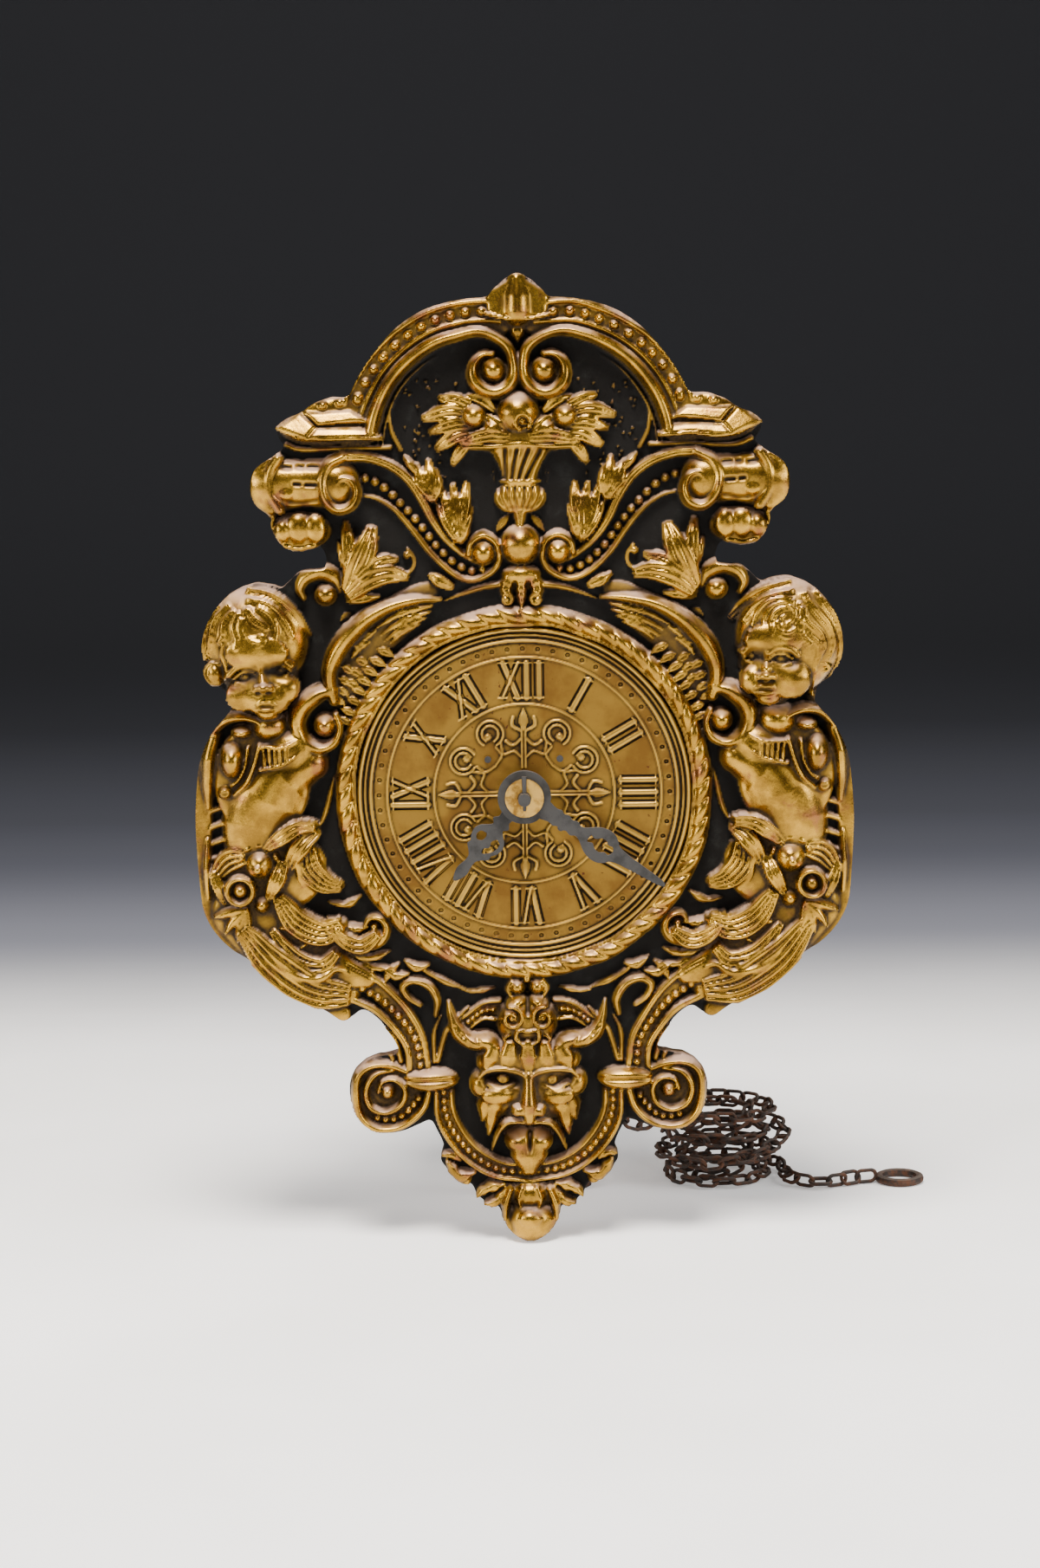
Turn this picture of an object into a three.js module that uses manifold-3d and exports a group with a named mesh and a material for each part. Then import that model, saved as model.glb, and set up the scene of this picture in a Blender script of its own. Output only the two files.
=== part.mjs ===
// Miniature Black Forest wall clock: an embossed brass front on a small wooden movement case.
// Millimetres, +Z up, the front faces -Y. The origin is the wall nail's point under the hanging hoop.
import * as THREE from 'three';
import { mergeVertices } from 'three/addons/utils/BufferGeometryUtils.js';
import Module from 'manifold-3d';

const wasm = await Module();
wasm.setup();

// Clearances
const seatGap = 0.3; // between pieces that rest on each other
const fitGap = 0.06; // radial, where a piece is pressed on its arbor
const runGap = 0.1; // radial, where an arbor turns in its hole

// Case
const dialDrop = 47; // from the wall nail down to the dial's centre
const wallGap = 12; // room for the pendulum between the case and the wall
const caseHalfWidth = 31;
const headroom = 1.5; // above the pendulum's suspension, inside the case
const capThickness = 4; // top and bottom boards
const boardThickness = 3; // back and front boards
const stripHalfWidth = 14;
const stripThickness = 4;
const stripSetback = 2; // from the back board to the rear strip
const trainSpace = 24; // between the two strips
const motionSpace = 8; // in front of the front strip
const pegRadius = 2.5;
const pegFromSide = 9;
const pegAboveBottom = 8;

// Side doors
const doorThickness = 2.4;
const doorInset = 0.2;
const hingeWireRadius = 0.5;
const hingeSetback = 5; // hinge axis in front of the case's rear
const knobRadius = 1.6;
const knobFromFront = 8;

// Hanging hoop
const hoopWireRadius = 1;
const hoopHalfWidth = 6;
const hoopSetback = 2.5; // legs in front of the case's rear
const hoopLean = 9; // the hoop leans back to the wall by this much

// Front sheet: the embossed and turned-back brass
const sheetThickness = 0.8;
const rimDepth = 3.6;
const ringRadius = 34.4;
const ringHalfWidth = 2;
const ringHeight = 3.4;
const sheetPipeGap = 0.8; // radial, round the hour pipe
const dialPipeGap = 0.5;

// Dial and hands
const dialRadius = 32.2;
const dialThickness = 0.9;
const dialNailOffset = [6.9, 6.7];
const dialNailRadius = 0.4;
const dialNailHead = 0.65;
const handThickness = 0.7;
const dialToHourHand = 2.6;
const hourToMinuteHand = 1.5;
const minuteHandLength = 31.9;
const hourHandLength = 21.3;
const minuteHandAngle = 123.2; // clockwise from twelve, as the hands stand
const hourHandAngle = 220.3;
const minuteHubRadius = 5.15;
const hourHubRadius = 4.9;
const minuteEyeAt = 17.1; // middle of the hand's cut-out, from its hub
const minuteEyeRadius = 1.6;
const hourEyeAt = 12.4;
const hourEyeRadius = 1.2;
const washerRadius = 3.7;
const washerThickness = 1;
const handPinRadius = 0.5;
const handPinLength = 6.6;
const arborTip = 1.6; // the arbor beyond its pin

// Going train: great wheel, centre, third and escape
const centreArborRadius = 1.22;
const greatArborRadius = 1;
const thirdArborRadius = 0.6;
const escapeArborRadius = 0.5;
const anchorArborRadius = 0.7;
const greatModule = 0.5;
const centreModule = 0.38;
const thirdModule = 0.32;
const greatTeeth = 56;
const centrePinionTeeth = 8;
const centreTeeth = 72;
const thirdPinionTeeth = 6;
const thirdTeeth = 72;
const escapePinionTeeth = 6;
const escapeTeeth = 40;
const escapeRadius = 6.4;
const escapeToothHeight = 1;
const escapeRim = 0.9;
const escapeHubRadius = 1.4;
const escapeHeight = 17.5; // escape arbor above the centre arbor
const wheelThickness = 1.2;
const escapeThickness = 1;
const pinionLength = 3;
const crossings = 4;

// Places of the wheels in front of the rear strip
const centreWheelAt = 3;
const escapeWheelAt = 7.2;
const thirdWheelAt = 13.2;
const greatWheelAt = 19.2;

// Motion work behind the dial
const motionModule = 0.5;
const cannonTeeth = 10;
const minuteTeeth = 30;
const minutePinionTeeth = 8;
const hourTeeth = 32;
const pipeWall = 0.6;
const minutePostRadius = 1;
const minutePostAngle = -30;
const cannonAt = 1.2; // in front of the front strip
const motionWheelThickness = 1.2;
const minuteHub = 2.4; // radius of the minute wheel's hub

// Chain sprocket, ratchet and click on the great arbor
const chainRadius = 1.7; // of the round envelope of the ladder chain
const chainPitchRadius = 7;
const sprocketAt = 9.5; // middle of the sprocket, in front of the rear strip
const sprocketTeeth = 8;
const sprocketThickness = 4.4;
const flangeThickness = 0.7;
const flangeRadius = 6.4;
const ratchetTeeth = 12;
const ratchetRadius = 5.2;
const ratchetThickness = 1.2;
const clickArm = 8.6; // click pivot from the great arbor
const clickGap = 0.35;
const chainHoleRadius = 2.6;

// Escapement and pendulum
const palletSpanTeeth = 10.5;
const swingLimit = 4; // degrees either side
const palletThickness = 2.2;
const palletGap = 0.3; // pallets from the wheel's teeth at the end of a swing
const crutchThickness = 1;
const crutchLength = 18;
const pendulumFromWall = 6;
const rodRadius = 0.6;
const suspensionRadius = 0.7;
const suspensionRise = 4;
const eyeRadius = 1.9;
const eyeThickness = 1.2;
const bobRadius = 11;
const bobThickness = 5;
const pendulumLength = 93;
const nutRadius = 1.8;
const nutThickness = 1.6;
const rodBelowNut = 2;

// Chain on the table behind the clock: the pull side is heaped, the weight side ends in its hook
const tableDrop = 88; // table below the dial's centre, just under the front's lowest leaf
const heapCentre = [40, -18];
const heapInnerRadius = 6;
const heapLoopPitch = 4.3;
const heapLoopsPerLayer = 2;
const heapLayers = 4;
const heapLayerPitch = 4.3;
const heapClimb = 0.3; // share of a loop in which the chain climbs to the next layer
const heapTurns = 7.5;
const heapLoopSteps = 24;
const chainEnd = 6; // length of the ring or hook that ends a chain
const endWire = 0.9;

// Places worked out from the sizes above, from the wall to the front
const backBoardY = -wallGap;
const rearStripY = backBoardY - boardThickness - stripSetback;
const trainY = rearStripY - stripThickness;
const frontStripY = trainY - trainSpace;
const motionY = frontStripY - stripThickness;
const frontBoardY = motionY - motionSpace;
const caseFrontY = frontBoardY - boardThickness;
const sheetBackY = caseFrontY - seatGap;
const sheetY = sheetBackY - sheetThickness;
const dialBackY = sheetY - seatGap;
const dialY = dialBackY - dialThickness;
const hourHandY = dialY - dialToHourHand;
const minuteHandY = hourHandY - handThickness - hourToMinuteHand;
const washerY = minuteHandY - handThickness - seatGap;
const handPinY = washerY - washerThickness - seatGap - handPinRadius;
const arborFrontY = handPinY - handPinRadius - arborTip;
const greatDistance = greatModule * (greatTeeth + centrePinionTeeth) / 2;
const thirdDistance = centreModule * (centreTeeth + thirdPinionTeeth) / 2;
const escapeDistance = thirdModule * (thirdTeeth + escapePinionTeeth) / 2;
const greatAxis = [0, -greatDistance];
const escapeAxis = [0, escapeHeight];
const thirdAxis = meetOfCircles(thirdDistance, escapeHeight, escapeDistance);
const palletAngle = Math.PI * palletSpanTeeth / escapeTeeth;
const anchorHeight = escapeHeight + escapeRadius / Math.cos(palletAngle);
const anchorAxis = [0, anchorHeight];
const insideHalfHeight = anchorHeight + suspensionRise + headroom;
const caseHalfHeight = insideHalfHeight + capThickness;
const doorHalfHeight = insideHalfHeight - doorInset;
const pegX = caseHalfWidth - pegFromSide;
const pegZ = pegAboveBottom - caseHalfHeight;
const motionDistance = motionModule * (cannonTeeth + minuteTeeth) / 2;
const postAngle = minutePostAngle * Math.PI / 180;
const minuteAxis = [motionDistance * Math.cos(postAngle), motionDistance * Math.sin(postAngle)];
const pendulumY = -pendulumFromWall;
const chainY = trainY - sprocketAt;
const tableZ = -tableDrop;

// The lower crossing of a circle round the centre arbor and one round the escape arbor, to the left
function meetOfCircles(fromCentre, height, fromEscape) {
  const z = (fromCentre ** 2 - fromEscape ** 2 + height ** 2) / (2 * height);
  return [-Math.sqrt(fromCentre ** 2 - z ** 2), z];
}

// Finishes
const finishes = {
  gilt: { color: 0xa87b2c, roughness: 0.42, metalness: 0.9 },
  brass: { color: 0xb08d4a, roughness: 0.35, metalness: 0.95 },
  dial: { color: 0x94752f, roughness: 0.5, metalness: 0.85 },
  steel: { color: 0x55565a, roughness: 0.45, metalness: 0.9 },
  iron: { color: 0x3a2d26, roughness: 0.8, metalness: 0.6 },
  beech: { color: 0x9a6d43, roughness: 0.7, metalness: 0 },
  spruce: { color: 0x8a5f38, roughness: 0.75, metalness: 0 },
};

const group = new THREE.Group();
const clock = new THREE.Group();
clock.position.z = -dialDrop;
group.add(clock);

// A named piece at a place in the dial's frame
function add(name, geometry, finish, x = 0, y = 0, z = 0) {
  const mesh = new THREE.Mesh(geometry, new THREE.MeshStandardMaterial(finishes[finish]));
  mesh.name = name;
  mesh.position.set(x, y, z);
  clock.add(mesh);
  return mesh;
}

// Radius of a hole drawn with straight sides that clears a round shaft of the given radius
function boreFor(shaftRadius, gap, sides = 16) {
  return (shaftRadius + gap) / Math.cos(Math.PI / sides);
}

// Points of a circle, counter-clockwise
function circle(radius, sides = 16, x = 0, y = 0) {
  return Array.from({ length: sides }, (_, i) => {
    const angle = 2 * Math.PI * i / sides;
    return new THREE.Vector2(x + radius * Math.cos(angle), y + radius * Math.sin(angle));
  });
}

function shapeOf(points, holes = []) {
  const shape = new THREE.Shape(points);
  shape.holes = holes.map((hole) => new THREE.Path(hole));
  return shape;
}

function vectors(points) {
  return points.map(([x, y]) => new THREE.Vector2(x, y));
}

function rectangle(left, right, bottom, top) {
  return vectors([[left, bottom], [right, bottom], [right, top], [left, top]]);
}

// An upright plate: the outline is drawn in X and Z, its rear face lies at y = 0 and it grows to the front
function plate(shape, thickness) {
  return new THREE.ExtrudeGeometry(shape, { depth: thickness, bevelEnabled: false }).rotateX(Math.PI / 2);
}

// A lying plate: the outline is drawn in X and Y, from z = 0 upwards
function board(shape, thickness) {
  return new THREE.ExtrudeGeometry(shape, { depth: thickness, bevelEnabled: false });
}

// A round bar along Y from yRear to yFront
function bar(radius, yRear, yFront, sides = 12) {
  return new THREE.CylinderGeometry(radius, radius, yRear - yFront, sides)
    .translate(0, (yRear + yFront) / 2, 0);
}

// A wire or chain envelope along a smooth curve
function tube(points, radius, steps, sides = 8) {
  const path = new THREE.CatmullRomCurve3(points.map((p) => new THREE.Vector3(...p)), false, 'centripetal');
  return new THREE.ExtrudeGeometry(shapeOf(circle(radius, sides)), { extrudePath: path, steps });
}

// Closed solids for joining and cutting
function solid(geometry) {
  const plain = geometry.index ? geometry.toNonIndexed() : geometry.clone();
  plain.deleteAttribute('normal');
  plain.deleteAttribute('uv');
  const merged = mergeVertices(plain, 1e-4);
  return new wasm.Manifold(new wasm.Mesh({
    numProp: 3,
    vertProperties: new Float32Array(merged.attributes.position.array),
    triVerts: new Uint32Array(merged.index.array),
  }));
}

function geometryOf(body) {
  const mesh = body.getMesh();
  const geometry = new THREE.BufferGeometry();
  geometry.setAttribute('position', new THREE.BufferAttribute(new Float32Array(mesh.vertProperties), 3));
  geometry.setIndex(new THREE.BufferAttribute(new Uint32Array(mesh.triVerts), 1));
  geometry.computeVertexNormals();
  return geometry;
}

function join(first, ...others) {
  return geometryOf(others.reduce((body, other) => body.add(solid(other)), solid(first)));
}

function cut(first, ...others) {
  return geometryOf(others.reduce((body, other) => body.subtract(solid(other)), solid(first)));
}

// Outline of one half of the front from the top point to the bottom leaf, mirrored for the other half
const halfOutline = [
  [0, 98.6], [2.3, 97.6], [4.6, 95.6], [5.9, 94.3], [9.5, 94], [14, 93.2], [18.4, 91.7], [22.8, 88.8],
  [26.2, 85.2], [28.8, 81.9], [30.8, 78.6], [32.3, 76.1], [35.5, 75.9], [38.8, 74.8], [41.2, 73.2],
  [44.2, 71.9], [45.9, 70.3], [45.5, 68.5], [44.7, 66.8], [46.6, 65], [49.3, 63.3], [50.6, 61.4],
  [50.9, 58.4], [49.9, 55.8], [47.6, 53.9], [47, 51.2], [45.6, 48.7], [43.4, 47.1], [40.6, 47.2],
  [38.2, 47.8], [37.1, 46], [37.3, 43.9], [39.4, 43.5], [42, 43.2], [44, 41.5], [45.7, 40.1],
  [47.6, 40.6], [51, 40.9], [55.2, 39.2], [58.2, 36.2], [60.2, 32.2], [60.9, 27.6], [60.3, 24],
  [58.6, 21.7], [56.6, 20.1], [55.7, 17.6], [56.8, 15.7], [59.2, 13], [61, 9.8], [62.2, 6.4],
  [62.8, 2], [63.2, -4], [63.1, -10], [62.7, -17], [62.2, -21.5], [60.9, -24.8], [58.9, -27.6],
  [56.4, -29.9], [53.2, -31.9], [50.2, -34.8], [46.4, -37.9], [42.2, -40.1], [38.6, -42.2], [36, -43.9],
  [34.2, -43.4], [32, -42.1], [29.8, -43.2], [27.5, -45.6], [25.6, -48.4], [25.2, -50.5], [27.6, -51.2],
  [30.6, -51.9], [33.4, -54], [34.8, -57.2], [34.3, -61.2], [31.8, -64.6], [28.2, -66.6], [24.6, -66.3],
  [21.4, -65], [19.2, -64.3], [17.9, -66.4], [16.7, -69.4], [17.3, -72.1], [15.9, -74.2], [13.6, -76.4],
  [11.4, -77.2], [10.3, -79.3], [8.2, -81.1], [6.2, -81.8], [5.2, -84.1], [3.3, -86.2], [0, -87.7],
];
const outline = [...halfOutline, ...halfOutline.slice(1, -1).reverse().map(([x, z]) => [-x, z])]
  .map(([x, z]) => new THREE.Vector2(x, z)).reverse();

// The same outline moved inwards, for the turned-back rim
function insetOutline(points, distance) {
  return points.map((point, i) => {
    const before = points[(i + points.length - 1) % points.length];
    const after = points[(i + 1) % points.length];
    const along = after.clone().sub(before).normalize();
    return new THREE.Vector2(point.x - along.y * distance, point.y + along.x * distance);
  });
}

// Main raised forms of one half: round bosses as x, z, half-width, half-height, rise and tilt in degrees
const bosses = {
  finial: [0, 93.6, 6.2, 4.6, 5, 0],
  archVolute: [4.5, 80.5, 4.6, 4.6, 4.4, 0],
  fruitBall: [0, 73, 4.2, 4.2, 4.8, 0],
  fruitAndLeaves: [9, 70.6, 9, 3.4, 2.4, 0],
  bowl: [0, 62, 8, 5, 3.6, 0],
  cup: [0, 56.5, 4.2, 3.2, 3.7, 0],
  cupBall: [0, 47.3, 4, 4, 4.5, 0],
  shell: [0, 40, 6, 4, 3.4, 0],
  smallVolute: [6.6, 46.2, 3.6, 3.6, 4, 0],
  sprig: [10.8, 53, 3.2, 5.2, 1.7, 0],
  cornice: [36, 70.8, 10.4, 4.2, 5, -6],
  roll: [43, 59.3, 8.6, 5.6, 5, -3],
  rollVolute: [34.2, 59.6, 4.6, 5, 5, 0],
  rollLeaf: [42.3, 50.8, 5.2, 3.8, 3.2, 0],
  acanthus: [29.4, 46.6, 5, 8, 2.2, -20],
  sideVolute: [38.6, 39.8, 4.2, 4.2, 3, 0],
  wing: [27.4, 31.6, 13.4, 4.4, 2.6, -38],
  wingVolute: [37.8, 13.8, 3, 3, 5, 0],
  head: [51.2, 30, 10.6, 11.4, 9.2, 0],
  face: [47.6, 25.2, 7.8, 9.2, 8.8, 0],
  shoulder: [54.4, 6, 8.2, 9.4, 5.8, 0],
  belly: [49.6, 0.5, 9.6, 14, 5.8, 25],
  garlandLeaves: [43.6, -12.8, 4.4, 4, 3.8, 0],
  drapery: [53.4, -17, 8.6, 8.6, 4.6, 0],
  lowerAcanthus: [45.6, -32.4, 13, 6.4, 3.8, 38],
  smallScroll: [29.4, -26.6, 3.6, 3.2, 2.8, 0],
  maskForehead: [0, -50.4, 5.6, 4.8, 6.2, 0],
  maskFace: [0, -57.8, 8.8, 10, 6.4, 0],
  cheek: [8.4, -57.4, 3.2, 2.9, 5.8, 0],
  tongue: [0, -69.5, 4, 4.5, 4.4, 0],
  crest: [0, -43.4, 5.4, 4.8, 4.8, 0],
  cuff: [18.8, -55.6, 5.8, 2.4, 4.4, 0],
  bottomVolute: [27.4, -58.2, 5.4, 5.2, 3.6, 0],
  bottomLeaf: [12.5, -75, 3.6, 2.6, 2.2, 0],
  budLeaves: [0, -79.4, 7.4, 2.8, 4, 0],
  bottomBud: [0, -83.4, 4.4, 4.2, 4.2, 0],
};
// Raised bands of one half: half-width, rise and the points they pass
const bands = {
  arch: [1.7, 4.6, [[1.9, 84.9], [8, 88], [14, 86.6], [20.4, 83], [25.4, 76.9], [28.2, 69]]],
  beadRow: [3.7, 1.8, [[6.6, 90.8], [14, 89.6], [21, 86.2], [26.4, 80.8], [30, 75]]],
  archEdge: [0.8, 2.5, [[6.6, 93.4], [14.6, 92.1], [22.4, 88.4], [28, 82.8], [31.4, 76.6]]],
  bowlRim: [1, 3.8, [[9.8, 66.2], [5, 66.5], [0, 66.7]]],
  scrollUpper: [1, 3.2, [[33.4, 64.8], [24.6, 63.2], [18.6, 56.6], [14, 48.9], [8.7, 44.7]]],
  scrollLower: [0.8, 2, [[29.7, 57.4], [23.6, 54.6], [16.6, 45.8], [9, 41.3], [3.5, 45]]],
  wingEdge: [1.9, 4.8, [[16.4, 37.6], [24.6, 36.6], [32.2, 31.8], [36.8, 24.4], [36, 18.6]]],
  wingScroll: [1.9, 5.2, [[36.4, 20.4], [42.4, 17], [43.2, 13.2], [38.8, 9.5], [35.2, 12]]],
  lowerBed: [2.4, 1.4, [[34.4, -34.8], [25.6, -41.8], [21.4, -53]]],
  lowerInner: [0.8, 2.8, [[34.4, -32.6], [25.4, -39.4], [20.4, -48], [19.5, -53.6]]],
  lowerOuter: [0.8, 2.8, [[34.2, -39.6], [25.5, -46.4], [23.2, -53.6]]],
  horn: [1.4, 4, [[5.4, -47.8], [12, -49.4], [14.8, -46], [15.2, -42.6]]],
  crestWing: [1.4, 3, [[2.6, -41.2], [6.2, -40.2], [10.4, -42.2], [13, -45.2]]],
  moustache: [1.1, 5.2, [[0.6, -62.2], [5.2, -63.2], [7.6, -66.8], [8.8, -69.4]]],
  bottomScroll: [0.9, 3.4, [[27, -53], [33.1, -54.9], [32.8, -62.4], [26.4, -65.3], [20.6, -61.4]]],
  maskFrame: [2.4, 2.4, [[16.6, -58], [16, -64], [12, -69.8], [6.4, -73.8], [0, -74.8]]],
};

// A boss stands on the sheet's ground as half of a flattened ball
const smallBoss = 5.6;
function boss([x, z, halfX, halfZ, top, tilt], side) {
  const sides = halfX < smallBoss ? 7 : 10;
  return new THREE.SphereGeometry(1, sides, 4).scale(halfX, top, halfZ)
    .rotateY(-side * tilt * Math.PI / 180).translate(side * x, sheetY, z);
}

// A band is half of a flattened bar along its points
function band([halfWidth, top, points], side) {
  const along = points.map(([x, z]) => [side * x, 0, z]);
  return tube(along, halfWidth, points.length + 2, 6).scale(1, top / halfWidth, 1).translate(0, sheetY, 0);
}

const dialNailPlaces = [[1, 1], [1, -1], [-1, -1], [-1, 1]]
  .map(([x, z]) => [x * dialNailOffset[0], z * dialNailOffset[1]]);

function frontSheet() {
  const frontReach = 2 * Math.max(...outline.map((point) => point.length()));
  const wellRadius = dialRadius + seatGap;
  const ringProfile = [[ringRadius - ringHalfWidth, 0], [ringRadius + ringHalfWidth, 0],
    [ringRadius + 0.7 * ringHalfWidth, ringHeight * 0.75], [ringRadius, ringHeight],
    [ringRadius - 0.8 * ringHalfWidth, ringHeight * 0.7], [ringRadius - ringHalfWidth, 0]];
  const groundY = sheetY + sheetThickness / 2;
  const ropeRing = new THREE.LatheGeometry(vectors(ringProfile.map(([r, y]) => [r, -y])).reverse(), 48)
    .translate(0, groundY, 0);
  const raised = [ropeRing];
  for (const form of Object.values(bosses)) {
    for (const side of form[0] ? [1, -1] : [1]) raised.push(boss(form, side));
  }
  for (const form of Object.values(bands)) {
    for (const side of [1, -1]) raised.push(band(form, side));
  }
  const before = plate(shapeOf(circle(frontReach, 4)), frontReach).translate(0, groundY, 0);
  const relief = raised.reduce((sum, form) => sum.add(solid(form)), solid(raised[0]))
    .intersect(solid(before));
  const well = plate(shapeOf(circle(wellRadius, 48)), 2 * ringHeight).translate(0, sheetY, 0);
  const tray = plate(shapeOf(outline), rimDepth).translate(0, sheetY + rimDepth, 0);
  const trayInside = plate(shapeOf(insetOutline(outline, sheetThickness)), rimDepth)
    .translate(0, sheetBackY + rimDepth, 0);
  let body = solid(tray).subtract(solid(trayInside)).add(relief).subtract(solid(well));
  const through = (points) => plate(shapeOf(points), 2 * rimDepth).translate(0, sheetY + rimDepth, 0);
  const nailHole = circle(boreFor(dialNailRadius, runGap, 8), 8);
  const holes = [through(circle(boreFor(hourPipeRadius, sheetPipeGap))),
    ...dialNailPlaces.map(([x, z]) => through(nailHole).translate(x, 0, z))];
  for (const hole of holes) body = body.subtract(solid(hole));
  return geometryOf(body);
}

// Pipes of the motion work, from the arbor outwards
const cannonBore = boreFor(centreArborRadius, runGap);
const cannonPipeRadius = cannonBore + pipeWall;
const hourBore = boreFor(cannonPipeRadius, runGap);
const hourPipeRadius = hourBore + pipeWall;

// A toothed rim: a wheel with V-shaped gaps, or with flat-bottomed gaps for small pinions
function toothedPoints(teeth, module, phase = 0, flatGaps = false) {
  const pitchRadius = teeth * module / 2;
  const tip = pitchRadius + (flatGaps ? 0.62 : 0.8) * module;
  const root = pitchRadius - (flatGaps ? 1.05 : 1.5) * module;
  const tooth = 2 * Math.PI / teeth;
  const profile = flatGaps
    ? [[-0.2, root], [-0.13, tip], [0.13, tip], [0.2, root]]
    : [[0, tip], [0.5, root]];
  return Array.from({ length: teeth }, (_, i) => profile.map(([share, radius]) => {
    const angle = phase + (i + share) * tooth;
    return new THREE.Vector2(radius * Math.cos(angle), radius * Math.sin(angle));
  })).flat();
}

// Where a wheel's teeth stand so that they fall in the gaps of the wheel that it meets
function meshingPhase(teeth, from, otherTeeth, otherPhase, other) {
  const angle = Math.atan2(from[1] - other[1], from[0] - other[0]);
  const share = (angle - otherPhase) * otherTeeth / (2 * Math.PI);
  return angle + Math.PI - (0.5 - share) * 2 * Math.PI / teeth;
}

// Windows between the spokes of a wheel
function windows(hubRadius, rimRadius) {
  const spoke = 0.16;
  return Array.from({ length: crossings }, (_, i) => {
    const from = 2 * Math.PI * i / crossings;
    const arc = 2 * Math.PI / crossings;
    const inner = [0.1 + spoke, 0.9 - spoke].map((t) => [hubRadius, from + arc * t]);
    const outer = [0.94, 0.7, 0.3, 0.06].map((t) => [rimRadius, from + arc * t]);
    return [...inner, ...outer].map(([r, a]) => new THREE.Vector2(r * Math.cos(a), r * Math.sin(a)));
  });
}

function wheel(teeth, module, phase, arborRadius, thickness, hubRadius) {
  const rim = teeth * module / 2 - 2.6 * module - 0.6;
  const holes = [circle(boreFor(arborRadius, fitGap, 12), 12), ...windows(hubRadius, rim)];
  return plate(shapeOf(toothedPoints(teeth, module, phase), holes), thickness);
}

// An arbor whose pinion leaves are cut on it
function pinionArbor(teeth, module, phase, radius, pinionAt, yRear, yFront) {
  const leaves = plate(shapeOf(toothedPoints(teeth, module, phase, true)), pinionLength)
    .translate(0, pinionAt + pinionLength / 2 - wheelThickness / 2, 0);
  return join(bar(radius, yRear, yFront), leaves);
}

// Going train
const arborEndGap = 0.5; // arbors stop short of the boards behind and before them
const arborRearY = rearStripY - arborEndGap;
const arborEndY = motionY + arborEndGap;
const centreWheelY = trainY - centreWheelAt;
const escapeWheelY = trainY - escapeWheelAt;
const thirdWheelY = trainY - thirdWheelAt;
const greatWheelY = trainY - greatWheelAt;
const thirdPhase = meshingPhase(thirdPinionTeeth, thirdAxis, centreTeeth, 0, [0, 0]);
const escapePhase = meshingPhase(escapePinionTeeth, escapeAxis, thirdTeeth, 0, thirdAxis);
const centrePinionPhase = meshingPhase(centrePinionTeeth, [0, 0], greatTeeth, 0, greatAxis);

add('great_arbor', bar(greatArborRadius, arborRearY, arborEndY), 'steel', greatAxis[0], 0, greatAxis[1]);
add('great_wheel', wheel(greatTeeth, greatModule, 0, greatArborRadius, wheelThickness, 3),
  'brass', greatAxis[0], greatWheelY, greatAxis[1]);
const pinHole = bar(boreFor(handPinRadius, fitGap, 8), handPinLength, -handPinLength, 8)
  .rotateX(Math.PI / 2).translate(0, handPinY, 0);
add('centre_arbor', cut(pinionArbor(centrePinionTeeth, greatModule, centrePinionPhase, centreArborRadius,
  greatWheelY, arborRearY, arborFrontY), pinHole), 'steel');
add('centre_wheel', wheel(centreTeeth, centreModule, 0, centreArborRadius, wheelThickness, 3),
  'brass', 0, centreWheelY, 0);
add('third_arbor', pinionArbor(thirdPinionTeeth, centreModule, thirdPhase, thirdArborRadius,
  centreWheelY, arborRearY, arborEndY), 'steel', thirdAxis[0], 0, thirdAxis[1]);
add('third_wheel', wheel(thirdTeeth, thirdModule, 0, thirdArborRadius, wheelThickness, 2),
  'brass', thirdAxis[0], thirdWheelY, thirdAxis[1]);
add('escape_arbor', pinionArbor(escapePinionTeeth, thirdModule, escapePhase, escapeArborRadius,
  thirdWheelY, arborRearY, arborEndY), 'steel', escapeAxis[0], 0, escapeAxis[1]);

function sawTeeth(teeth, tip, root, lean) {
  return Array.from({ length: teeth }, (_, i) => [[0, tip], [lean, root]].map(([share, radius]) => {
    const angle = 2 * Math.PI * (i + share) / teeth;
    return new THREE.Vector2(radius * Math.cos(angle), radius * Math.sin(angle));
  })).flat();
}

const escapeRoot = escapeRadius - escapeToothHeight;
const escapeHoles = [circle(boreFor(escapeArborRadius, fitGap, 12), 12),
  ...windows(escapeHubRadius, escapeRoot - escapeRim)];
add('escape_wheel', plate(shapeOf(sawTeeth(escapeTeeth, escapeRadius, escapeRoot, 0.25), escapeHoles),
  escapeThickness), 'brass', escapeAxis[0], escapeWheelY, escapeAxis[1]);

// Sprocket, ratchet and click
const sprocketBody = sprocketThickness + 2 * flangeThickness;
const sprocketRear = chainY + sprocketBody / 2;
const sprocketBore = boreFor(greatArborRadius, runGap);
const sprocketTip = chainPitchRadius - chainRadius - 0.2;
const spikes = plate(shapeOf(toothedSpikes(), [circle(sprocketBore)]), sprocketBody);
const flange = plate(shapeOf(circle(flangeRadius, 20), [circle(sprocketBore)]), flangeThickness);
add('chain_sprocket', join(spikes, flange.clone(),
  flange.clone().translate(0, flangeThickness - sprocketBody, 0)),
'brass', greatAxis[0], sprocketRear, greatAxis[1]);

function toothedSpikes() {
  const waist = sprocketTip - 1.2;
  return Array.from({ length: 2 * sprocketTeeth }, (_, i) => {
    const radius = i % 2 ? waist : sprocketTip;
    const angle = Math.PI * i / sprocketTeeth;
    return new THREE.Vector2(radius * Math.cos(angle), radius * Math.sin(angle));
  });
}

const ratchetY = sprocketRear - sprocketBody - seatGap;
add('ratchet_wheel', plate(shapeOf(sawTeeth(ratchetTeeth, ratchetRadius, ratchetRadius - 0.9, 0.15),
  [circle(sprocketBore)]), ratchetThickness), 'brass', greatAxis[0], ratchetY, greatAxis[1]);

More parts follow.
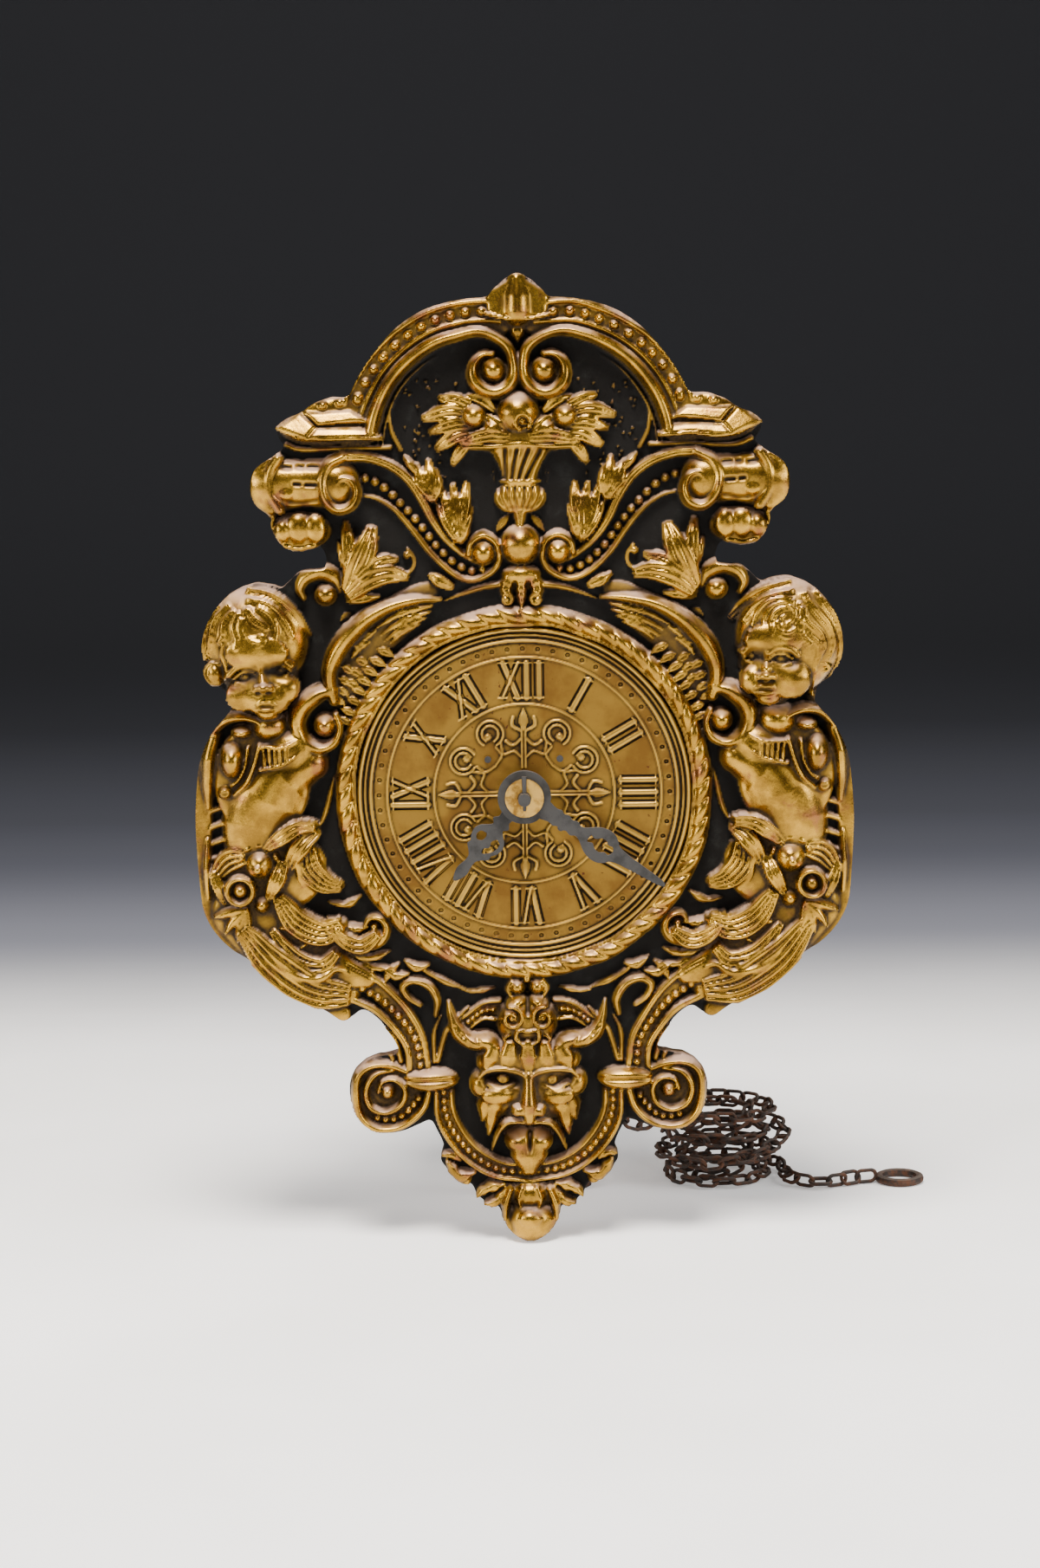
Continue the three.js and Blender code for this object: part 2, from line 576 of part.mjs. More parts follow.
// The click stands on a post of the great wheel, its nose just over the ratchet's teeth
const clickFrontY = greatWheelY + seatGap;
const clickLength = clickArm - ratchetRadius - clickGap;
const clickPlate = plate(shapeOf([[0.9, -0.9], [0.9, 0.9], [-clickLength, 0.5], [-clickLength, -0.5]]
  .map(([x, z]) => new THREE.Vector2(x, z))), ratchetThickness).translate(0, ratchetY, 0);
add('click_pawl', join(clickPlate, bar(0.7, ratchetY - 0.2, clickFrontY, 8)), 'steel',
  greatAxis[0] + clickArm, 0, greatAxis[1]);
const springY = ratchetY - ratchetThickness / 2;
add('click_spring', tube([[0, clickFrontY, 0], [0, springY - 0.6, 0], [-0.4, springY, -0.9],
  [-2.2, springY, -2.2]], 0.3, 10, 6), 'steel', greatAxis[0] + clickArm, 0, greatAxis[1] + 4.6);

// Motion work
const cannonY = motionY - cannonAt;
const cannonLength = motionWheelThickness + 0.8;
const cannonPhase = 0;
const minutePhase = meshingPhase(minuteTeeth, minuteAxis, cannonTeeth, cannonPhase, [0, 0]);
const hourPhase = meshingPhase(hourTeeth, [0, 0], minutePinionTeeth, 0, minuteAxis);

function pipe(bore, radius, yRear, yFront) {
  return plate(shapeOf(circle(radius), [circle(bore)]), yRear - yFront).translate(0, yRear, 0);
}

const cannonLeaves = shapeOf(toothedPoints(cannonTeeth, motionModule, cannonPhase, true),
  [circle(cannonBore)]);
add('cannon_pinion', join(plate(cannonLeaves, cannonLength).translate(0, cannonY, 0),
  pipe(cannonBore, cannonPipeRadius, cannonY - cannonLength / 2, minuteHandY - handThickness)), 'steel');
const minuteWheelY = cannonY - (cannonLength - motionWheelThickness) / 2;
add('minute_wheel', wheel(minuteTeeth, motionModule, minutePhase, minutePostRadius, motionWheelThickness,
  minuteHub), 'brass', minuteAxis[0], minuteWheelY, minuteAxis[1]);
const minutePinionY = minuteWheelY - motionWheelThickness - seatGap;
const minutePinionLength = (minutePinionY - frontBoardY) * 0.55;
add('minute_pinion', plate(shapeOf(toothedPoints(minutePinionTeeth, motionModule, 0, true),
  [circle(boreFor(minutePostRadius, runGap / 2))]), minutePinionLength), 'steel',
minuteAxis[0], minutePinionY, minuteAxis[1]);
add('minute_post', bar(minutePostRadius, frontStripY, minutePinionY - minutePinionLength - 0.6), 'steel',
  minuteAxis[0], 0, minuteAxis[1]);
const hourWheelY = minutePinionY - 0.5;
const hourRim = shapeOf(toothedPoints(hourTeeth, motionModule, hourPhase), [circle(hourBore)]);
add('hour_wheel', join(plate(hourRim, motionWheelThickness).translate(0, hourWheelY, 0),
  pipe(hourBore, hourPipeRadius, hourWheelY - 0.4, hourHandY - handThickness)), 'brass');

// Dial and front
add('front_sheet', frontSheet(), 'gilt');
const dialHoles = dialNailPlaces.map(([x, z]) => circle(boreFor(dialNailRadius, runGap, 8), 8, x, z));
add('dial_disc', plate(shapeOf(circle(dialRadius, 64),
  [circle(boreFor(hourPipeRadius, dialPipeGap)), ...dialHoles]), dialThickness), 'dial', 0, dialBackY, 0);
dialNailPlaces.forEach(([x, z], i) => {
  const shank = bar(dialNailRadius, frontBoardY, dialY - seatGap / 2, 8);
  const head = bar(dialNailHead, dialY - seatGap / 2, dialY - seatGap / 2 - 0.4, 10);
  add(`dial_nail_${i + 1}`, join(shank, head.translate(0, 0.01, 0)), 'steel', x, 0, z);
});

// A hand drawn upwards from its hub, then turned clockwise from twelve
function hand(points, eyeAt, eyeSize, bore, degrees) {
  const turned = (point) => point.rotateAround(new THREE.Vector2(), -degrees * Math.PI / 180);
  const holes = [circle(bore), circle(eyeSize, 10, 0, eyeAt).map(turned)];
  return plate(shapeOf(vectors(points).map(turned), holes), handThickness);
}

// Both edges of a hand from half-widths along its length, with the hub's round between them
function handEdges(halfWidths, hubRadius) {
  const first = Math.asin(halfWidths[0][1] / hubRadius);
  const steps = 18;
  const hub = Array.from({ length: steps + 1 }, (_, i) => {
    const angle = first + (2 * Math.PI - 2 * first) * i / steps;
    return [hubRadius * Math.sin(angle), hubRadius * Math.cos(angle)];
  }).reverse();
  const right = halfWidths.map(([along, half]) => [half, along]);
  const left = right.filter(([x]) => x > 0).map(([x, z]) => [-x, z]).reverse();
  return [...hub.slice(0, -1), ...right.slice(1), ...left.slice(0, -1)].reverse();
}

const cannonSeat = boreFor(cannonPipeRadius, fitGap);
const hourSeat = boreFor(hourPipeRadius, fitGap);
const minuteHandEdge = [[5, 1.6], [6.4, 1.9], [7.6, 1.3], [9, 1.6], [10.2, 1.2], [11.4, 1.5], [12.6, 1.1],
  [14.6, 2.6], [17.1, 3.3], [19.4, 2.5], [20.8, 1.5], [24, 1.1], [minuteHandLength - 1, 0.6],
  [minuteHandLength, 0]];
const hourHandEdge = [[4.8, 1.4], [7, 1.8], [7.9, 1.3], [9.6, 2.9], [11, 3.4], [13, 2.8], [14.2, 2.4],
  [15.8, 1], [18.8, 1.1], [hourHandLength, 0]];
add('minute_hand', hand(handEdges(minuteHandEdge, minuteHubRadius), minuteEyeAt, minuteEyeRadius,
  cannonSeat, minuteHandAngle), 'steel', 0, minuteHandY, 0);
add('hour_hand', hand(handEdges(hourHandEdge, hourHubRadius), hourEyeAt, hourEyeRadius,
  hourSeat, hourHandAngle), 'steel', 0, hourHandY, 0);
add('hand_washer', plate(shapeOf(circle(washerRadius, 28), [circle(boreFor(centreArborRadius, fitGap))]),
  washerThickness), 'brass', 0, washerY, 0);
add('hand_pin', new THREE.CylinderGeometry(handPinRadius, handPinRadius * 0.6, handPinLength, 8)
  .translate(0, handPinLength * 0.15, 0).rotateX(Math.PI / 2), 'steel', 0, handPinY, 0);

// Escapement
const palletRadius = escapeRadius + palletGap + (anchorHeight - escapeHeight) * Math.sin(palletAngle)
  * Math.sin(swingLimit * Math.PI / 180);
const palletX = palletRadius * Math.sin(palletAngle);
const palletZ = escapeHeight + palletRadius * Math.cos(palletAngle) - anchorHeight;
const palletY = escapeWheelY + (palletThickness - escapeThickness) / 2;
const anchorHalf = [[0, 2], [1.6, 1.5], [palletX + 0.4, palletZ + 2.2], [palletX + 1.5, palletZ + 0.3],
  [palletX + 1.3, palletZ - 0.9], [palletX + 0.1, palletZ - 0.1], [palletX - 1.2, palletZ + 1.5],
  [0, -1.6]];
const anchorPoints = vectors([...anchorHalf, ...anchorHalf.slice(1, -1).reverse().map(([x, z]) => [-x, z])])
  .reverse();
add('anchor_pallets', plate(shapeOf(anchorPoints, [circle(boreFor(anchorArborRadius, fitGap), 16)]),
  palletThickness), 'steel', 0, palletY, anchorHeight);
const crutchRearY = backBoardY + seatGap + crutchThickness + 1.4;
add('anchor_arbor', bar(anchorArborRadius, crutchRearY + seatGap, arborEndY), 'steel', 0, 0, anchorHeight);

// The crutch hangs behind the back board and its fork holds the pendulum rod loosely
const forkGap = 0.35;
const forkX = rodRadius + forkGap + 0.4; // middle of a tine from the rod
const forkRearY = pendulumY + rodRadius + 0.8;
const crutchHalf = 0.9;
const crutchHub = 1.8;
const footBelow = crutchLength + 1.2;
const footAbove = crutchLength - 0.4;
const tineHalf = 0.4;
const crutchOutline = vectors([[-crutchHalf, -crutchLength], [crutchHalf, -crutchLength],
  [crutchHalf, -crutchHub], [crutchHub, 0], [crutchHalf, crutchHub], [-crutchHalf, crutchHub],
  [-crutchHub, 0], [-crutchHalf, -crutchHub]]);
const crutchStrip = plate(shapeOf(crutchOutline, [circle(boreFor(anchorArborRadius, fitGap), 16)]),
  crutchThickness).translate(0, crutchRearY, 0);
const crutchFoot = plate(shapeOf(rectangle(-forkX - tineHalf, forkX + tineHalf, -footBelow, -footAbove)),
  crutchThickness).translate(0, crutchRearY, 0);
const tine = plate(shapeOf(rectangle(-tineHalf, tineHalf, -footBelow, -footAbove)),
  forkRearY - crutchRearY + crutchThickness / 2).translate(0, forkRearY, 0);
add('crutch', join(crutchStrip, crutchFoot, tine.clone().translate(forkX, 0, 0),
  tine.clone().translate(-forkX, 0, 0)), 'iron', 0, 0, anchorHeight);

// Pendulum on its wire
const wireRearY = pendulumY + eyeThickness / 2 + 2;
const wireRoute = [[backBoardY - boardThickness, suspensionRise], [backBoardY, suspensionRise],
  [wireRearY - 1, suspensionRise], [wireRearY, suspensionRise - 1], [wireRearY, 1], [wireRearY - 1, 0],
  [pendulumY - eyeThickness / 2 - suspensionRadius, 0]].map(([y, z]) => [0, y, z]);
add('suspension_wire', tube(wireRoute, suspensionRadius, 18, 6), 'iron', 0, 0, anchorHeight);
const eye = plate(shapeOf(circle(eyeRadius), [circle(boreFor(suspensionRadius, 0.15))]), eyeThickness)
  .translate(0, eyeThickness / 2, 0);
const rodEnd = pendulumLength + bobRadius + seatGap + nutThickness + rodBelowNut;
const rod = new THREE.CylinderGeometry(rodRadius, rodRadius, rodEnd - eyeRadius + 0.4, 10)
  .rotateX(Math.PI / 2).translate(0, 0, -(rodEnd + eyeRadius - 0.4) / 2);
add('pendulum_rod', join(eye, rod), 'iron', 0, pendulumY, anchorHeight);
const bobProfile = vectors([[0, -0.5], [0.55, -0.42], [0.9, -0.2], [1, 0], [0.9, 0.2], [0.55, 0.42], [0, 0.5]]
  .map(([share, across]) => [share * bobRadius, across * bobThickness]));
const rodBore = bar(boreFor(rodRadius, fitGap), bobRadius * 2, -bobRadius * 2, 8).rotateX(Math.PI / 2);
add('pendulum_bob', cut(new THREE.LatheGeometry(bobProfile, 22), rodBore), 'brass',
  0, pendulumY, anchorHeight - pendulumLength);
const nut = new THREE.CylinderGeometry(nutRadius, nutRadius, nutThickness, 12).rotateX(Math.PI / 2);
add('rating_nut', cut(nut, rodBore), 'brass', 0, pendulumY,
  anchorHeight - pendulumLength - bobRadius - seatGap - nutThickness / 2);

// Case
const hoopLegY = backBoardY - hoopSetback;
const hingeX = caseHalfWidth - doorInset - doorThickness / 2;
const hingeY = backBoardY - hingeSetback;
const hingeHole = (side) => circle(boreFor(hingeWireRadius, runGap, 10), 10, side * hingeX, hingeY);
const capOutline = rectangle(-caseHalfWidth, caseHalfWidth, caseFrontY, backBoardY);
const hoopHole = (side) => circle(boreFor(hoopWireRadius, runGap, 12), 12, side * hoopHalfWidth, hoopLegY);
const chainHole = (side) => circle(chainHoleRadius, 14, side * chainPitchRadius, chainY);
add('top_board', board(shapeOf(capOutline, [hoopHole(-1), hoopHole(1), hingeHole(-1), hingeHole(1)]),
  capThickness), 'beech', 0, 0, insideHalfHeight);
add('bottom_board', board(shapeOf(capOutline, [chainHole(-1), chainHole(1), hingeHole(-1), hingeHole(1)]),
  capThickness), 'beech', 0, 0, -caseHalfHeight);
const innerHalfHeight = insideHalfHeight - seatGap / 2;
const uprightOutline = (halfWidth) => rectangle(-halfWidth, halfWidth, -innerHalfHeight, innerHalfHeight);
const hole = (radius, x, z) => circle(radius, 12, x, z);
add('back_board', plate(shapeOf(uprightOutline(caseHalfWidth), [
  hole(anchorArborRadius + 1.4, 0, anchorHeight),
  hole(boreFor(suspensionRadius, fitGap, 12), 0, anchorHeight + suspensionRise),
  circle(boreFor(pegRadius, fitGap), 16, pegX, pegZ), circle(boreFor(pegRadius, fitGap), 16, -pegX, pegZ),
]), boardThickness), 'spruce', 0, backBoardY, 0);
const arborHole = (radius, [x, z]) => hole(boreFor(radius, runGap, 12), x, z);
const bearingHoles = [
  arborHole(greatArborRadius, greatAxis), arborHole(centreArborRadius, [0, 0]),
  arborHole(thirdArborRadius, thirdAxis), arborHole(escapeArborRadius, escapeAxis),
  arborHole(anchorArborRadius, anchorAxis),
];
add('rear_strip', plate(shapeOf(uprightOutline(stripHalfWidth), bearingHoles), stripThickness),
  'beech', 0, rearStripY, 0);
add('front_strip', plate(shapeOf(uprightOutline(stripHalfWidth),
  [...bearingHoles, arborHole(minutePostRadius, minuteAxis)]), stripThickness), 'beech', 0, frontStripY, 0);
add('front_board', plate(shapeOf(uprightOutline(caseHalfWidth), [circle(boreFor(hourPipeRadius, 0.6)),
  ...dialNailPlaces.map(([x, z]) => circle(boreFor(dialNailRadius, fitGap, 8), 8, x, z))]), boardThickness),
'spruce', 0, frontBoardY, 0);

// Side doors, each on a wire through the boards
const doorFrontY = frontBoardY + 2 * seatGap;
const doorBack = Array.from({ length: 9 }, (_, i) => {
  const angle = Math.PI * i / 8;
  return new THREE.Vector2(doorThickness / 2 * Math.cos(angle), doorThickness / 2 * Math.sin(angle));
});
const doorOutline = [...doorBack, new THREE.Vector2(-doorThickness / 2, doorFrontY - hingeY),
  new THREE.Vector2(doorThickness / 2, doorFrontY - hingeY)];
const knobProfile = [[0, 0], [0.6, 0], [0.5, 0.9], [1, 1.5], [0.85, 2.3], [0, 2.7]]
  .map(([r, along]) => new THREE.Vector2(r * knobRadius, along));
for (const [side, name] of [[-1, 'left'], [1, 'right']]) {
  add(`${name}_door`, board(shapeOf(doorOutline, [circle(boreFor(hingeWireRadius, runGap, 10), 10)]),
    2 * doorHalfHeight), 'spruce', side * hingeX, hingeY, -doorHalfHeight);
  add(`${name}_hinge_wire`, new THREE.CylinderGeometry(hingeWireRadius, hingeWireRadius,
    2 * caseHalfHeight - 1, 10).rotateX(Math.PI / 2), 'iron', side * hingeX, hingeY, 0);
  add(`${name}_door_knob`, new THREE.LatheGeometry(knobProfile, 14).rotateZ(-side * Math.PI / 2), 'brass',
    side * (hingeX + doorThickness / 2 + seatGap / 2), doorFrontY + knobFromFront, 0);
  add(`wall_peg_${name}`, bar(pegRadius, 0, backBoardY - boardThickness + 0.5, 16), 'beech',
    side * pegX, 0, pegZ);
}

// Hanging hoop: its legs stand in the top board and it leans back to the wall
const hoopTopY = hoopLegY + hoopLean;
const hoopTop = dialDrop + hoopWireRadius;
const hoopShoulder = caseHalfHeight + 2;
const hoopSide = [[hoopHalfWidth, hoopLegY, insideHalfHeight + seatGap],
  [hoopHalfWidth, hoopLegY, caseHalfHeight - 0.5], [hoopHalfWidth, hoopLegY + 0.2, hoopShoulder],
  [hoopHalfWidth, hoopLegY + hoopLean * 0.45, hoopShoulder + (hoopTop - hoopShoulder) * 0.45],
  [hoopHalfWidth * 0.72, hoopTopY - 1, hoopTop - 1.9]];
add('hanging_hoop', tube([...hoopSide, [0, hoopTopY, hoopTop],
  ...hoopSide.map(([x, y, z]) => [-x, y, z]).reverse()], hoopWireRadius, 22, 7), 'iron');

// Chain over the sprocket, down through the bottom board
const chainTurn = Array.from({ length: 9 }, (_, i) => {
  const angle = Math.PI * (1 - i / 8);
  return [chainPitchRadius * Math.cos(angle), chainY, greatAxis[1] + chainPitchRadius * Math.sin(angle)];
});
const chainLegEnd = -caseHalfHeight - 1;
add('chain_on_sprocket', tube([[-chainPitchRadius, chainY, chainLegEnd],
  [-chainPitchRadius, chainY, (chainLegEnd + greatAxis[1]) / 2], ...chainTurn,
  [chainPitchRadius, chainY, (chainLegEnd + greatAxis[1]) / 2],
  [chainPitchRadius, chainY, chainLegEnd]], chainRadius, 22, 6), 'iron');

// Free chain: routes chosen by hand, laid on the table behind the clock
const freeStart = chainLegEnd - seatGap;
const onTable = tableZ + chainRadius;
const weightRoute = [
  [-chainPitchRadius, chainY, freeStart], [-7, chainY, -42], [-7, -30.6, -52], [-6.8, -31, -62],
  [-6.4, -31.4, -72], [-6, -31.4, -79], [-5, -30.4, -83.4], [-3.6, -29.2, onTable + 0.7],
  [-2, -28, onTable], [0.6, -26, onTable], [4, -24.4, onTable],
];
add('chain_weight_side', tube(weightRoute, chainRadius, 14), 'iron');

// Heap of the pull side: loops spiral in and out again, a layer up each time the spiral turns
function heapPoint(turns) {
  const layer = Math.min(heapLayers - 1, Math.floor(turns / heapLoopsPerLayer));
  const within = turns - layer * heapLoopsPerLayer;
  const flatTurns = heapLoopsPerLayer - heapClimb;
  const isTop = layer === heapLayers - 1;
  const wound = isTop ? within : Math.min(flatTurns, within);
  const radius = heapInnerRadius + heapLoopPitch * (layer % 2 ? wound : flatTurns - wound);
  const climb = isTop ? 0 : Math.max(0, (within - flatTurns) / heapClimb);
  const angle = 2 * Math.PI * turns;
  return new THREE.Vector3(heapCentre[0] + radius * Math.cos(angle),
    heapCentre[1] + radius * Math.sin(angle), onTable + heapLayerPitch * (layer + climb));
}

class Heap extends THREE.Curve {
  getPoint(t, target = new THREE.Vector3()) {
    return target.copy(heapPoint(t * heapTurns));
  }
}
const heapSteps = heapTurns * heapLoopSteps;
add('chain_heap', new THREE.ExtrudeGeometry(shapeOf(circle(chainRadius, 6)),
  { extrudePath: new Heap(), steps: heapSteps }), 'iron');

// The least gap between loops, measured on points of the heap's centre line
function leastSelfGap() {
  const points = Array.from({ length: heapSteps + 1 }, (_, i) => heapPoint(i * heapTurns / heapSteps));
  let least = Infinity;
  for (let i = 0; i < points.length; i += 1) {
    for (let j = i + heapLoopSteps / 2; j < points.length; j += 1) {
      least = Math.min(least, points[i].distanceTo(points[j]));
    }
  }
  return least - 2 * chainRadius;
}
console.log(`least gap between the heap's loops: ${leastSelfGap().toFixed(2)} mm`);

// From the sprocket the pull side hangs over to the top of the heap, and its tail runs off at the bottom
const heapTop = heapPoint(heapTurns);
const heapFoot = heapPoint(0);
const runRoute = [
  [chainPitchRadius, chainY, freeStart], [7, chainY, -42], [7.6, -31, -50], [9.6, -31.8, -59],
  [13.6, -32.8, -66.5], [18.6, -32.6, -71.4], [23.4, -30, -73.6], [26.6, -26, -73.7],
  [heapTop.x, heapTop.y - 4, heapTop.z], [heapTop.x, heapTop.y - seatGap, heapTop.z],
];
add('chain_run', tube(runRoute, chainRadius, 14), 'iron');
const tailRoute = [
  [heapFoot.x, heapFoot.y - seatGap, onTable], [heapFoot.x, heapFoot.y - 4, onTable], [54.4, -26, onTable],
  [58.4, -29.2, onTable], [63, -28.6, onTable], [67, -26.4, onTable], [71.4, -25.2, onTable],
];
add('chain_tail', tube(tailRoute, chainRadius, 9), 'iron');

// A ring ends the pull side and a hook for the weight ends the other, both lying flat
const ringRadiusMid = chainEnd - 2 * endWire;
const endRing = new THREE.LatheGeometry(circle(endWire, 8, ringRadiusMid, 0).concat(
  [new THREE.Vector2(ringRadiusMid + endWire, 0)]), 20).rotateX(Math.PI / 2);
const tailEnd = tailRoute[tailRoute.length - 1];
add('chain_ring', endRing, 'iron', tailEnd[0] + ringRadiusMid + endWire + seatGap, tailEnd[1] + 0.9,
  tableZ + endWire);
const weightEnd = weightRoute[weightRoute.length - 1];
const hookRoute = [[0, 0], [1.6, 0.5], [3.4, 1.9], [5.6, 2.2], [7.2, 0.8], [7, -1.4], [5.2, -2.4],
  [3.6, -1.6]].map(([x, y]) => [x, y, 0]);
add('weight_hook', tube(hookRoute, endWire, 24, 6), 'iron', weightEnd[0] + seatGap + 0.4,
  weightEnd[1] + 0.2, tableZ + endWire);

export default group;
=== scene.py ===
"""Looks of a miniature Black Forest wall clock: pressed and gilded brass front, dial, hands, case and chain.

The relief is modelled in millimetres in the dial's own frame, X to the right and Z up from the dial's
centre, and is set in the row's frame in metres by one function.
"""

import logging
import math
from dataclasses import dataclass, field
from enum import Enum
from typing import Sequence

import bmesh
import bpy
import numpy as np
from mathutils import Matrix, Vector


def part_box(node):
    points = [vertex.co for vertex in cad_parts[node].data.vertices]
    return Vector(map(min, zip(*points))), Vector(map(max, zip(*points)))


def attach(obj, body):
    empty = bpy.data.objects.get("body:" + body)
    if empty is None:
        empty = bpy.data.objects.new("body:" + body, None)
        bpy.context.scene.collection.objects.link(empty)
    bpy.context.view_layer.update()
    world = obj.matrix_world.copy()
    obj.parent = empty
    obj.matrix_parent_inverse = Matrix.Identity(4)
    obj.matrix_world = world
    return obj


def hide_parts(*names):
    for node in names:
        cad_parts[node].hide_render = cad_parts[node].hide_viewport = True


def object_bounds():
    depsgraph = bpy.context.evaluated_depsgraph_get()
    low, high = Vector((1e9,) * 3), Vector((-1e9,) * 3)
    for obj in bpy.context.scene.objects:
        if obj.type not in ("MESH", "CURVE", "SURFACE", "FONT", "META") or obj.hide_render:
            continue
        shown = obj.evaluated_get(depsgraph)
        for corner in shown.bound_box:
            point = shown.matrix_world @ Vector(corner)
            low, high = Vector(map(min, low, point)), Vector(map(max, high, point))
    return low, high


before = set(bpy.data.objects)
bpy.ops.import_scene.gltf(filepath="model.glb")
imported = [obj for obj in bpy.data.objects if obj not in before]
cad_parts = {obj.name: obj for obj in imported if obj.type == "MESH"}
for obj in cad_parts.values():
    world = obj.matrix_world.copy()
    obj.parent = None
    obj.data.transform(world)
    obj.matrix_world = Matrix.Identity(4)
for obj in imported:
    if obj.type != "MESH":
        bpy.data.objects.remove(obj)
CAD_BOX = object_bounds()
LOG = logging.getLogger("clock")

MM = 0.001
SEED = 20
BELOW = -9.0  # height of a form outside its own edge, below any ground
Point = tuple[float, float]
Points = Sequence[Point]
Widths = float | Sequence[float]
DIAL_LOW, DIAL_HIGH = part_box("dial_disc")
DIAL_DROP = -(DIAL_LOW.z + DIAL_HIGH.z) / 2 / MM  # from the wall nail down to the dial's centre
SEAT_GAP = 0.3
SHEET_Y = DIAL_HIGH.y / MM + SEAT_GAP  # the embossing's ground, just behind the dial


def in_metres(points: np.ndarray) -> np.ndarray:
    """Turns points in the dial's frame, in mm, into points in the row's frame, in metres."""
    return (np.asarray(points, dtype=float) - np.array([0, 0, DIAL_DROP])) * MM


def mesh_object(name: str, points: np.ndarray, faces: Sequence[Sequence[int]],
                smooth: bool = True) -> bpy.types.Object:
    """Makes a mesh object from points in the dial's frame.

    Args:
        name: The piece's name.
        points: Vertices in mm.
        faces: Vertex numbers of each face.
        smooth: Whether its faces are shaded smooth.

    Returns:
        The new object, linked to the scene.
    """
    mesh = bpy.data.meshes.new(name)
    mesh.from_pydata(in_metres(points), [], faces)
    mesh.polygons.foreach_set("use_smooth", [smooth] * len(mesh.polygons))
    mesh.update()
    piece = bpy.data.objects.new(name, mesh)
    bpy.context.collection.objects.link(piece)
    return piece


def catmull(points: Points, spacing: float = 0.45) -> np.ndarray:
    """Draws a smooth line through points.

    Args:
        points: Points of any dimension.
        spacing: Distance between the points that it returns.

    Returns:
        Points along the line.
    """
    p = np.asarray(points, dtype=float)
    if len(p) < 3:
        steps = max(2, int(np.linalg.norm(p[-1] - p[0]) / spacing) + 1)
        return p[0] + (p[-1] - p[0]) * np.linspace(0, 1, steps)[:, None]
    ends = np.vstack([2 * p[0] - p[1], p, 2 * p[-1] - p[-2]])
    out = []
    for a, b, c, d in zip(ends, ends[1:], ends[2:], ends[3:]):
        steps = max(1, int(np.linalg.norm(c - b) / spacing))
        t = (np.arange(steps) / steps)[:, None]
        out.append(0.5 * (2 * b + (c - a) * t + (2 * a - 5 * b + 4 * c - d) * t**2
                          + (3 * b - a - 3 * c + d) * t**3))
    return np.vstack([*out, p[-1]])


def soft_noise(shape: tuple[int, int], cells: int, seed: int) -> np.ndarray:
    """Makes smooth noise between -1 and 1 over a grid.

    Args:
        shape: Rows and columns of the grid.
        cells: Number of blots along each side.
        seed: Seed of the draw.

    Returns:
        The noise at each point of the grid.
    """
    rough = np.random.default_rng(seed).uniform(-1, 1, (cells + 2, cells + 2))
    rows, cols = (np.linspace(0, cells, n, endpoint=False) for n in shape)
    r, c = rows.astype(int), cols.astype(int)
    fr, fc = (rows - r)[:, None], (cols - c)[None, :]
    fr, fc = fr * fr * (3 - 2 * fr), fc * fc * (3 - 2 * fc)
    top = rough[r][:, c] * (1 - fc) + rough[r][:, c + 1] * fc
    low = rough[r + 1][:, c] * (1 - fc) + rough[r + 1][:, c + 1] * fc
    return top * (1 - fr) + low * fr


def blurred(grid: np.ndarray, reach: int) -> np.ndarray:
    """Averages a grid over a square window, twice, which is close to a round blur.

    Args:
        grid: Values on the grid.
        reach: Points that the window takes in on each side.

    Returns:
        The averaged values.
    """
    for _ in range(2):
        for axis in (0, 1):
            padded = np.pad(grid, [(reach + 1, reach) if a == axis else (0, 0) for a in (0, 1)], mode="edge")
            total = np.cumsum(padded, axis=axis)
            high = np.take(total, range(2 * reach + 1, total.shape[axis]), axis=axis)
            low = np.take(total, range(0, total.shape[axis] - 2 * reach - 1), axis=axis)
            grid = (high - low) / (2 * reach + 1)
    return grid


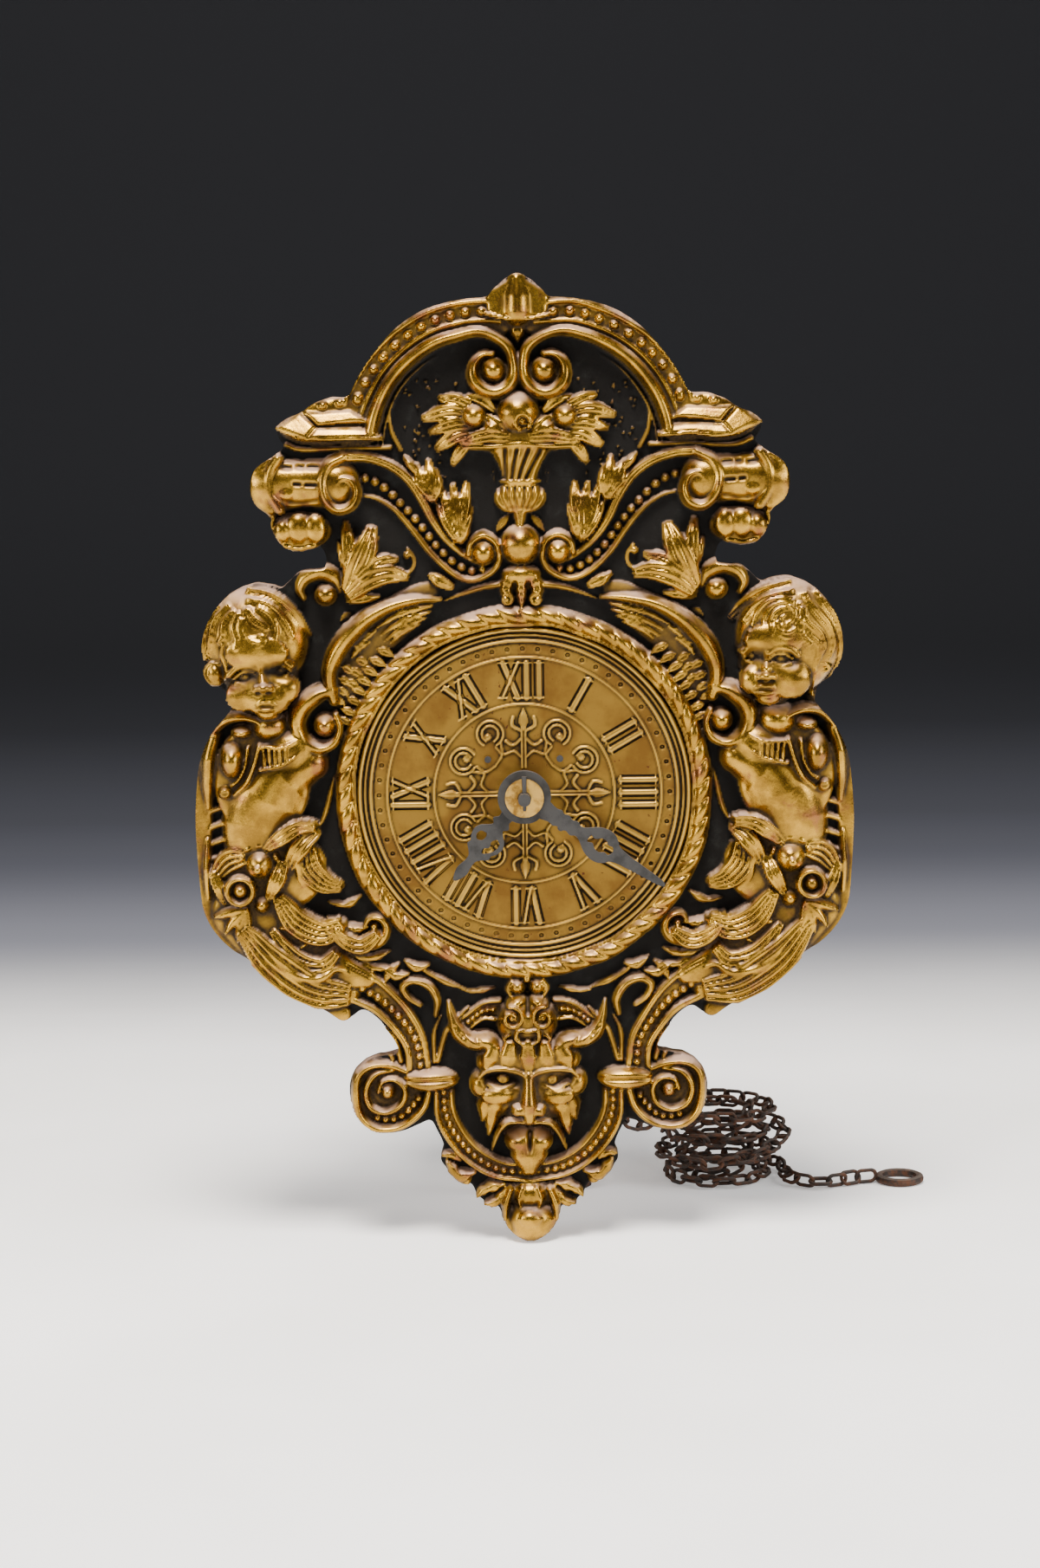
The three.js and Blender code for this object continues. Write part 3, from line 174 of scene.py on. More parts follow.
class Relief:
    """A field of heights in mm above a flat ground, shaped by a chaser's forms."""

    def __init__(self, left: float, right: float, bottom: float, top: float, pitch: float,
                 wobble: float = 0.0) -> None:
        """Lays out the grid.

        Args:
            left: Lowest X in mm.
            right: Highest X in mm.
            bottom: Lowest Z in mm.
            top: Highest Z in mm.
            pitch: Grid spacing in mm.
            wobble: How far the forms wander from their drawn places, as hand-cut dies do.
        """
        self.pitch = pitch
        self.x = np.arange(left, right + pitch / 2, pitch)
        self.z = np.arange(bottom, top + pitch / 2, pitch)
        self.height = np.zeros((len(self.z), len(self.x)))
        self.gilt = np.zeros_like(self.height)
        self.side = 1
        shape = self.height.shape
        self.shift_x = wobble * soft_noise(shape, 24, SEED)
        self.shift_z = wobble * soft_noise(shape, 24, SEED + 1)

    def window(self, low: Sequence[float],
               high: Sequence[float]) -> tuple[tuple[slice, slice], np.ndarray, np.ndarray]:
        """Finds the part of the grid between two corners.

        Args:
            low: Lowest X and Z.
            high: Highest X and Z.

        Returns:
            The slices of rows and columns, and the X and Z of each grid point in them.
        """
        cols = slice(*np.searchsorted(self.x, [low[0], high[0]]))
        rows = slice(*np.searchsorted(self.z, [low[1], high[1]]))
        view = (rows, cols)
        return view, self.x[cols][None, :] + self.shift_x[view], self.z[rows][:, None] + self.shift_z[view]

    def raise_to(self, view: tuple[slice, slice], form: np.ndarray, soft: float = 0.3, gilt: float = 1.0) -> None:
        """Lets a form stand out of what is there, with a soft fillet where they meet.

        Args:
            view: The slices that the form covers.
            form: Its heights, far below the ground outside it.
            soft: Size of the fillet.
            gilt: How much of the gilding is left on it.
        """
        here = self.height[view]
        near = np.clip(1 - np.abs(here - form) / soft, 0, 1)
        self.gilt[view] = np.where(form > here, np.maximum(self.gilt[view], gilt), self.gilt[view])
        self.height[view] = np.maximum(here, form) + near * near * soft / 4

    def dome(self, x: float, z: float, half_x: float, half_z: float, height: float, tilt: float = 0.0,
             base: float = 0.0, power: float = 0.5, soft: float = 0.3, gilt: float = 1.0) -> None:
        """Raises a rounded boss.

        Args:
            x: Centre, counted from the middle on either side.
            z: Centre.
            half_x: Half-width across.
            half_z: Half-width upwards.
            height: Rise above its base.
            tilt: Turn of its axes in degrees, counter-clockwise on the right.
            base: Height that it stands on.
            power: 0.5 is half a ball, 1 is a flat swelling.
            soft: Size of the fillet at its foot.
            gilt: How much of the gilding is left on it.
        """
        reach = max(half_x, half_z)
        x *= self.side
        angle = math.radians(tilt) * self.side
        view, gx, gz = self.window((x - reach - 1, z - reach - 1), (x + reach + 1, z + reach + 1))
        u = ((gx - x) * math.cos(angle) + (gz - z) * math.sin(angle)) / half_x
        v = ((gz - z) * math.cos(angle) - (gx - x) * math.sin(angle)) / half_z
        inside = 1 - u * u - v * v
        self.raise_to(view, np.where(inside > 0, base + height * np.maximum(inside, 0) ** power, BELOW), soft, gilt)

    def trace(self, points: Points, reach: float) -> tuple[tuple[slice, slice], np.ndarray, np.ndarray, np.ndarray]:
        """Measures the grid near a smooth line.

        Args:
            points: Points of the line, counted from the middle on either side.
            reach: How far from the line it measures.

        Returns:
            The slices, each point's distance from the line, its share of the line's length, and the side
            of the line that it lies on, -1 or 1.
        """
        path = catmull(points) * np.array([self.side, 1])
        view, gx, gz = self.window(path.min(axis=0) - reach, path.max(axis=0) + reach)
        distance = np.full(gx.shape, 99.0)
        share = np.zeros(gx.shape)
        hand = np.ones(gx.shape)
        steps = np.linalg.norm(np.diff(path, axis=0), axis=1)
        along = np.concatenate([[0], np.cumsum(steps)]) / max(steps.sum(), 1e-9)
        left, bottom = self.x[view[1]][0], self.z[view[0]][0]
        for i, (a, b) in enumerate(zip(path, path[1:])):
            low = (np.minimum(a, b) - reach - (left, bottom)) / self.pitch
            high = (np.maximum(a, b) + reach - (left, bottom)) / self.pitch + 2
            part = (slice(max(0, int(low[1])), int(high[1])), slice(max(0, int(low[0])), int(high[0])))
            dx, dz = gx[part] - a[0], gz[part] - a[1]
            t = np.clip((dx * (b - a)[0] + dz * (b - a)[1]) / max(steps[i] ** 2, 1e-9), 0, 1)
            ox, oz = dx - t * (b - a)[0], dz - t * (b - a)[1]
            d = np.hypot(ox, oz)
            near = d < distance[part]
            distance[part] = np.where(near, d, distance[part])
            share[part] = np.where(near, along[i] + t * (along[i + 1] - along[i]), share[part])
            turn = np.sign((b - a)[0] * oz - (b - a)[1] * ox) * self.side
            hand[part] = np.where(near, turn, hand[part])
        return view, distance, share, hand

    def level(self, points: Points) -> np.ndarray:
        """Reads the heights that are there.

        Args:
            points: Places, counted from the middle on either side.

        Returns:
            The height at each.
        """
        p = np.asarray(points, dtype=float)
        rows = np.clip(np.searchsorted(self.z, p[:, 1]), 0, len(self.z) - 1)
        return self.height[rows, np.clip(np.searchsorted(self.x, p[:, 0] * self.side), 0, len(self.x) - 1)]

    def lock(self, points: Points, width: float, strands: int, rise: float = 0.55) -> None:
        """Lays a lock of fine strands on what is there, narrow at both ends.

        Args:
            points: Points of its middle, counted from the middle on either side.
            width: Width across all the strands.
            strands: Number of strands.
            rise: Rise of each strand above what it lies on.
        """
        path = catmull(points, 0.8)
        along = np.gradient(path, axis=0)
        normal = np.column_stack([-along[:, 1], along[:, 0]]) / np.linalg.norm(along, axis=1)[:, None]
        share = np.linspace(0, 1, len(path))
        spread = np.sin(np.pi * (0.16 + 0.74 * share)) ** 0.7
        under = blurred(self.level(path)[None, :].repeat(3, axis=0), 1)[0]
        for offset in (np.arange(strands) + 0.5) / strands - 0.5:
            across = path + normal * (offset * width * spread)[:, None]
            self.ridge(across, 1.05 * width / strands * spread, rise + 0.5 - 0.25 * abs(offset), base=under - 0.5,
                       soft=0.12)

    def ridge(self, points: Points, width: Widths, height: Widths, base: Widths = 0.0, power: float = 0.5,
              soft: float = 0.3, gilt: float = 1.0, rope: float = 0.0) -> None:
        """Raises a rounded moulding along a line.

        Args:
            points: Points of its crest.
            width: Full width, or several along it.
            height: Rise above its base, or several along it.
            base: Height that it stands on, or several along it.
            power: 0.5 is a half round, 1 is a flat swelling, 0.25 is a square one.
            soft: Size of the fillet at its foot.
            gilt: How much of the gilding is left on it.
            rope: Number of slanting notches cut along it, as on a rope.
        """
        widths, heights = np.atleast_1d(width) / 2, np.atleast_1d(height)
        view, distance, share, hand = self.trace(points, widths.max() + 0.6)
        half = np.maximum(np.interp(share, np.linspace(0, 1, len(widths)), widths), 1e-3)
        rise = np.interp(share, np.linspace(0, 1, len(heights)), heights)
        bases = np.atleast_1d(base)
        foot = np.interp(share, np.linspace(0, 1, len(bases)), bases)
        u = distance / half
        form = rise * np.maximum(1 - u * u, 0) ** power
        if rope:
            twist = (share * rope + 0.45 * u * hand) % 1
            form *= 0.72 + 0.28 * np.sqrt(np.sin(np.pi * twist))
        self.raise_to(view, np.where(u < 1, foot + form, BELOW), soft, gilt)

    def leaf(self, points: Points, width: float, height: float, veins: int = 6, lobes: int = 0, base: float = 0.0,
             widest: float = 0.45, groove: float = 0.35) -> None:
        """Raises a pointed leaf with a sunk middle vein and slanting side veins.

        Args:
            points: Points of its middle vein, from the stalk to the tip.
            width: Greatest full width.
            height: Rise above its base.
            veins: Number of side veins.
            lobes: Number of lobes along each edge.
            base: Height that it stands on.
            widest: Share of its length at which it is widest.
            groove: Depth of the middle vein.
        """
        view, distance, share, _ = self.trace(points, width / 2 + 0.8)
        swell = np.interp(share, [0, widest * 0.5, widest, (1 + widest) / 2, 1], [0.35, 0.8, 1, 0.75, 0.08])
        if lobes:
            swell = swell * (0.72 + 0.28 * np.abs(np.sin(np.pi * (share * lobes - 0.15))))
        u = distance / (swell * width / 2)
        form = height * np.maximum(1 - u**2.4, 0) ** 0.55
        slant = share * veins - 0.7 * np.minimum(u, 1)
        form -= 0.16 * height * (0.5 + 0.5 * np.cos(2 * np.pi * slant)) * np.clip(u * 2, 0, 1)
        form -= groove * np.exp(-((distance / 0.3) ** 2)) * np.clip(4 * (1 - share), 0, 1)
        self.raise_to(view, np.where(u < 1, base + form, BELOW), 0.25)

    def spiral(self, x: float, z: float, radius: float, turns: float, start: float, width: float, height: float,
               ball: float) -> None:
        """Raises a volute: a moulding that winds in to a ball.

        Args:
            x: Centre.
            z: Centre.
            radius: Radius of its crest at the start.
            turns: Number of turns.
            start: Angle of its start in degrees from +X, counter-clockwise.
            width: Width of the moulding at the start; it narrows inwards.
            height: Rise of the moulding.
            ball: Radius of the ball in its middle.
        """
        steps = np.linspace(0, 1, int(turns * 20))
        angle = math.radians(start) + steps * turns * 2 * math.pi
        away = radius * (1 - 0.74 * steps)
        path = list(zip(x + away * np.cos(angle), z + away * np.sin(angle)))
        self.ridge(path, [width, width, width * 0.55], height)
        self.dome(x, z, ball, ball, height * 1.05)

    def beads(self, points: Points, count: int, radius: float, height: float, base: float = 0.0) -> None:
        """Sets a row of round beads at even steps along a line.

        Args:
            points: Points of the line.
            count: Number of beads.
            radius: Radius of each bead.
            height: Rise of each bead above its base.
            base: Height that they stand on.
        """
        path = catmull(points, 0.2)
        steps = np.concatenate([[0], np.cumsum(np.linalg.norm(np.diff(path, axis=0), axis=1))])
        for place in np.linspace(0, steps[-1], count):
            self.dome(np.interp(place, steps, path[:, 0]), np.interp(place, steps, path[:, 1]), radius, radius,
                      height, base=base, soft=0.15)

    def cut(self, points: Points, width: float, depth: Widths, tarnish: float = 0.0) -> None:
        """Engraves a line and takes a share of the gilding off its bed, which paints shade into the groove together
        with tarnish.

        Args:
            points: Points of the line, counted from the middle on either side.
            width: Width of the cut.
            depth: Its depth, or several along it.
            tarnish: Share of the gilding that it takes off, which darkens the bed as painted shade together with
                tarnish.
        """
        depths = np.atleast_1d(depth)
        view, distance, share, _ = self.trace(points, width * 1.5)
        here = np.interp(share, np.linspace(0, 1, len(depths)), depths)
        bed = np.exp(-((distance * 2 / width) ** 2))
        self.height[view] -= here * bed
        self.gilt[view] *= 1 - tarnish * bed

    def facet(self, corners: Points, heights: Sequence[float]) -> None:
        """Raises a flat four-cornered face.

        Args:
            corners: Its corners in order, counted from the middle on either side.
            heights: Height of each corner.
        """
        c = np.array(corners) * (self.side, 1)
        view, gx, gz = self.window(c.min(axis=0) - 1, c.max(axis=0) + 1)
        inside = np.full(gx.shape, 9.0)
        turn = np.sign((c[1] - c[0])[0] * (c[2] - c[1])[1] - (c[1] - c[0])[1] * (c[2] - c[1])[0])
        for a, b in zip(c, np.roll(c, -1, axis=0)):
            away = ((b - a)[0] * (gz - a[1]) - (b - a)[1] * (gx - a[0])) * turn / np.linalg.norm(b - a)
            inside = np.minimum(inside, away)
        matrix = np.column_stack([c, np.ones(len(c))])
        slope = np.linalg.lstsq(matrix, np.array(heights), rcond=None)[0]
        level = slope[0] * gx + slope[1] * gz + slope[2]
        self.raise_to(view, np.where(inside > 0, level - np.maximum(0.5 - inside, 0) * 1.2, BELOW), 0.2)


def linear(colour: str) -> tuple[float, float, float, float]:
    """Turns an sRGB colour into linear light.

    Args:
        colour: The colour as hex text such as "#a8752a".

    Returns:
        Red, green, blue and an opacity of 1.
    """
    parts = [int(colour[i:i + 2], 16) / 255 for i in (1, 3, 5)]
    return (*[c / 12.92 if c <= 0.04045 else ((c + 0.055) / 1.055) ** 2.4 for c in parts], 1.0)


def add_node(tree: bpy.types.NodeTree, kind: str, settings: dict | None = None,
             inputs: dict | None = None) -> bpy.types.Node:
    """Adds a shader node.

    Args:
        tree: The material's node tree.
        kind: The node's type name.
        settings: Its properties.
        inputs: Its inputs by name or number, each a value or another node's output.

    Returns:
        The new node.
    """
    made = tree.nodes.new(kind)
    for name, value in (settings or {}).items():
        setattr(made, name, value)
    for name, value in (inputs or {}).items():
        if isinstance(value, bpy.types.NodeSocket):
            tree.links.new(value, made.inputs[name])
        else:
            made.inputs[name].default_value = value
    return made


class Shader:
    """A material's nodes, with short ways to build the sums and mixtures that finishes are made of."""

    def __init__(self, name: str) -> None:
        """Starts a material with only its surface shader.

        Args:
            name: The material's name.
        """
        self.material = bpy.data.materials.new(name)
        self.material.use_nodes = True
        self.tree = self.material.node_tree
        self.surface = self.tree.nodes["Principled BSDF"]
        self.place = add_node(self.tree, "ShaderNodeTexCoord").outputs["Object"]

    def noise(self, size_mm: float, detail: float = 3.0, roughness: float = 0.55) -> bpy.types.NodeSocket:
        """Makes noise.

        Args:
            size_mm: Width of its blots.
            detail: How many finer layers it has.
            roughness: Strength of the finer layers.

        Returns:
            The noise, between 0 and 1.
        """
        return add_node(self.tree, "ShaderNodeTexNoise", None, {
            "Vector": self.place, "Scale": 1 / (size_mm * MM), "Detail": detail,
            "Roughness": roughness}).outputs["Fac"]

    def ramp(self, value: bpy.types.NodeSocket, low: float, high: float) -> bpy.types.NodeSocket:
        """Stretches a value so that low becomes 0 and high becomes 1, and clips it."""
        return add_node(self.tree, "ShaderNodeMapRange", {"interpolation_type": "SMOOTHSTEP"}, {
            "Value": value, "From Min": low, "From Max": high}).outputs["Result"]

    def math(self, operation: str, first: object, second: object) -> bpy.types.NodeSocket:
        """Joins two values, held between 0 and 1."""
        return add_node(self.tree, "ShaderNodeMath", {"operation": operation, "use_clamp": True},
                        {0: first, 1: second}).outputs[0]

    def mix(self, share: object, first: object, second: object) -> bpy.types.NodeSocket:
        """Mixes two colours.

        Args:
            share: How much of the second it takes, a number or a socket.
            first: A colour as hex text or a socket.
            second: Another one.

        Returns:
            The mixed colour.
        """
        first, second = (linear(c) if isinstance(c, str) else c for c in (first, second))
        return add_node(self.tree, "ShaderNodeMix", {"data_type": "RGBA"}, {
            0: share, 6: first, 7: second}).outputs[2]

    def measure(self, name: str) -> bpy.types.NodeSocket:
        """Reads a value that was stored with the mesh's points."""
        return add_node(self.tree, "ShaderNodeAttribute", {"attribute_name": name}).outputs["Fac"]

    def upward(self) -> bpy.types.NodeSocket:
        """Says how far a surface faces up, where dust settles and where the gilt brass also takes a painted highlight
        from above.
        """
        normal = add_node(self.tree, "ShaderNodeNewGeometry").outputs["Normal"]
        return add_node(self.tree, "ShaderNodeSeparateXYZ", None, {0: normal}).outputs["Z"]

    def bump(self, height: bpy.types.NodeSocket, depth_mm: float) -> bpy.types.NodeSocket:
        """Turns a height into a bump of the given depth."""
        return add_node(self.tree, "ShaderNodeBump", None, {
            "Height": height, "Strength": 0.8, "Distance": depth_mm * MM}).outputs["Normal"]

    def finish(self, **inputs: object) -> bpy.types.Material:
        """Sets the surface's inputs.

        Args:
            inputs: Values, sockets or hex colours by the inputs' names, with underscores for spaces.

        Returns:
            The finished material.
        """
        for name, value in inputs.items():
            socket = self.surface.inputs[name.replace("_", " ")]
            if isinstance(value, bpy.types.NodeSocket):
                self.tree.links.new(value, socket)
            else:
                socket.default_value = linear(value) if isinstance(value, str) else value
        return self.material


@dataclass(frozen=True)
class GiltBrass:
    """Pressed brass sheet, fire-gilded over a brown tarnish and blackened in its pockets.

    The eye gets bright yellow gold on what stands out, copper-brown in the folds and matt near-black ground; the folds
    are darkened further by painted shade, and upward faces take a painted highlight mixed with dust.
    """

    gold: str = "#af862d"
    old_gold: str = "#7c5c20"
    copper: str = "#7e512f"
    # the fold colour is painted shade for the hollows, laid over the brown tarnish there
    fold: str = "#24180a"
    ground: str = "#060402"
    verdigris: str = "#191a18"
    # dust_and_sheen: dust on upward faces mixed with a painted highlight from the light above
    dust_and_sheen: str = "#c3a28e"
    blot_mm: float = 5.0
    grain_mm: float = 0.5
    copper_mm: float = 6.0
    verdigris_mm: float = 3.0
    dust_and_sheen_mm: float = 9.0
    pit_mm: float = 0.8
    scratch_mm: float = 0.6
    dust_and_sheen_strength: float = 0.7
    dull: float = 0.86
    polish: float = 0.6
    glint: float = 0.25
    pit_depth_mm: float = 0.045

    def material(self) -> bpy.types.Material:
        """Builds the material, which reads the relief's wear_and_shade, gilt and lift values.

        Returns:
            The material.
        """
        s = Shader("gilt_brass")
        wear_and_shade, gilt, lift = s.measure("wear_and_shade"), s.measure("gilt"), s.measure("lift")
        blots, grain = s.noise(self.blot_mm), s.noise(self.grain_mm, 4)
        # shade runs to 0 in the hollows, where the fold colour paints their shade together with the tarnish there
        shade = s.math("ADD", s.ramp(wear_and_shade, 0.3, 0.6), s.math("MULTIPLY", s.ramp(grain, 0.35, 0.75), 0.15))
        bright = s.mix(s.ramp(blots, 0.35, 0.65), self.gold, self.old_gold)
        warm = s.mix(s.ramp(s.noise(self.copper_mm, 4, 0.6), 0.54, 0.72), bright, self.copper)
        metal = s.mix(shade, self.fold, warm)
        green = s.math("MULTIPLY", s.ramp(s.noise(self.verdigris_mm, 6, 0.7), 0.52, 0.72), 0.8)
        pocket = s.mix(green, self.ground, self.verdigris)
        gilded = s.math("MULTIPLY", gilt, s.ramp(s.math("ADD", lift, s.math("MULTIPLY", grain, 0.25)), 0.2, 0.36))
        both = s.mix(gilded, pocket, metal)
        # upward faces take the dust_and_sheen colour in patches: dust together with a painted highlight from above
        patches = s.ramp(s.noise(self.dust_and_sheen_mm, 4, 0.6), 0.34, 0.6)
        dust_and_sheen_share = s.math("MULTIPLY", s.math("MULTIPLY", s.ramp(s.upward(), 0.42, 0.95), patches), self.dust_and_sheen_strength)
        colour = s.mix(dust_and_sheen_share, both, self.dust_and_sheen)
        clean = s.math("SUBTRACT", 1.0, dust_and_sheen_share)
        shine = s.math("MULTIPLY", s.math("MULTIPLY", gilded, s.ramp(wear_and_shade, 0.2, 0.5)), clean)
        rough = s.math("SUBTRACT", self.dull, s.math("MULTIPLY", shine, self.polish))
        rough = s.math("ADD", rough, s.math("MULTIPLY", s.ramp(grain, 0.5, 0.8), 0.12))
        pits = s.mix(gilded, s.noise(self.pit_mm, 8, 0.75), s.noise(self.scratch_mm, 3))
        return s.finish(Base_Color=colour, Metallic=s.math("MULTIPLY", shine, 0.96), Roughness=rough,
                        Specular_IOR_Level=self.glint, Normal=s.bump(pits, self.pit_depth_mm))


@dataclass(frozen=True)
class DialBrass:
    """Pressed brass, lacquered once and now ochre and spotted.

    The eye gets a matt yellow-brown plate with dark engraved edges and small brown spots; the dark of the hollows and
    engraved lines is painted shade, and the paler raised edges are a painted highlight.
    """

    plate: str = "#7f6124"
    deep: str = "#67491a"
    # edge: painted highlight on what stands out
    edge: str = "#ae8a3a"
    # dark: painted shade in the hollows and engraved lines
    dark: str = "#1f170a"
    spot: str = "#4e2a16"
    blot_mm: float = 9.0
    spot_mm: float = 1.3
    cluster_mm: float = 11.0
    speck_mm: float = 0.4
    grain_mm: float = 0.5
    metallic: float = 0.88
    dull: float = 0.56
    polish: float = 0.25
    grain_depth_mm: float = 0.05

    def material(self) -> bpy.types.Material:
        """Builds the material, which reads the dial's wear_and_shade value.

        Returns:
            The material.
        """
        s = Shader("dial_brass")
        wear_and_shade = s.measure("wear_and_shade")
        base = s.mix(s.ramp(s.noise(self.blot_mm, 4), 0.38, 0.62), self.plate, self.deep)
        spots = s.math("MULTIPLY", s.ramp(s.noise(self.spot_mm, 2), 0.66, 0.72),
                       s.ramp(s.noise(self.cluster_mm, 2), 0.42, 0.6))
        specks = s.ramp(s.noise(self.speck_mm, 2), 0.66, 0.74)
        tone = s.mix(s.math("ADD", spots, s.math("MULTIPLY", specks, 0.35)), base, self.spot)
        # painted highlight on what stands out, then painted shade in the hollows, both from wear_and_shade
        lit = s.mix(s.ramp(wear_and_shade, 0.58, 0.8), tone, self.edge)
        colour = s.mix(s.ramp(wear_and_shade, 0.48, 0.36), lit, self.dark)
        rough = s.math("SUBTRACT", self.dull, s.math("MULTIPLY", s.ramp(wear_and_shade, 0.55, 0.75), self.polish))
        return s.finish(Base_Color=colour, Metallic=self.metallic, Roughness=rough,
                        Normal=s.bump(s.noise(self.grain_mm, 5, 0.7), self.grain_depth_mm))


@dataclass(frozen=True)
class Metal:
    """A plain metal part, turned, filed or drawn, with tarnish that follows broad blots."""

    name: str
    clean: str
    tarnish: str
    roughness: float
    metallic: float = 1.0
    blot_mm: float = 3.0
    marks_mm: float = 0.4
    dust_and_sheen: str = "#9a8f86"
    dust_and_sheen_strength: float = 0.3
    mark_depth_mm: float = 0.04

    def material(self) -> bpy.types.Material:
        """Builds the material.

        Returns:
            The material.
        """
        s = Shader(self.name)
        blots, marks = s.noise(self.blot_mm, 5, 0.6), s.noise(self.marks_mm, 4)
        metal = s.mix(s.ramp(blots, 0.42, 0.64), self.clean, self.tarnish)
        dust_and_sheen_share = s.math("MULTIPLY", s.ramp(s.upward(), 0.4, 0.95), self.dust_and_sheen_strength)
        colour = s.mix(dust_and_sheen_share, metal, self.dust_and_sheen)
        rough = s.math("ADD", self.roughness, s.math("MULTIPLY", s.ramp(blots, 0.4, 0.7), 0.2))
        return s.finish(Base_Color=colour, Metallic=self.metallic, Roughness=rough,
                        Normal=s.bump(marks, self.mark_depth_mm))


@dataclass(frozen=True)
class PlanedWood:
    """Planed softwood or beech, stained and darkened by age: fine long grain with darker rings."""

    name: str
    light: str
    dark: str
    ring_mm: float
    pore_mm: float
    stretch: float = 0.08
    band: float = 0.09
    roughness: float = 0.62
    pore_depth_mm: float = 0.08

    def material(self) -> bpy.types.Material:
        """Builds the material, with its grain running upwards.

        Returns:
            The material.
        """
        s = Shader(self.name)
        stretched = add_node(s.tree, "ShaderNodeMapping", None, {"Vector": s.place, "Scale": (1, 1, self.stretch)})
        s.place = stretched.outputs["Vector"]
        rings, pores = s.noise(self.ring_mm, 3, 0.5), s.noise(self.pore_mm, 5, 0.6)
        bands = add_node(s.tree, "ShaderNodeMath", {"operation": "PINGPONG"}, {
            0: s.math("MULTIPLY", rings, 1.0), 1: self.band}).outputs[0]
        tone = s.mix(s.math("MULTIPLY", s.ramp(bands, 0.02, 0.08), 0.45), self.light, self.dark)
        colour = s.mix(s.math("MULTIPLY", s.ramp(pores, 0.55, 0.8), 0.4), tone, self.dark)
        return s.finish(Base_Color=colour, Roughness=self.roughness, Normal=s.bump(pores, self.pore_depth_mm))


# turned wheels and knobs: warm and dull; hands and arbors: grey under dust; drawn wire: near black with rust
TURNED_BRASS = Metal("turned_brass", "#c09a4f", "#7d5a26", 0.34)
GREY_STEEL = Metal("grey_steel", "#353433", "#262524", 0.55, metallic=0.45, blot_mm=4.0, dust_and_sheen_strength=0.18)
RUSTY_IRON = Metal("rusty_iron", "#2e2622", "#5a3a28", 0.62, metallic=0.55, blot_mm=1.6)
BEECH = PlanedWood("planed_beech", "#a0744a", "#6d472a", 6.0, 0.5)
SPRUCE = PlanedWood("planed_spruce", "#8a5e38", "#4d2f1b", 4.0, 0.6)


def arc(x: float, z: float, radius: float, start: float, end: float, steps: int = 12) -> list[Point]:
    """Gives points of a round line between two angles in degrees, counter-clockwise from +X."""
    turn = [math.radians(start + (end - start) * i / steps) for i in range(steps + 1)]
    return [(x + radius * math.cos(a), z + radius * math.sin(a)) for a in turn]


@dataclass(frozen=True)
class Head:
    """A cherub's head in mm, counted from the middle of the front outwards.

    Each swelling gives its centre, half-widths, rise, base, tilt, power and fillet; each eye its middle,
    half-width and lean; each lock its line, width and number of strands.
    """

    swellings: Sequence[Sequence[float]]
    eyes: Sequence[Sequence[float]]
    nose: Points
    mouth: Point
    locks: Sequence[tuple[Points, float, int]]


AHEAD = Head(
    swellings=(
        (50.8, 29.6, 10.3, 11.2, 8.4, 0.0, 0, 0.42, 0.3), (47.7, 25.0, 6.5, 8.3, 9.0, 0.0, 4, 0.42, 0.5),
        (47.4, 29.4, 5.6, 3.4, 1.2, 8.2, 0, 0.9, 1.5), (50.6, 21.9, 3.9, 3.7, 1.9, 7.6, 20, 0.8, 1.4),
        (43.4, 22.0, 2.3, 2.9, 1.7, 6.9, -10, 0.8, 1.2), (45.8, 20.6, 3.0, 2.4, 1.5, 8.0, 0, 0.9, 1.0),
        (46.4, 18.4, 2.3, 1.5, 2.1, 6.4, 0, 0.7, 0.9)),
    eyes=((43.5, 26.4, 1.5, -0.15), (48.7, 26.0, 1.9, 0.15)),
    nose=((46.0, 27.2), (46.0, 25.6), (45.9, 24.2), (45.8, 22.9)),
    mouth=(45.6, 20.5),
    locks=(
        ([(51, 39.8), (46.6, 38.2), (42.8, 35.8), (39.6, 33.0)], 3.4, 3), ([(51.4, 38.2), (47.6, 37.2), (44.6, 35.4),
         (41.8, 32.4)], 2.6, 3), ([(50.6, 36.9), (47.2, 36.5), (44.8, 34.5), (43.5, 32.0)], 1.9, 2),
        ([(51.4, 36.3), (48.2, 35.9), (46.1, 33.8), (45.4, 31.0)], 1.7, 2),
        ([(50.6, 35.5), (48.4, 35.0), (47.1, 33.2), (47.3, 30.8)], 1.5, 2),
        ([(52.4, 36.2), (52.9, 33.6), (51.8, 31.3), (49.8, 30.6), (48.1, 31.6), (48.2, 33.2)], 1.7, 2),
        ([(50.4, 36.0), (51.5, 34.9), (51.0, 33.1), (49.5, 32.6), (48.8, 33.6), (49.6, 34.2)], 1.0, 1),
        ([(55.2, 38.4), (57.0, 35.4), (59.0, 32.6), (60.0, 29.0), (59.8, 25.2), (58.4, 22.2)], 2.6, 3),
        ([(53.2, 38.2), (54.1, 35.8), (55.5, 33.8), (57.5, 31.6), (58.5, 28.8), (58.0, 25.9)], 2.8, 3),
        ([(52.9, 35.4), (53.3, 33.0), (54.7, 31.5), (56.3, 30.0), (56.8, 27.8), (55.9, 25.8)], 2.0, 3),
        ([(52.7, 33.6), (52.2, 31.5), (53.1, 29.5), (54.7, 28.5)], 1.9, 3),
        ([(54.0, 31.2), (54.5, 29.8), (56.0, 28.6), (56.3, 26.8), (55.5, 24.8), (55.3, 23.6)], 1.3, 2),
        ([(55.7, 24.6), (57.2, 24.7), (58.3, 23.9), (57.6, 23.2), (56.2, 23.5)], 0.9, 1),
        ([(59.2, 23.6), (58.0, 21.6), (56.4, 19.9), (54.8, 18.7)], 2.0, 2),
        ([(55.2, 22.8), (54.7, 20.6), (54.9, 18.4)], 1.5, 2)))
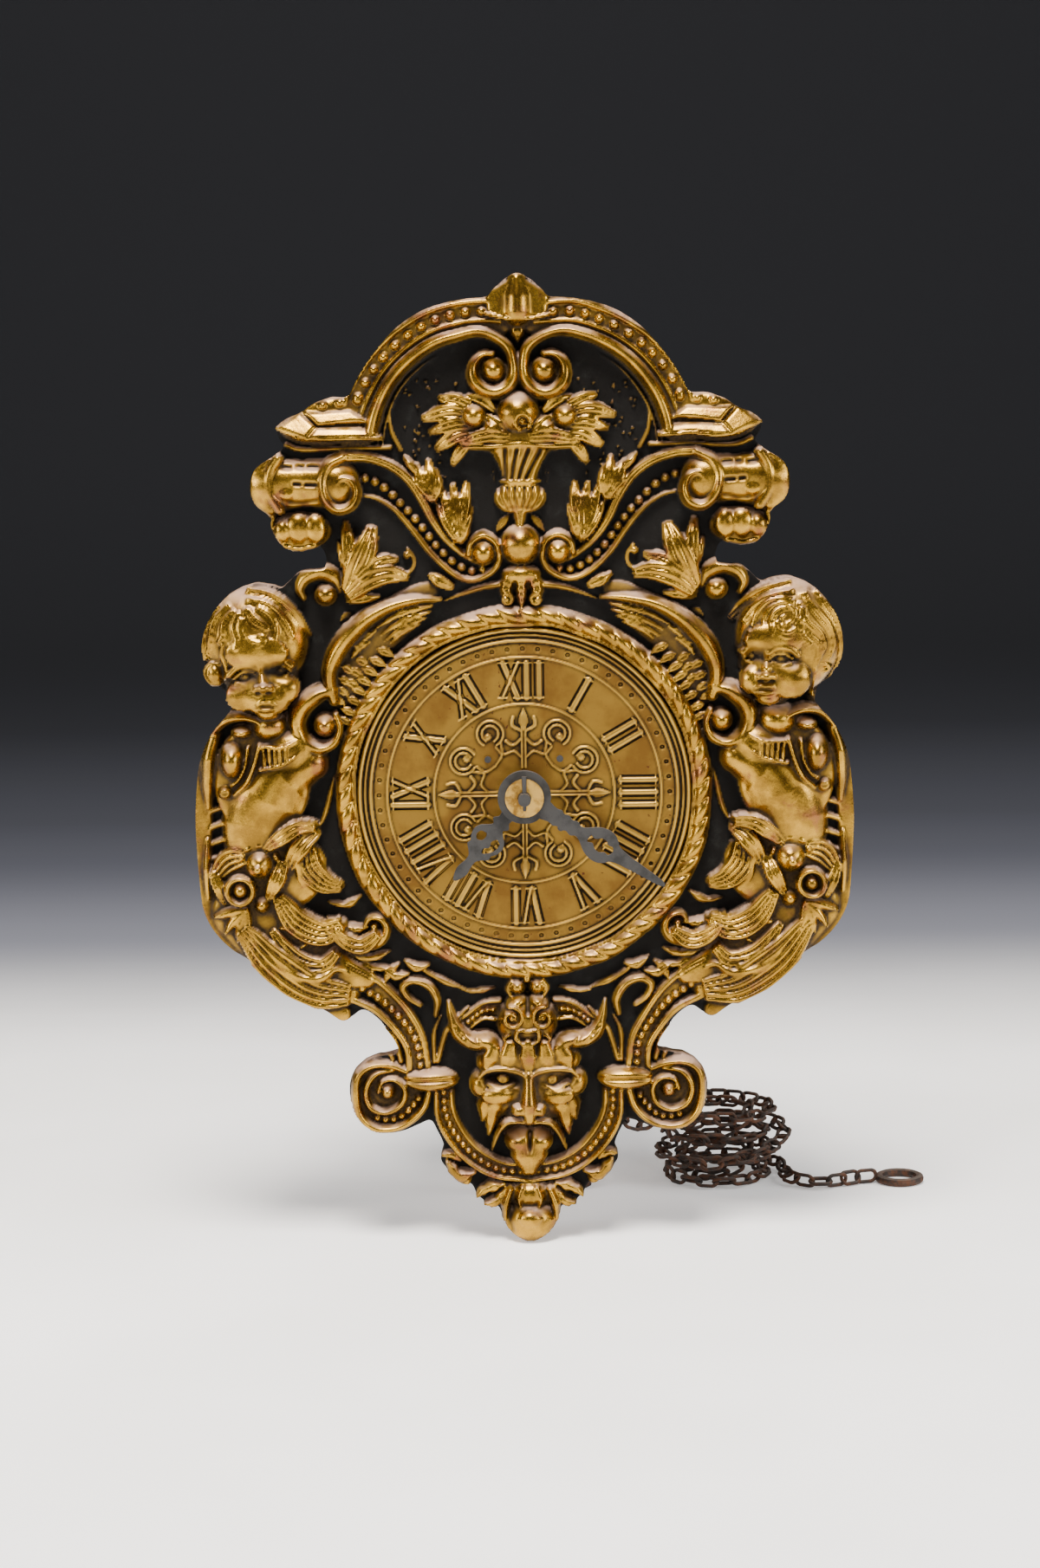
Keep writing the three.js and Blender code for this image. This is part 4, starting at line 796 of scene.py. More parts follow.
BENT = Head(
    swellings=(
        (51.0, 30.2, 10.2, 10.2, 8.6, 0.0, 0, 0.42, 0.3), (49.8, 22.9, 7.0, 7.3, 8.8, 0.0, 0, 0.42, 0.5),
        (50.2, 28.3, 5.8, 3.4, 1.4, 8.2, 0, 0.9, 1.6), (48.4, 19.4, 4.2, 3.3, 2.2, 7.4, 0, 0.75, 1.4),
        (45.0, 21.4, 2.6, 2.8, 1.5, 7.0, 0, 0.8, 1.2), (53.2, 20.2, 3.2, 3.0, 1.2, 7.2, 0, 0.8, 1.4),
        (48.6, 16.8, 2.4, 1.4, 1.9, 6.2, 0, 0.7, 0.9), (58.4, 24.2, 1.9, 2.6, 2.6, 4.6, 0, 0.6, 0.5)),
    eyes=((46.1, 24.9, 1.8, 0.1), (52.4, 23.9, 1.9, 0.35)),
    nose=((49.5, 26.0), (49.4, 24.6), (49.2, 23.2), (49.0, 21.9)),
    mouth=(48.6, 18.5),
    locks=(
        ([(52.0, 39.6), (47.4, 38.0), (43.7, 34.9), (40.8, 31.0)], 3.4, 3), ([(51.8, 37.9), (48.4, 36.8), (45.6, 34.3),
         (43.6, 31.0)], 2.6, 3), ([(52.0, 36.6), (50.8, 34.4), (48.0, 32.6)], 2.4, 3),
        ([(50.0, 36.6), (47.9, 35.1), (46.8, 32.9), (46.9, 30.4)], 1.9, 2),
        ([(52.8, 34.9), (52.4, 32.2), (50.8, 30.4), (49.0, 30.4), (48.8, 31.7), (50.0, 31.9)], 1.4, 2),
        ([(53.2, 35.8), (53.9, 33.2), (53.2, 31.2), (53.6, 29.2)], 1.8, 2),
        ([(54.2, 36.4), (55.8, 33.8), (56.0, 31.6), (57.4, 30.2)], 2.0, 3),
        ([(55.2, 37.2), (57.6, 34.2), (58.4, 31.2), (59.0, 28.8), (59.8, 27.2)], 2.4, 3),
        ([(57.2, 37.2), (59.3, 33.8), (60.2, 30.2), (60.3, 26.8)], 2.0, 2),
        ([(57.2, 26.0), (59.0, 26.2), (60.2, 24.6), (59.4, 22.6), (57.4, 22.4)], 1.1, 1),
        ([(56.4, 30.2), (56.8, 28.2), (56.0, 25.8), (56.4, 23.4)], 1.1, 1)))


@dataclass
class FrontRelief:
    """The embossing of the brass front, chased region by region from the top down."""

    pitch: float = 0.3
    wobble: float = 0.22
    ring_radius: float = 34.4
    ring_width: float = 3.7
    arch_x: float = 6.6
    arch_z: float = 66.0
    relief: Relief = field(init=False)

    def __post_init__(self) -> None:
        """Lays out the grid that the forms are chased on."""
        self.relief = Relief(-64.5, 64.5, -89, 100, self.pitch, self.wobble)

    def arch(self) -> None:
        """Chases the broken arch with its bead row and the volute that it ends in."""
        r = self.relief

        def bow(radius: float, start: float, end: float) -> list[Point]:
            """Gives an arc round the arch's middle."""
            return arc(self.arch_x, self.arch_z, radius, start, end)

        r.ridge(bow(24.8, 8, 96), 7.4, 1.7, power=0.2)
        r.ridge(bow(27.4, 18, 96), 1.5, 2.5)
        r.ridge(bow(23.9, 8, 98), 1.1, 1.0, base=1.5)
        r.beads(bow(25.5, 22.5, 90), 11, 0.95, 1.5, base=1.5)
        r.ridge([*bow(21.8, 8, 74), (8, 88), (4.6, 87.1), (1.9, 84.9), (1.0, 82), (1.2, 79.2), (2.6, 77.2),
                 (4.9, 76.4), (7.2, 77.2), (8.6, 79.3), (8.5, 81.8), (7.0, 83.6), (5.0, 83.8)],
                [2.9, 2.9, 2.9, 2.8, 2.5, 2.2, 2.4, 3.4, 2.8, 1.4], [4.6, 4.6, 4.6, 4.4, 4.0, 4.2, 4.8, 3.4])
        r.dome(4.9, 80.6, 2.7, 2.7, 5.0)
        r.cut([(7.1, 81.4), (6.6, 79.2), (4.9, 78.1)], 0.7, 1.0)
        for radius in (20.3, 19.4):
            r.ridge(bow(radius, 2, 62), 0.55, [1.2, 1.0, 0.2], gilt=0.6)
        r.ridge([(22.6, 66), (24.4, 70), (24.6, 75)], 0.8, [1.6, 1.2, 0.2])

    def crown(self) -> None:
        """Chases the bevelled block on top and the drip below it."""
        r = self.relief
        r.facet([(0, 98.6), (6.0, 94.9), (5.6, 90.9), (0, 90.2)], [3.4, 2.3, 2.6, 4.4])
        r.ridge([(0, 97.6), (0, 94.6), (0, 91.6)], [3.6, 5.6, 6.0], [4.0, 4.8, 5.0], power=0.5, soft=1.0)
        r.ridge([(5.8, 91.1), (2.5, 90.3), (0, 90.1)], 0.9, 4.6)
        r.leaf([(0, 90.4), (0.2, 88.6), (0, 85.8)], 3.2, 2.2, veins=3)

    def cornice(self) -> None:
        """Chases the mitred cornice at the foot of the arch."""
        r = self.relief
        r.dome(35.5, 71.5, 10, 4.6, 2.4, tilt=-6, power=0.25)
        r.facet([(28.2, 71.3), (38.0, 70.6), (40.6, 73.4), (31.5, 73.6)], [3.8, 4.2, 3.0, 2.6])
        r.facet([(26.0, 68.4), (40.2, 68.1), (38.4, 70.5), (27.6, 70.3)], [4.8, 5.4, 4.0, 3.6])
        r.facet([(40.2, 68.1), (45.9, 70.4), (41.4, 73.6), (38.2, 70.6)], [5.4, 3.6, 2.4, 4.2])
        r.ridge([(26.4, 68.4), (33, 68.2), (40.3, 68.1), (43.2, 69.2), (45.7, 70.4)], 0.8, [5.0, 5.4, 5.5, 4.4, 3.6])
        r.ridge([(24.6, 66.6), (33, 66.3), (41, 66.2), (44, 67.2)], 1.0, 2.0)
        r.beads([(30.2, 75.2), (33.4, 74.8), (36.8, 74.5)], 3, 1.35, 3.0)

    def frond(self, points: Points, width: float, height: float) -> None:
        """Chases a pointed lobe of a leaf with veins along it.

        Args:
            points: Points of its middle, from the stalk to the tip.
            width: Greatest full width.
            height: Rise above the ground.
        """
        r = self.relief
        r.ridge(points, [0.4 * width, 0.8 * width, width, 0.85 * width, 0.2 * width],
                [0.6 * height, 0.9 * height, height, 0.85 * height, 0.5 * height], power=0.55)
        r.lock(points, 0.85 * width, 3 if width > 2.5 else 2, 0.45)

    def fruit(self) -> None:
        """Chases the fruit and leaves heaped on the bowl."""
        r = self.relief
        for points, width, height in (
            ([(4.6, 73.0), (7.0, 75.0), (9.8, 75.8)], 2.4, 3.0), ([(8.4, 71.6), (13.0, 73.0), (18.2, 71.8)], 3.7, 3.0),
            ([(8.2, 73.0), (11.6, 75.0), (14.8, 75.6)], 3.0, 2.8),
            ([(9.0, 70.4), (12.6, 70.6), (17.0, 69.4)], 3.0, 3.4),
            ([(8.6, 69.0), (12.0, 68.6), (15.8, 66.2)], 3.7, 3.2),
            ([(8.8, 67.6), (11.0, 65.8), (12.8, 63.0)], 2.7, 2.6),
            ([(2.6, 68.2), (4.4, 70.2), (6.4, 72.0)], 3.6, 4.0), ([(2.0, 68.2), (6.0, 68.6), (10.6, 67.2)], 3.3, 3.8),
        ):
            self.frond(points, width, height)
        r.dome(8.6, 72.0, 2.7, 2.6, 4.6)
        r.dome(5.2, 69.8, 2.0, 1.9, 4.4)
        if r.side > 0:
            r.dome(-0.3, 72.4, 4.4, 4.3, 5.6)
            r.ridge(arc(0.6, 71.0, 1.5, -40, 250, 10), 0.6, 0.5, base=5.2)
            r.cut(arc(0.6, 71.0, 0.8, 0, 300, 8), 0.5, 0.8)

    def bowl(self) -> None:
        """Chases the twisted bowl, its cup and the ball and shell below."""
        r = self.relief
        r.ridge([(0, 66.6), (0, 65.0), (0, 62.8), (0, 59.8)], [15.0, 10.6, 8.6, 7.2, 6.4], [3.8, 3.8, 3.4, 3.0],
                power=0.4)
        r.ridge([(11.0, 66.2), (5.4, 66.4), (0, 66.8)], [1.0, 1.9, 2.2], [2.6, 3.8, 4.2])
        r.dome(0, 59.6, 4.0, 0.9, 3.2)
        r.dome(0, 56.6, 5.0, 3.3, 3.6)
        if r.side < 0:
            # the twists and flutes lose part of their gilding: painted shade in the grooves, with tarnish
            for top in (-3.9, -1.7, 0.5, 2.7):
                r.cut([(-top - 1.2, 65.6), (-0.8 * top - 0.3, 62.8), (0.4 - 0.6 * top, 60.2)], 0.7, 1.1, tarnish=0.5)
            for flute in (-3.8, -2.4, -0.9, 0.9, 2.4, 3.8):
                r.cut([(flute, 58.4), (0.95 * flute, 56.4), (0.6 * flute, 54.4)], 0.6, 0.9, tarnish=0.3)
        r.ridge([(0, 54.2), (0, 51.4)], [3.2, 1.8], 2.4)
        r.leaf([(2.2, 53.2), (3.2, 52.0), (4.6, 50.2)], 1.9, 1.0)
        r.dome(0, 47.6, 4.0, 4.0, 4.8)
        r.dome(0, 42.0, 3.9, 2.0, 3.2)
        r.leaf([(0.6, 43.4), (2.6, 40.6), (3.2, 36.4)], 3.2, 3.0)
        r.leaf([(0, 42.6), (0, 39.4), (0, 35.8)], 2.6, 3.2)
        r.spiral(2.9, 37.4, 1.3, 1.0, 90, 1.0, 3.2, ball=0.8)
        r.ridge([(3.6, 40.2), (9, 39.3), (14.6, 37.3)], [1.6, 1.1, 0.4], [1.8, 1.2, 0.6])

    def scroll(self) -> None:
        """Chases the S-scroll: two rims with a bead row between a small volute and the roll's volute."""
        r = self.relief
        upper = [(8.7, 44.7), (11, 46.2), (14, 48.9), (16.6, 52.6), (18.6, 56.6), (21.2, 60.6), (24.6, 63.2),
                 (29, 64.7), (33.4, 64.8)]
        r.ridge(upper, [1.0, 1.7, 1.9, 2.1, 2.3], [1.6, 2.6, 3.2, 4.0])
        r.cut(upper, 0.45, [0.3, 0.8, 0.8, 0.8])
        r.ridge([(4.3, 47.8), (4.2, 45), (5.6, 42.7), (9, 41.3), (12.6, 42.3), (16.6, 45.8), (20.1, 50.5),
                 (23.6, 54.6), (27, 56.8), (29.7, 57.4)], [1.6, 1.5, 1.3, 1.2, 1.1, 0.7], [3.0, 2.4, 1.9, 1.8, 1.2])
        r.ridge([(4.1, 46.2), (4.9, 48.5), (7.0, 49.7), (9.2, 48.5), (10.0, 46.2)], [1.5, 2.0, 1.4], 3.0)
        r.dome(7.1, 46.4, 2.5, 2.6, 4.4)
        r.beads([(7.3, 43.2), (9.2, 42.9), (11, 43.5), (12.8, 44.5), (14.5, 46), (16, 47.6), (17.3, 49.3),
                 (18.5, 51), (19.8, 52.7), (21.2, 54.3), (22.7, 55.9), (24.2, 57.5), (25.9, 59), (27.6, 60),
                 (29.4, 60.6)], 15, 0.85, 1.7)
        r.dome(31.9, 61.4, 0.7, 0.8, 1.2)

    def roll(self) -> None:
        """Chases the pierced roll that lies under the cornice and the leaf that turns back below it."""
        r = self.relief
        r.ridge([(35.0, 59.6), (40.5, 59.8), (46.8, 59.5)], [9.6, 8.8, 10.2], [4.8, 4.5, 4.8], power=0.42)
        r.ridge([(45.4, 64.6), (46.9, 61.8), (46.9, 58.0), (45.3, 55.0)], 1.9, 1.3, base=3.7)
        r.ridge([(47.4, 64.4), (49.8, 61.0), (49.6, 57.8), (47.2, 55.2)], 3.6, 3.6, power=0.4)
        # the slots lose nearly all their gilding, and the groove below part of it: painted shade where the roll looks
        # pierced
        for x, z, long in ((38.4, 62.9, 1.4), (41.0, 63.0, 0.7), (43.2, 62.9, 1.1), (38.8, 59.5, 1.5),
                           (41.4, 59.7, 0.9)):
            r.cut([(x, z), (x + long, z + 0.1)], 0.75, 1.0, tarnish=0.9)
        r.dome(43.9, 58.0, 1.5, 1.2, 1.0, base=3.9, soft=0.5)
        r.cut([(38.6, 56.6), (41.2, 56.2), (43.4, 56.4)], 0.6, 0.6, tarnish=0.4)
        r.ridge([(33.4, 64.8), (36.2, 63.2), (37.4, 60.2), (36.8, 57), (34.6, 55), (32, 55.6), (30.9, 58),
                 (31.8, 60.4), (33.6, 60.9), (34.7, 59.7)], [2.6, 3.0, 2.8, 2.6, 2.4, 2.0, 1.5], [4.2, 5.6, 5.6, 4.8])
        r.dome(33.6, 59.0, 1.5, 2.0, 4.4, tilt=-12)
        r.dome(41.8, 50.9, 6.0, 3.6, 3.0, power=0.38)
        for x, z, half_x, half_z in ((38.8, 51.4, 2.0, 2.8), (42.0, 51.6, 2.2, 2.8), (45.0, 51.0, 1.6, 2.2)):
            r.dome(x, z, half_x, half_z, 1.5, base=2.6, soft=0.5)
        r.ridge([(46.8, 53.6), (46.9, 51.2), (45.2, 48.6), (42.4, 47.6), (39.0, 48.2)], 1.2, 2.8)

    def edges(self) -> None:
        """Lets the gilding run out to the bent edge at the cherub's back and below it."""
        r = self.relief
        r.ridge([(62.6, 10.0), (63.0, 0.0), (63.4, -10.0), (62.8, -19.0), (58.8, -28.0), (51.6, -35.6), (44.6, -40.4),
                 (37.4, -43.2)], 6.5, 1.5, power=0.25, soft=0.8)
        r.ridge([(55.6, 17.6), (59.4, 15.0), (61.6, 11.0)], 3.4, 1.6, power=0.3)

    def sprigs(self) -> None:
        """Chases the leaf sprigs between the bowl and the scroll, and the gilt specks in the pocket."""
        r = self.relief
        r.dome(12.1, 52.6, 2.9, 4.4, 2.4, tilt=-8, power=0.3)
        r.dome(17.4, 59.4, 2.1, 3.4, 2.3, tilt=-18, power=0.3)
        for points, width in (
            ([(11.6, 48.4), (10.4, 50.2), (9.6, 52.0)], 1.7), ([(11.7, 48.6), (10.6, 51.6), (9.2, 55.2)], 2.2),
            ([(11.9, 48.6), (11.3, 52.4), (10.5, 56.0), (10.2, 59.6)], 2.5),
            ([(12.0, 48.8), (12.1, 53.0), (12.4, 56.4), (12.8, 59.4)], 2.4),
            ([(12.2, 49.2), (13.2, 53.2), (14.2, 56.2), (15.0, 58.9)], 2.1),
            ([(12.4, 49.4), (14.2, 52.6), (16.0, 56.0)], 1.9),
            ([(16.4, 56.2), (15.7, 59.4), (16.0, 62.2)], 1.9), ([(16.5, 56.2), (17.0, 60.0), (17.4, 64.2)], 2.3),
            ([(16.7, 56.4), (18.5, 60.2), (19.8, 63.6)], 2.1), ([(17.2, 57.2), (19.2, 59.8), (20.7, 61.8)], 1.4),
            ([(19.8, 62.0), (21.0, 63.6), (22.0, 64.9)], 1.5), ([(13.0, 39.9), (15.2, 40.9), (17.3, 42.2)], 2.1),
        ):
            self.frond(points, 1.2 * width, 2.9)
        r.leaf([(4.4, 62.4), (5.1, 60.8), (4.9, 59.1)], 1.0, 0.5, veins=0)
        specks = np.random.default_rng(SEED + 7 * r.side)
        for x, z in specks.uniform((11.0, 60.0), (22.0, 79.0), (54, 2)):
            if r.level([(x, z)])[0] < 0.2:
                r.dome(x, z, 0.3, 0.3, 0.9, soft=0.1, gilt=0.9)

    def acanthus(self) -> None:
        """Chases the acanthus fan beside the roll and the side volute under it."""
        r = self.relief
        for points, width, height in (
            ([(33.6, 43.0), (34.2, 46.4), (34.6, 48.8)], 1.5, 2.4),
            ([(33.0, 41.6), (32.5, 46.2), (33.0, 52.6)], 3.3, 3.0),
            ([(32.8, 39.6), (30.8, 44.2), (29.0, 48.4), (28.0, 51.4)], 5.6, 3.6),
            ([(33.0, 37.6), (30.4, 37.9), (27.0, 38.2)], 2.1, 2.6),
            ([(30.8, 41.8), (27.2, 44.6), (23.4, 45.4)], 3.4, 3.0),
            ([(32.8, 38.6), (29.2, 41.4), (25.4, 42.6), (21.6, 42.0)], 4.8, 3.6),
        ):
            self.frond(points, width, height)
        r.ridge([(21.4, 47.3), (20.3, 45.7), (20.3, 44), (21.2, 42.9)], 0.8, 0.9)
        r.dome(21.6, 46.2, 0.8, 0.8, 1.3)
        r.leaf([(32.3, 35.2), (33.6, 34.6), (34.6, 33.6)], 1.5, 0.8)
        r.ridge([(34.3, 39.6), (35.5, 42), (38.2, 43.2), (41, 42.1), (42.2, 40), (41.5, 38.2)],
                [1.4, 3.2, 3.6, 3.2, 2.4, 1.2], [1.6, 2.4, 3.0, 2.6, 2.2])
        r.dome(37.1, 38.8, 2.3, 2.2, 3.4)

    def wing(self) -> None:
        """Chases the wing that springs from the shoulder volute over the dial."""
        r = self.relief
        r.dome(26.5, 32.0, 13.5, 4.2, 1.8, tilt=-38, power=0.4, gilt=0.5)
        r.dome(31.8, 24, 8, 3.6, 1.8, tilt=-62, power=0.4, gilt=0.5)
        edge = [(15.4, 37.6), (19.5, 37.6), (24.6, 36.6), (28.8, 34.6), (32.2, 31.8), (35.2, 28.2), (36.8, 24.4),
                (36.7, 21), (36.0, 18.6)]
        r.ridge(edge, [1.0, 2.3, 3.0, 3.6, 4.3, 4.4, 3.4, 2.6], [2.4, 3.6, 4.4, 5.2, 5.4, 5.0, 4.2])
        for points, width in (
            ([(17, 36.4), (23, 35.0), (28.2, 32.2)], 1.6), ([(17.4, 35.2), (22.5, 33.6), (27.0, 31.0)], 1.5),
            ([(18.2, 34.0), (22.4, 32.4), (26.2, 29.8)], 1.4), ([(19.4, 32.8), (22.6, 31.4), (25.2, 29.2)], 1.3),
            ([(28.0, 31.8), (30.4, 30.4), (32.2, 28.6)], 1.9), ([(29.2, 29.6), (31.2, 28.6), (32.6, 26.4)], 1.7),
        ):
            r.leaf(points, width, 1.5, veins=4, base=1.4, groove=0.5)
        for row, x, z in ((0, 26.2, 27.8), (0, 27.6, 26.0), (0, 29.0, 24.2), (0, 30.0, 22.3), (0, 31.0, 20.4),
                          (0, 32.0, 18.4), (0, 33.2, 16.4), (0, 33.9, 14.6), (1, 33.4, 24.6), (1, 34.0, 22.4),
                          (1, 34.6, 20.4), (1, 35.2, 18.6), (2, 30.6, 26.0), (2, 31.6, 24.0), (2, 32.4, 21.8)):
            long = (1.5, 1.2, 1.1)[row]
            r.leaf([(x - long, z - 0.9), (x, z), (x + long, z + 0.5)], 1.9, 1.5, veins=0, base=1.2, widest=0.6,
                   groove=0.7)
        r.ridge([(36.4, 20.6), (39.6, 19.6), (42.4, 17.0), (43.2, 13.8), (41.8, 10.8), (38.8, 9.5), (36, 10.6),
                 (34.9, 13.2), (35.7, 15.9)], [3.0, 4.2, 4.4, 4.0, 3.2, 2.4, 1.8, 1.4], [4.4, 5.4, 5.2, 4.8, 4.2, 3.8])
        r.dome(37.8, 13.8, 2.4, 2.4, 5.0)

    def ring(self) -> None:
        """Chases the twisted ring round the dial with its inner step."""
        r = self.relief
        r.ridge(arc(0, 0, self.ring_radius, 90, 450, 72), self.ring_width, 3.5, power=0.42, rope=58)
        r.ridge(arc(0, 0, self.ring_radius - 1.85, 90, 450, 72), 0.6, 2.3)

    def cherub(self) -> None:
        """Chases a cherub's head: the right one looks ahead and the left one bends down."""
        r = self.relief
        head = AHEAD if r.side > 0 else BENT
        for x, z, half_x, half_z, height, base, tilt, power, soft in head.swellings:
            r.dome(x, z, half_x, half_z, height, tilt=tilt, base=base, power=power, soft=soft)
        for x, z, wide, lean in head.eyes:
            self.eye(x, z, wide, lean)
        nose = head.nose
        r.ridge(nose, [1.3, 1.5, 2.2, 2.8], [0.9, 1.2, 1.7, 1.9], base=r.level(nose) - 0.7, power=0.8, soft=0.7)
        x, z = nose[-1]
        foot = float(r.level([(x, z - 1.6)])[0])
        r.dome(x, z - 0.1, 1.35, 0.9, 1.5, base=foot + 0.2, soft=0.4)
        # the nostrils lose most of their gilding: painted shade in them, with tarnish
        for step in (-1.25, 1.15):
            r.dome(x + step, z - 0.2, 0.8, 0.65, 0.9, base=foot + 0.2, soft=0.3)
            r.cut([(x + step * 0.72, z - 0.95), (x + step * 0.9, z - 0.95)], 0.8, 0.5, tarnish=0.8)
        self.mouth(*head.mouth)
        for points, width, strands in head.locks:
            r.lock(points, width, strands)

    def eye(self, x: float, z: float, wide: float, lean: float) -> None:
        """Chases a deep-set eye with its lids and brow.

        Args:
            x: Middle of the eye.
            z: Middle of the eye.
            wide: Half of its width.
            lean: Drop of its outer corner below its inner one.
        """
        def along(share: float, up: float) -> Point:
            """Places a point on the eye: -1 is its inner corner and 1 its outer one."""
            return (x + share * wide, z + up - lean * share)
        r = self.relief
        level = float(r.level([(x, z)])[0])
        # the cut under the lids loses most of its gilding and the eyeball keeps under half: painted shade in the
        # socket, with tarnish
        r.cut([along(-1.0, 0.1), along(0, 0.25), along(1.0, 0)], 2.6, [1.0, 1.7, 0.9], tarnish=0.85)
        r.dome(x, z, wide * 0.78, 0.95, 0.95, base=level - 1.75, tilt=-lean * 20, soft=0.2, gilt=0.45)
        r.dome(x - 0.1, z + 0.1, 0.55, 0.55, 0.5, base=level - 1.1, soft=0.1, gilt=0.9)
        r.ridge([along(-1.15, -0.1), along(-0.5, 0.85), along(0.35, 1.05), along(1.2, 0.15)], 0.6, 0.75,
                base=level - 0.95, soft=0.2)
        r.ridge([along(-0.9, -0.75), along(0, -1.2), along(1.0, -0.75)], 0.6, 0.5, base=level - 0.85, soft=0.3)
        r.ridge([along(-1.3, 0.9), along(-0.3, 2.1), along(0.9, 2.0), along(1.7, 0.9)], 1.3, 0.75,
                base=level - 0.45, power=0.8, soft=0.7)

    def mouth(self, x: float, z: float) -> None:
        """Chases a small pouting mouth.

        Args:
            x: Its middle.
            z: Its middle.
        """
        r = self.relief
        level = float(r.level([(x, z)])[0])
        r.ridge([(x - 1.9, z - 0.2), (x - 0.7, z + 0.55), (x, z + 0.3), (x + 0.7, z + 0.55), (x + 1.9, z - 0.3)],
                [0.4, 0.9, 0.8, 0.9, 0.4], 0.85, base=level - 0.4, soft=0.25)
        r.ridge([(x - 1.3, z - 0.75), (x, z - 1.05), (x + 1.3, z - 0.8)], [0.5, 1.0, 0.5], 0.75,
                base=level - 0.45, soft=0.25)
        # the parting of the lips loses most of its gilding: painted shade, with tarnish
        r.cut([(x - 1.9, z - 0.35), (x, z - 0.1), (x + 1.9, z - 0.45)], 0.5, [0.3, 0.65, 0.3], tarnish=0.7)
        r.cut([(x - 0.9, z - 1.75), (x + 0.9, z - 1.75)], 0.9, 0.5)

    def torso(self) -> None:
        """Chases the cherub's neck, collar, shoulder, sleeve and belly."""
        r = self.relief
        r.dome(50.2, 3.4, 9.4, 11.6, 4.4, power=0.16, soft=0.6)
        r.dome(45.8, 8.6, 6.4, 4.6, 6.0, tilt=-20, power=0.3, soft=0.8)
        r.ridge([(40.6, 6.6), (45.6, 4.4), (49.6, -0.6), (51.2, -7.0), (50.8, -11.0)], [7.0, 13.0, 15.0, 15.0, 13.0],
                [4.6, 6.2, 6.8, 6.4, 4.8], power=0.5, soft=0.8)
        r.dome(48.4, 13.8, 4.0, 3.6, 6.4, power=0.45)
        collar = [(42.0, 11.7), (44.2, 10.6), (46.4, 10.0), (49.6, 10.2)]
        hem = [(41.6, 10.4), (43.4, 8.3), (46.2, 6.6), (50.2, 5.8)]
        for line in (collar, hem):
            r.ridge(line, 1.1, [4.6, 6.6, 7.0, 7.2])
        for top, foot in zip(catmull(collar, 0.85)[3:], catmull(hem, 0.95)[4:]):
            r.ridge([top, foot], 0.6, 0.6, base=6.2)
        r.ridge([(50.3, 10.4), (51.3, 6.8), (52.9, 3.4), (55.4, 1.0)], 1.5, [7.0, 7.4, 7.2, 5.0])
        r.ridge([(52.6, 10.0), (53.1, 6.6), (54.4, 4.0), (56.0, 2.6)], 0.9, [6.8, 7.0, 6.6, 5.0])
        r.dome(55.7, 7.4, 2.6, 3.9, 7.6, power=0.4)
        r.ridge([(58.8, 12.4), (60.2, 8.0), (60.6, 3.0), (60.6, -2.0)], [2.4, 3.2, 2.6, 1.4], [3.4, 4.6, 3.8, 2.4])
        r.ridge([(48.6, 12.0), (50.2, 14.6), (53.6, 15.8), (57.0, 15.0), (59.6, 12.2)], [1.0, 1.8, 2.4, 2.2, 1.6],
                [5.2, 6.0, 6.2, 5.2, 3.4])
        r.dome(53.8, 12.8, 2.3, 1.3, 6.8)
        r.dome(57.2, 1.3, 1.7, 1.7, 6.2)
        # the dimple in the small boss loses part of its gilding: painted shade in it, with tarnish
        r.cut([(57.0, 1.3), (57.4, 1.3)], 0.7, 0.8, tarnish=0.6)
        for z in (-3.0, -6.0, -9.0, -12.0):
            r.ridge([(58.0, z + 1.0), (60.4, z), (61.0, z - 1.6)], [1.4, 1.2, 0.5], [2.6, 1.8, 0.8])
        r.ridge([(36.2, 4.2), (37.2, 0.4), (38.3, -3.4), (39.6, -6.0)], [0.5, 1.0, 1.0, 0.6], [0.8, 1.6, 1.8, 1.6])

    def garland(self) -> None:
        """Chases the ribbon, the flowers and the leaves that hang below the cherub."""
        r = self.relief
        r.dome(48.6, -14.6, 10.6, 8.6, 3.9, tilt=-12, power=0.2, soft=0.6)
        r.ridge([(31.0, -35.6), (38.0, -33.6), (46.0, -29.4), (54.6, -22.4)], [4.0, 11.0, 14.0, 12.0], 3.2, power=0.25,
                soft=0.6)
        r.ridge([(53.4, -12.0), (56.6, -12.8), (59.2, -15.4)], 6.4, 2.8, power=0.8)
        r.lock([(53.6, -11.0), (57.0, -12.0), (59.6, -15.0)], 4.8, 4, 1.1)
        r.ridge([(41.6, -9.4), (41.2, -13.4), (38.6, -16.2), (35.6, -17.4)], [3.6, 5.2, 4.6, 2.0], 2.8, power=0.7)
        r.lock([(41.8, -9.4), (41.4, -13.6), (38.8, -16.6), (35.4, -17.6)], 5.0, 5, 1.1)
        r.ridge([(43.6, -12.6), (42.9, -16.2), (41.0, -19.2)], [2.6, 2.8, 1.2], [4.8, 4.2, 2.8])
        self.frond([(39.9, -6.6), (42.0, -8.4), (44.3, -11.4), (45.2, -13.8)], 4.2, 6.2)
        self.frond([(40.2, -5.4), (43.4, -5.4), (46.6, -7.4), (49.6, -9.8)], 3.8, 7.4)
        self.frond([(46.2, -12.2), (47.3, -15.4), (49.4, -19.6)], 3.6, 6.6)
        self.frond([(57.4, -20.4), (58.6, -17.4), (60.2, -14.0)], 3.0, 4.6)
        r.dome(50.5, -20.6, 1.9, 1.9, 6.2)
        r.dome(50.7, -12.6, 3.3, 3.5, 7.4, power=0.42)
        for angle in range(20, 200, 36):
            x, z = arc(50.8, -12.2, 3.4, angle, 0, 1)[0]
            r.dome(x, z, 1.7, 1.0, 5.8, tilt=angle + 90)
        r.dome(50.9, -13.2, 1.0, 1.0, 1.6, base=6.8)
        r.dome(54.6, -17.6, 3.6, 3.6, 5.6, power=0.3)
        r.ridge(arc(54.6, -17.6, 2.5, 0, 360, 20), 1.2, 1.8, base=5.2)
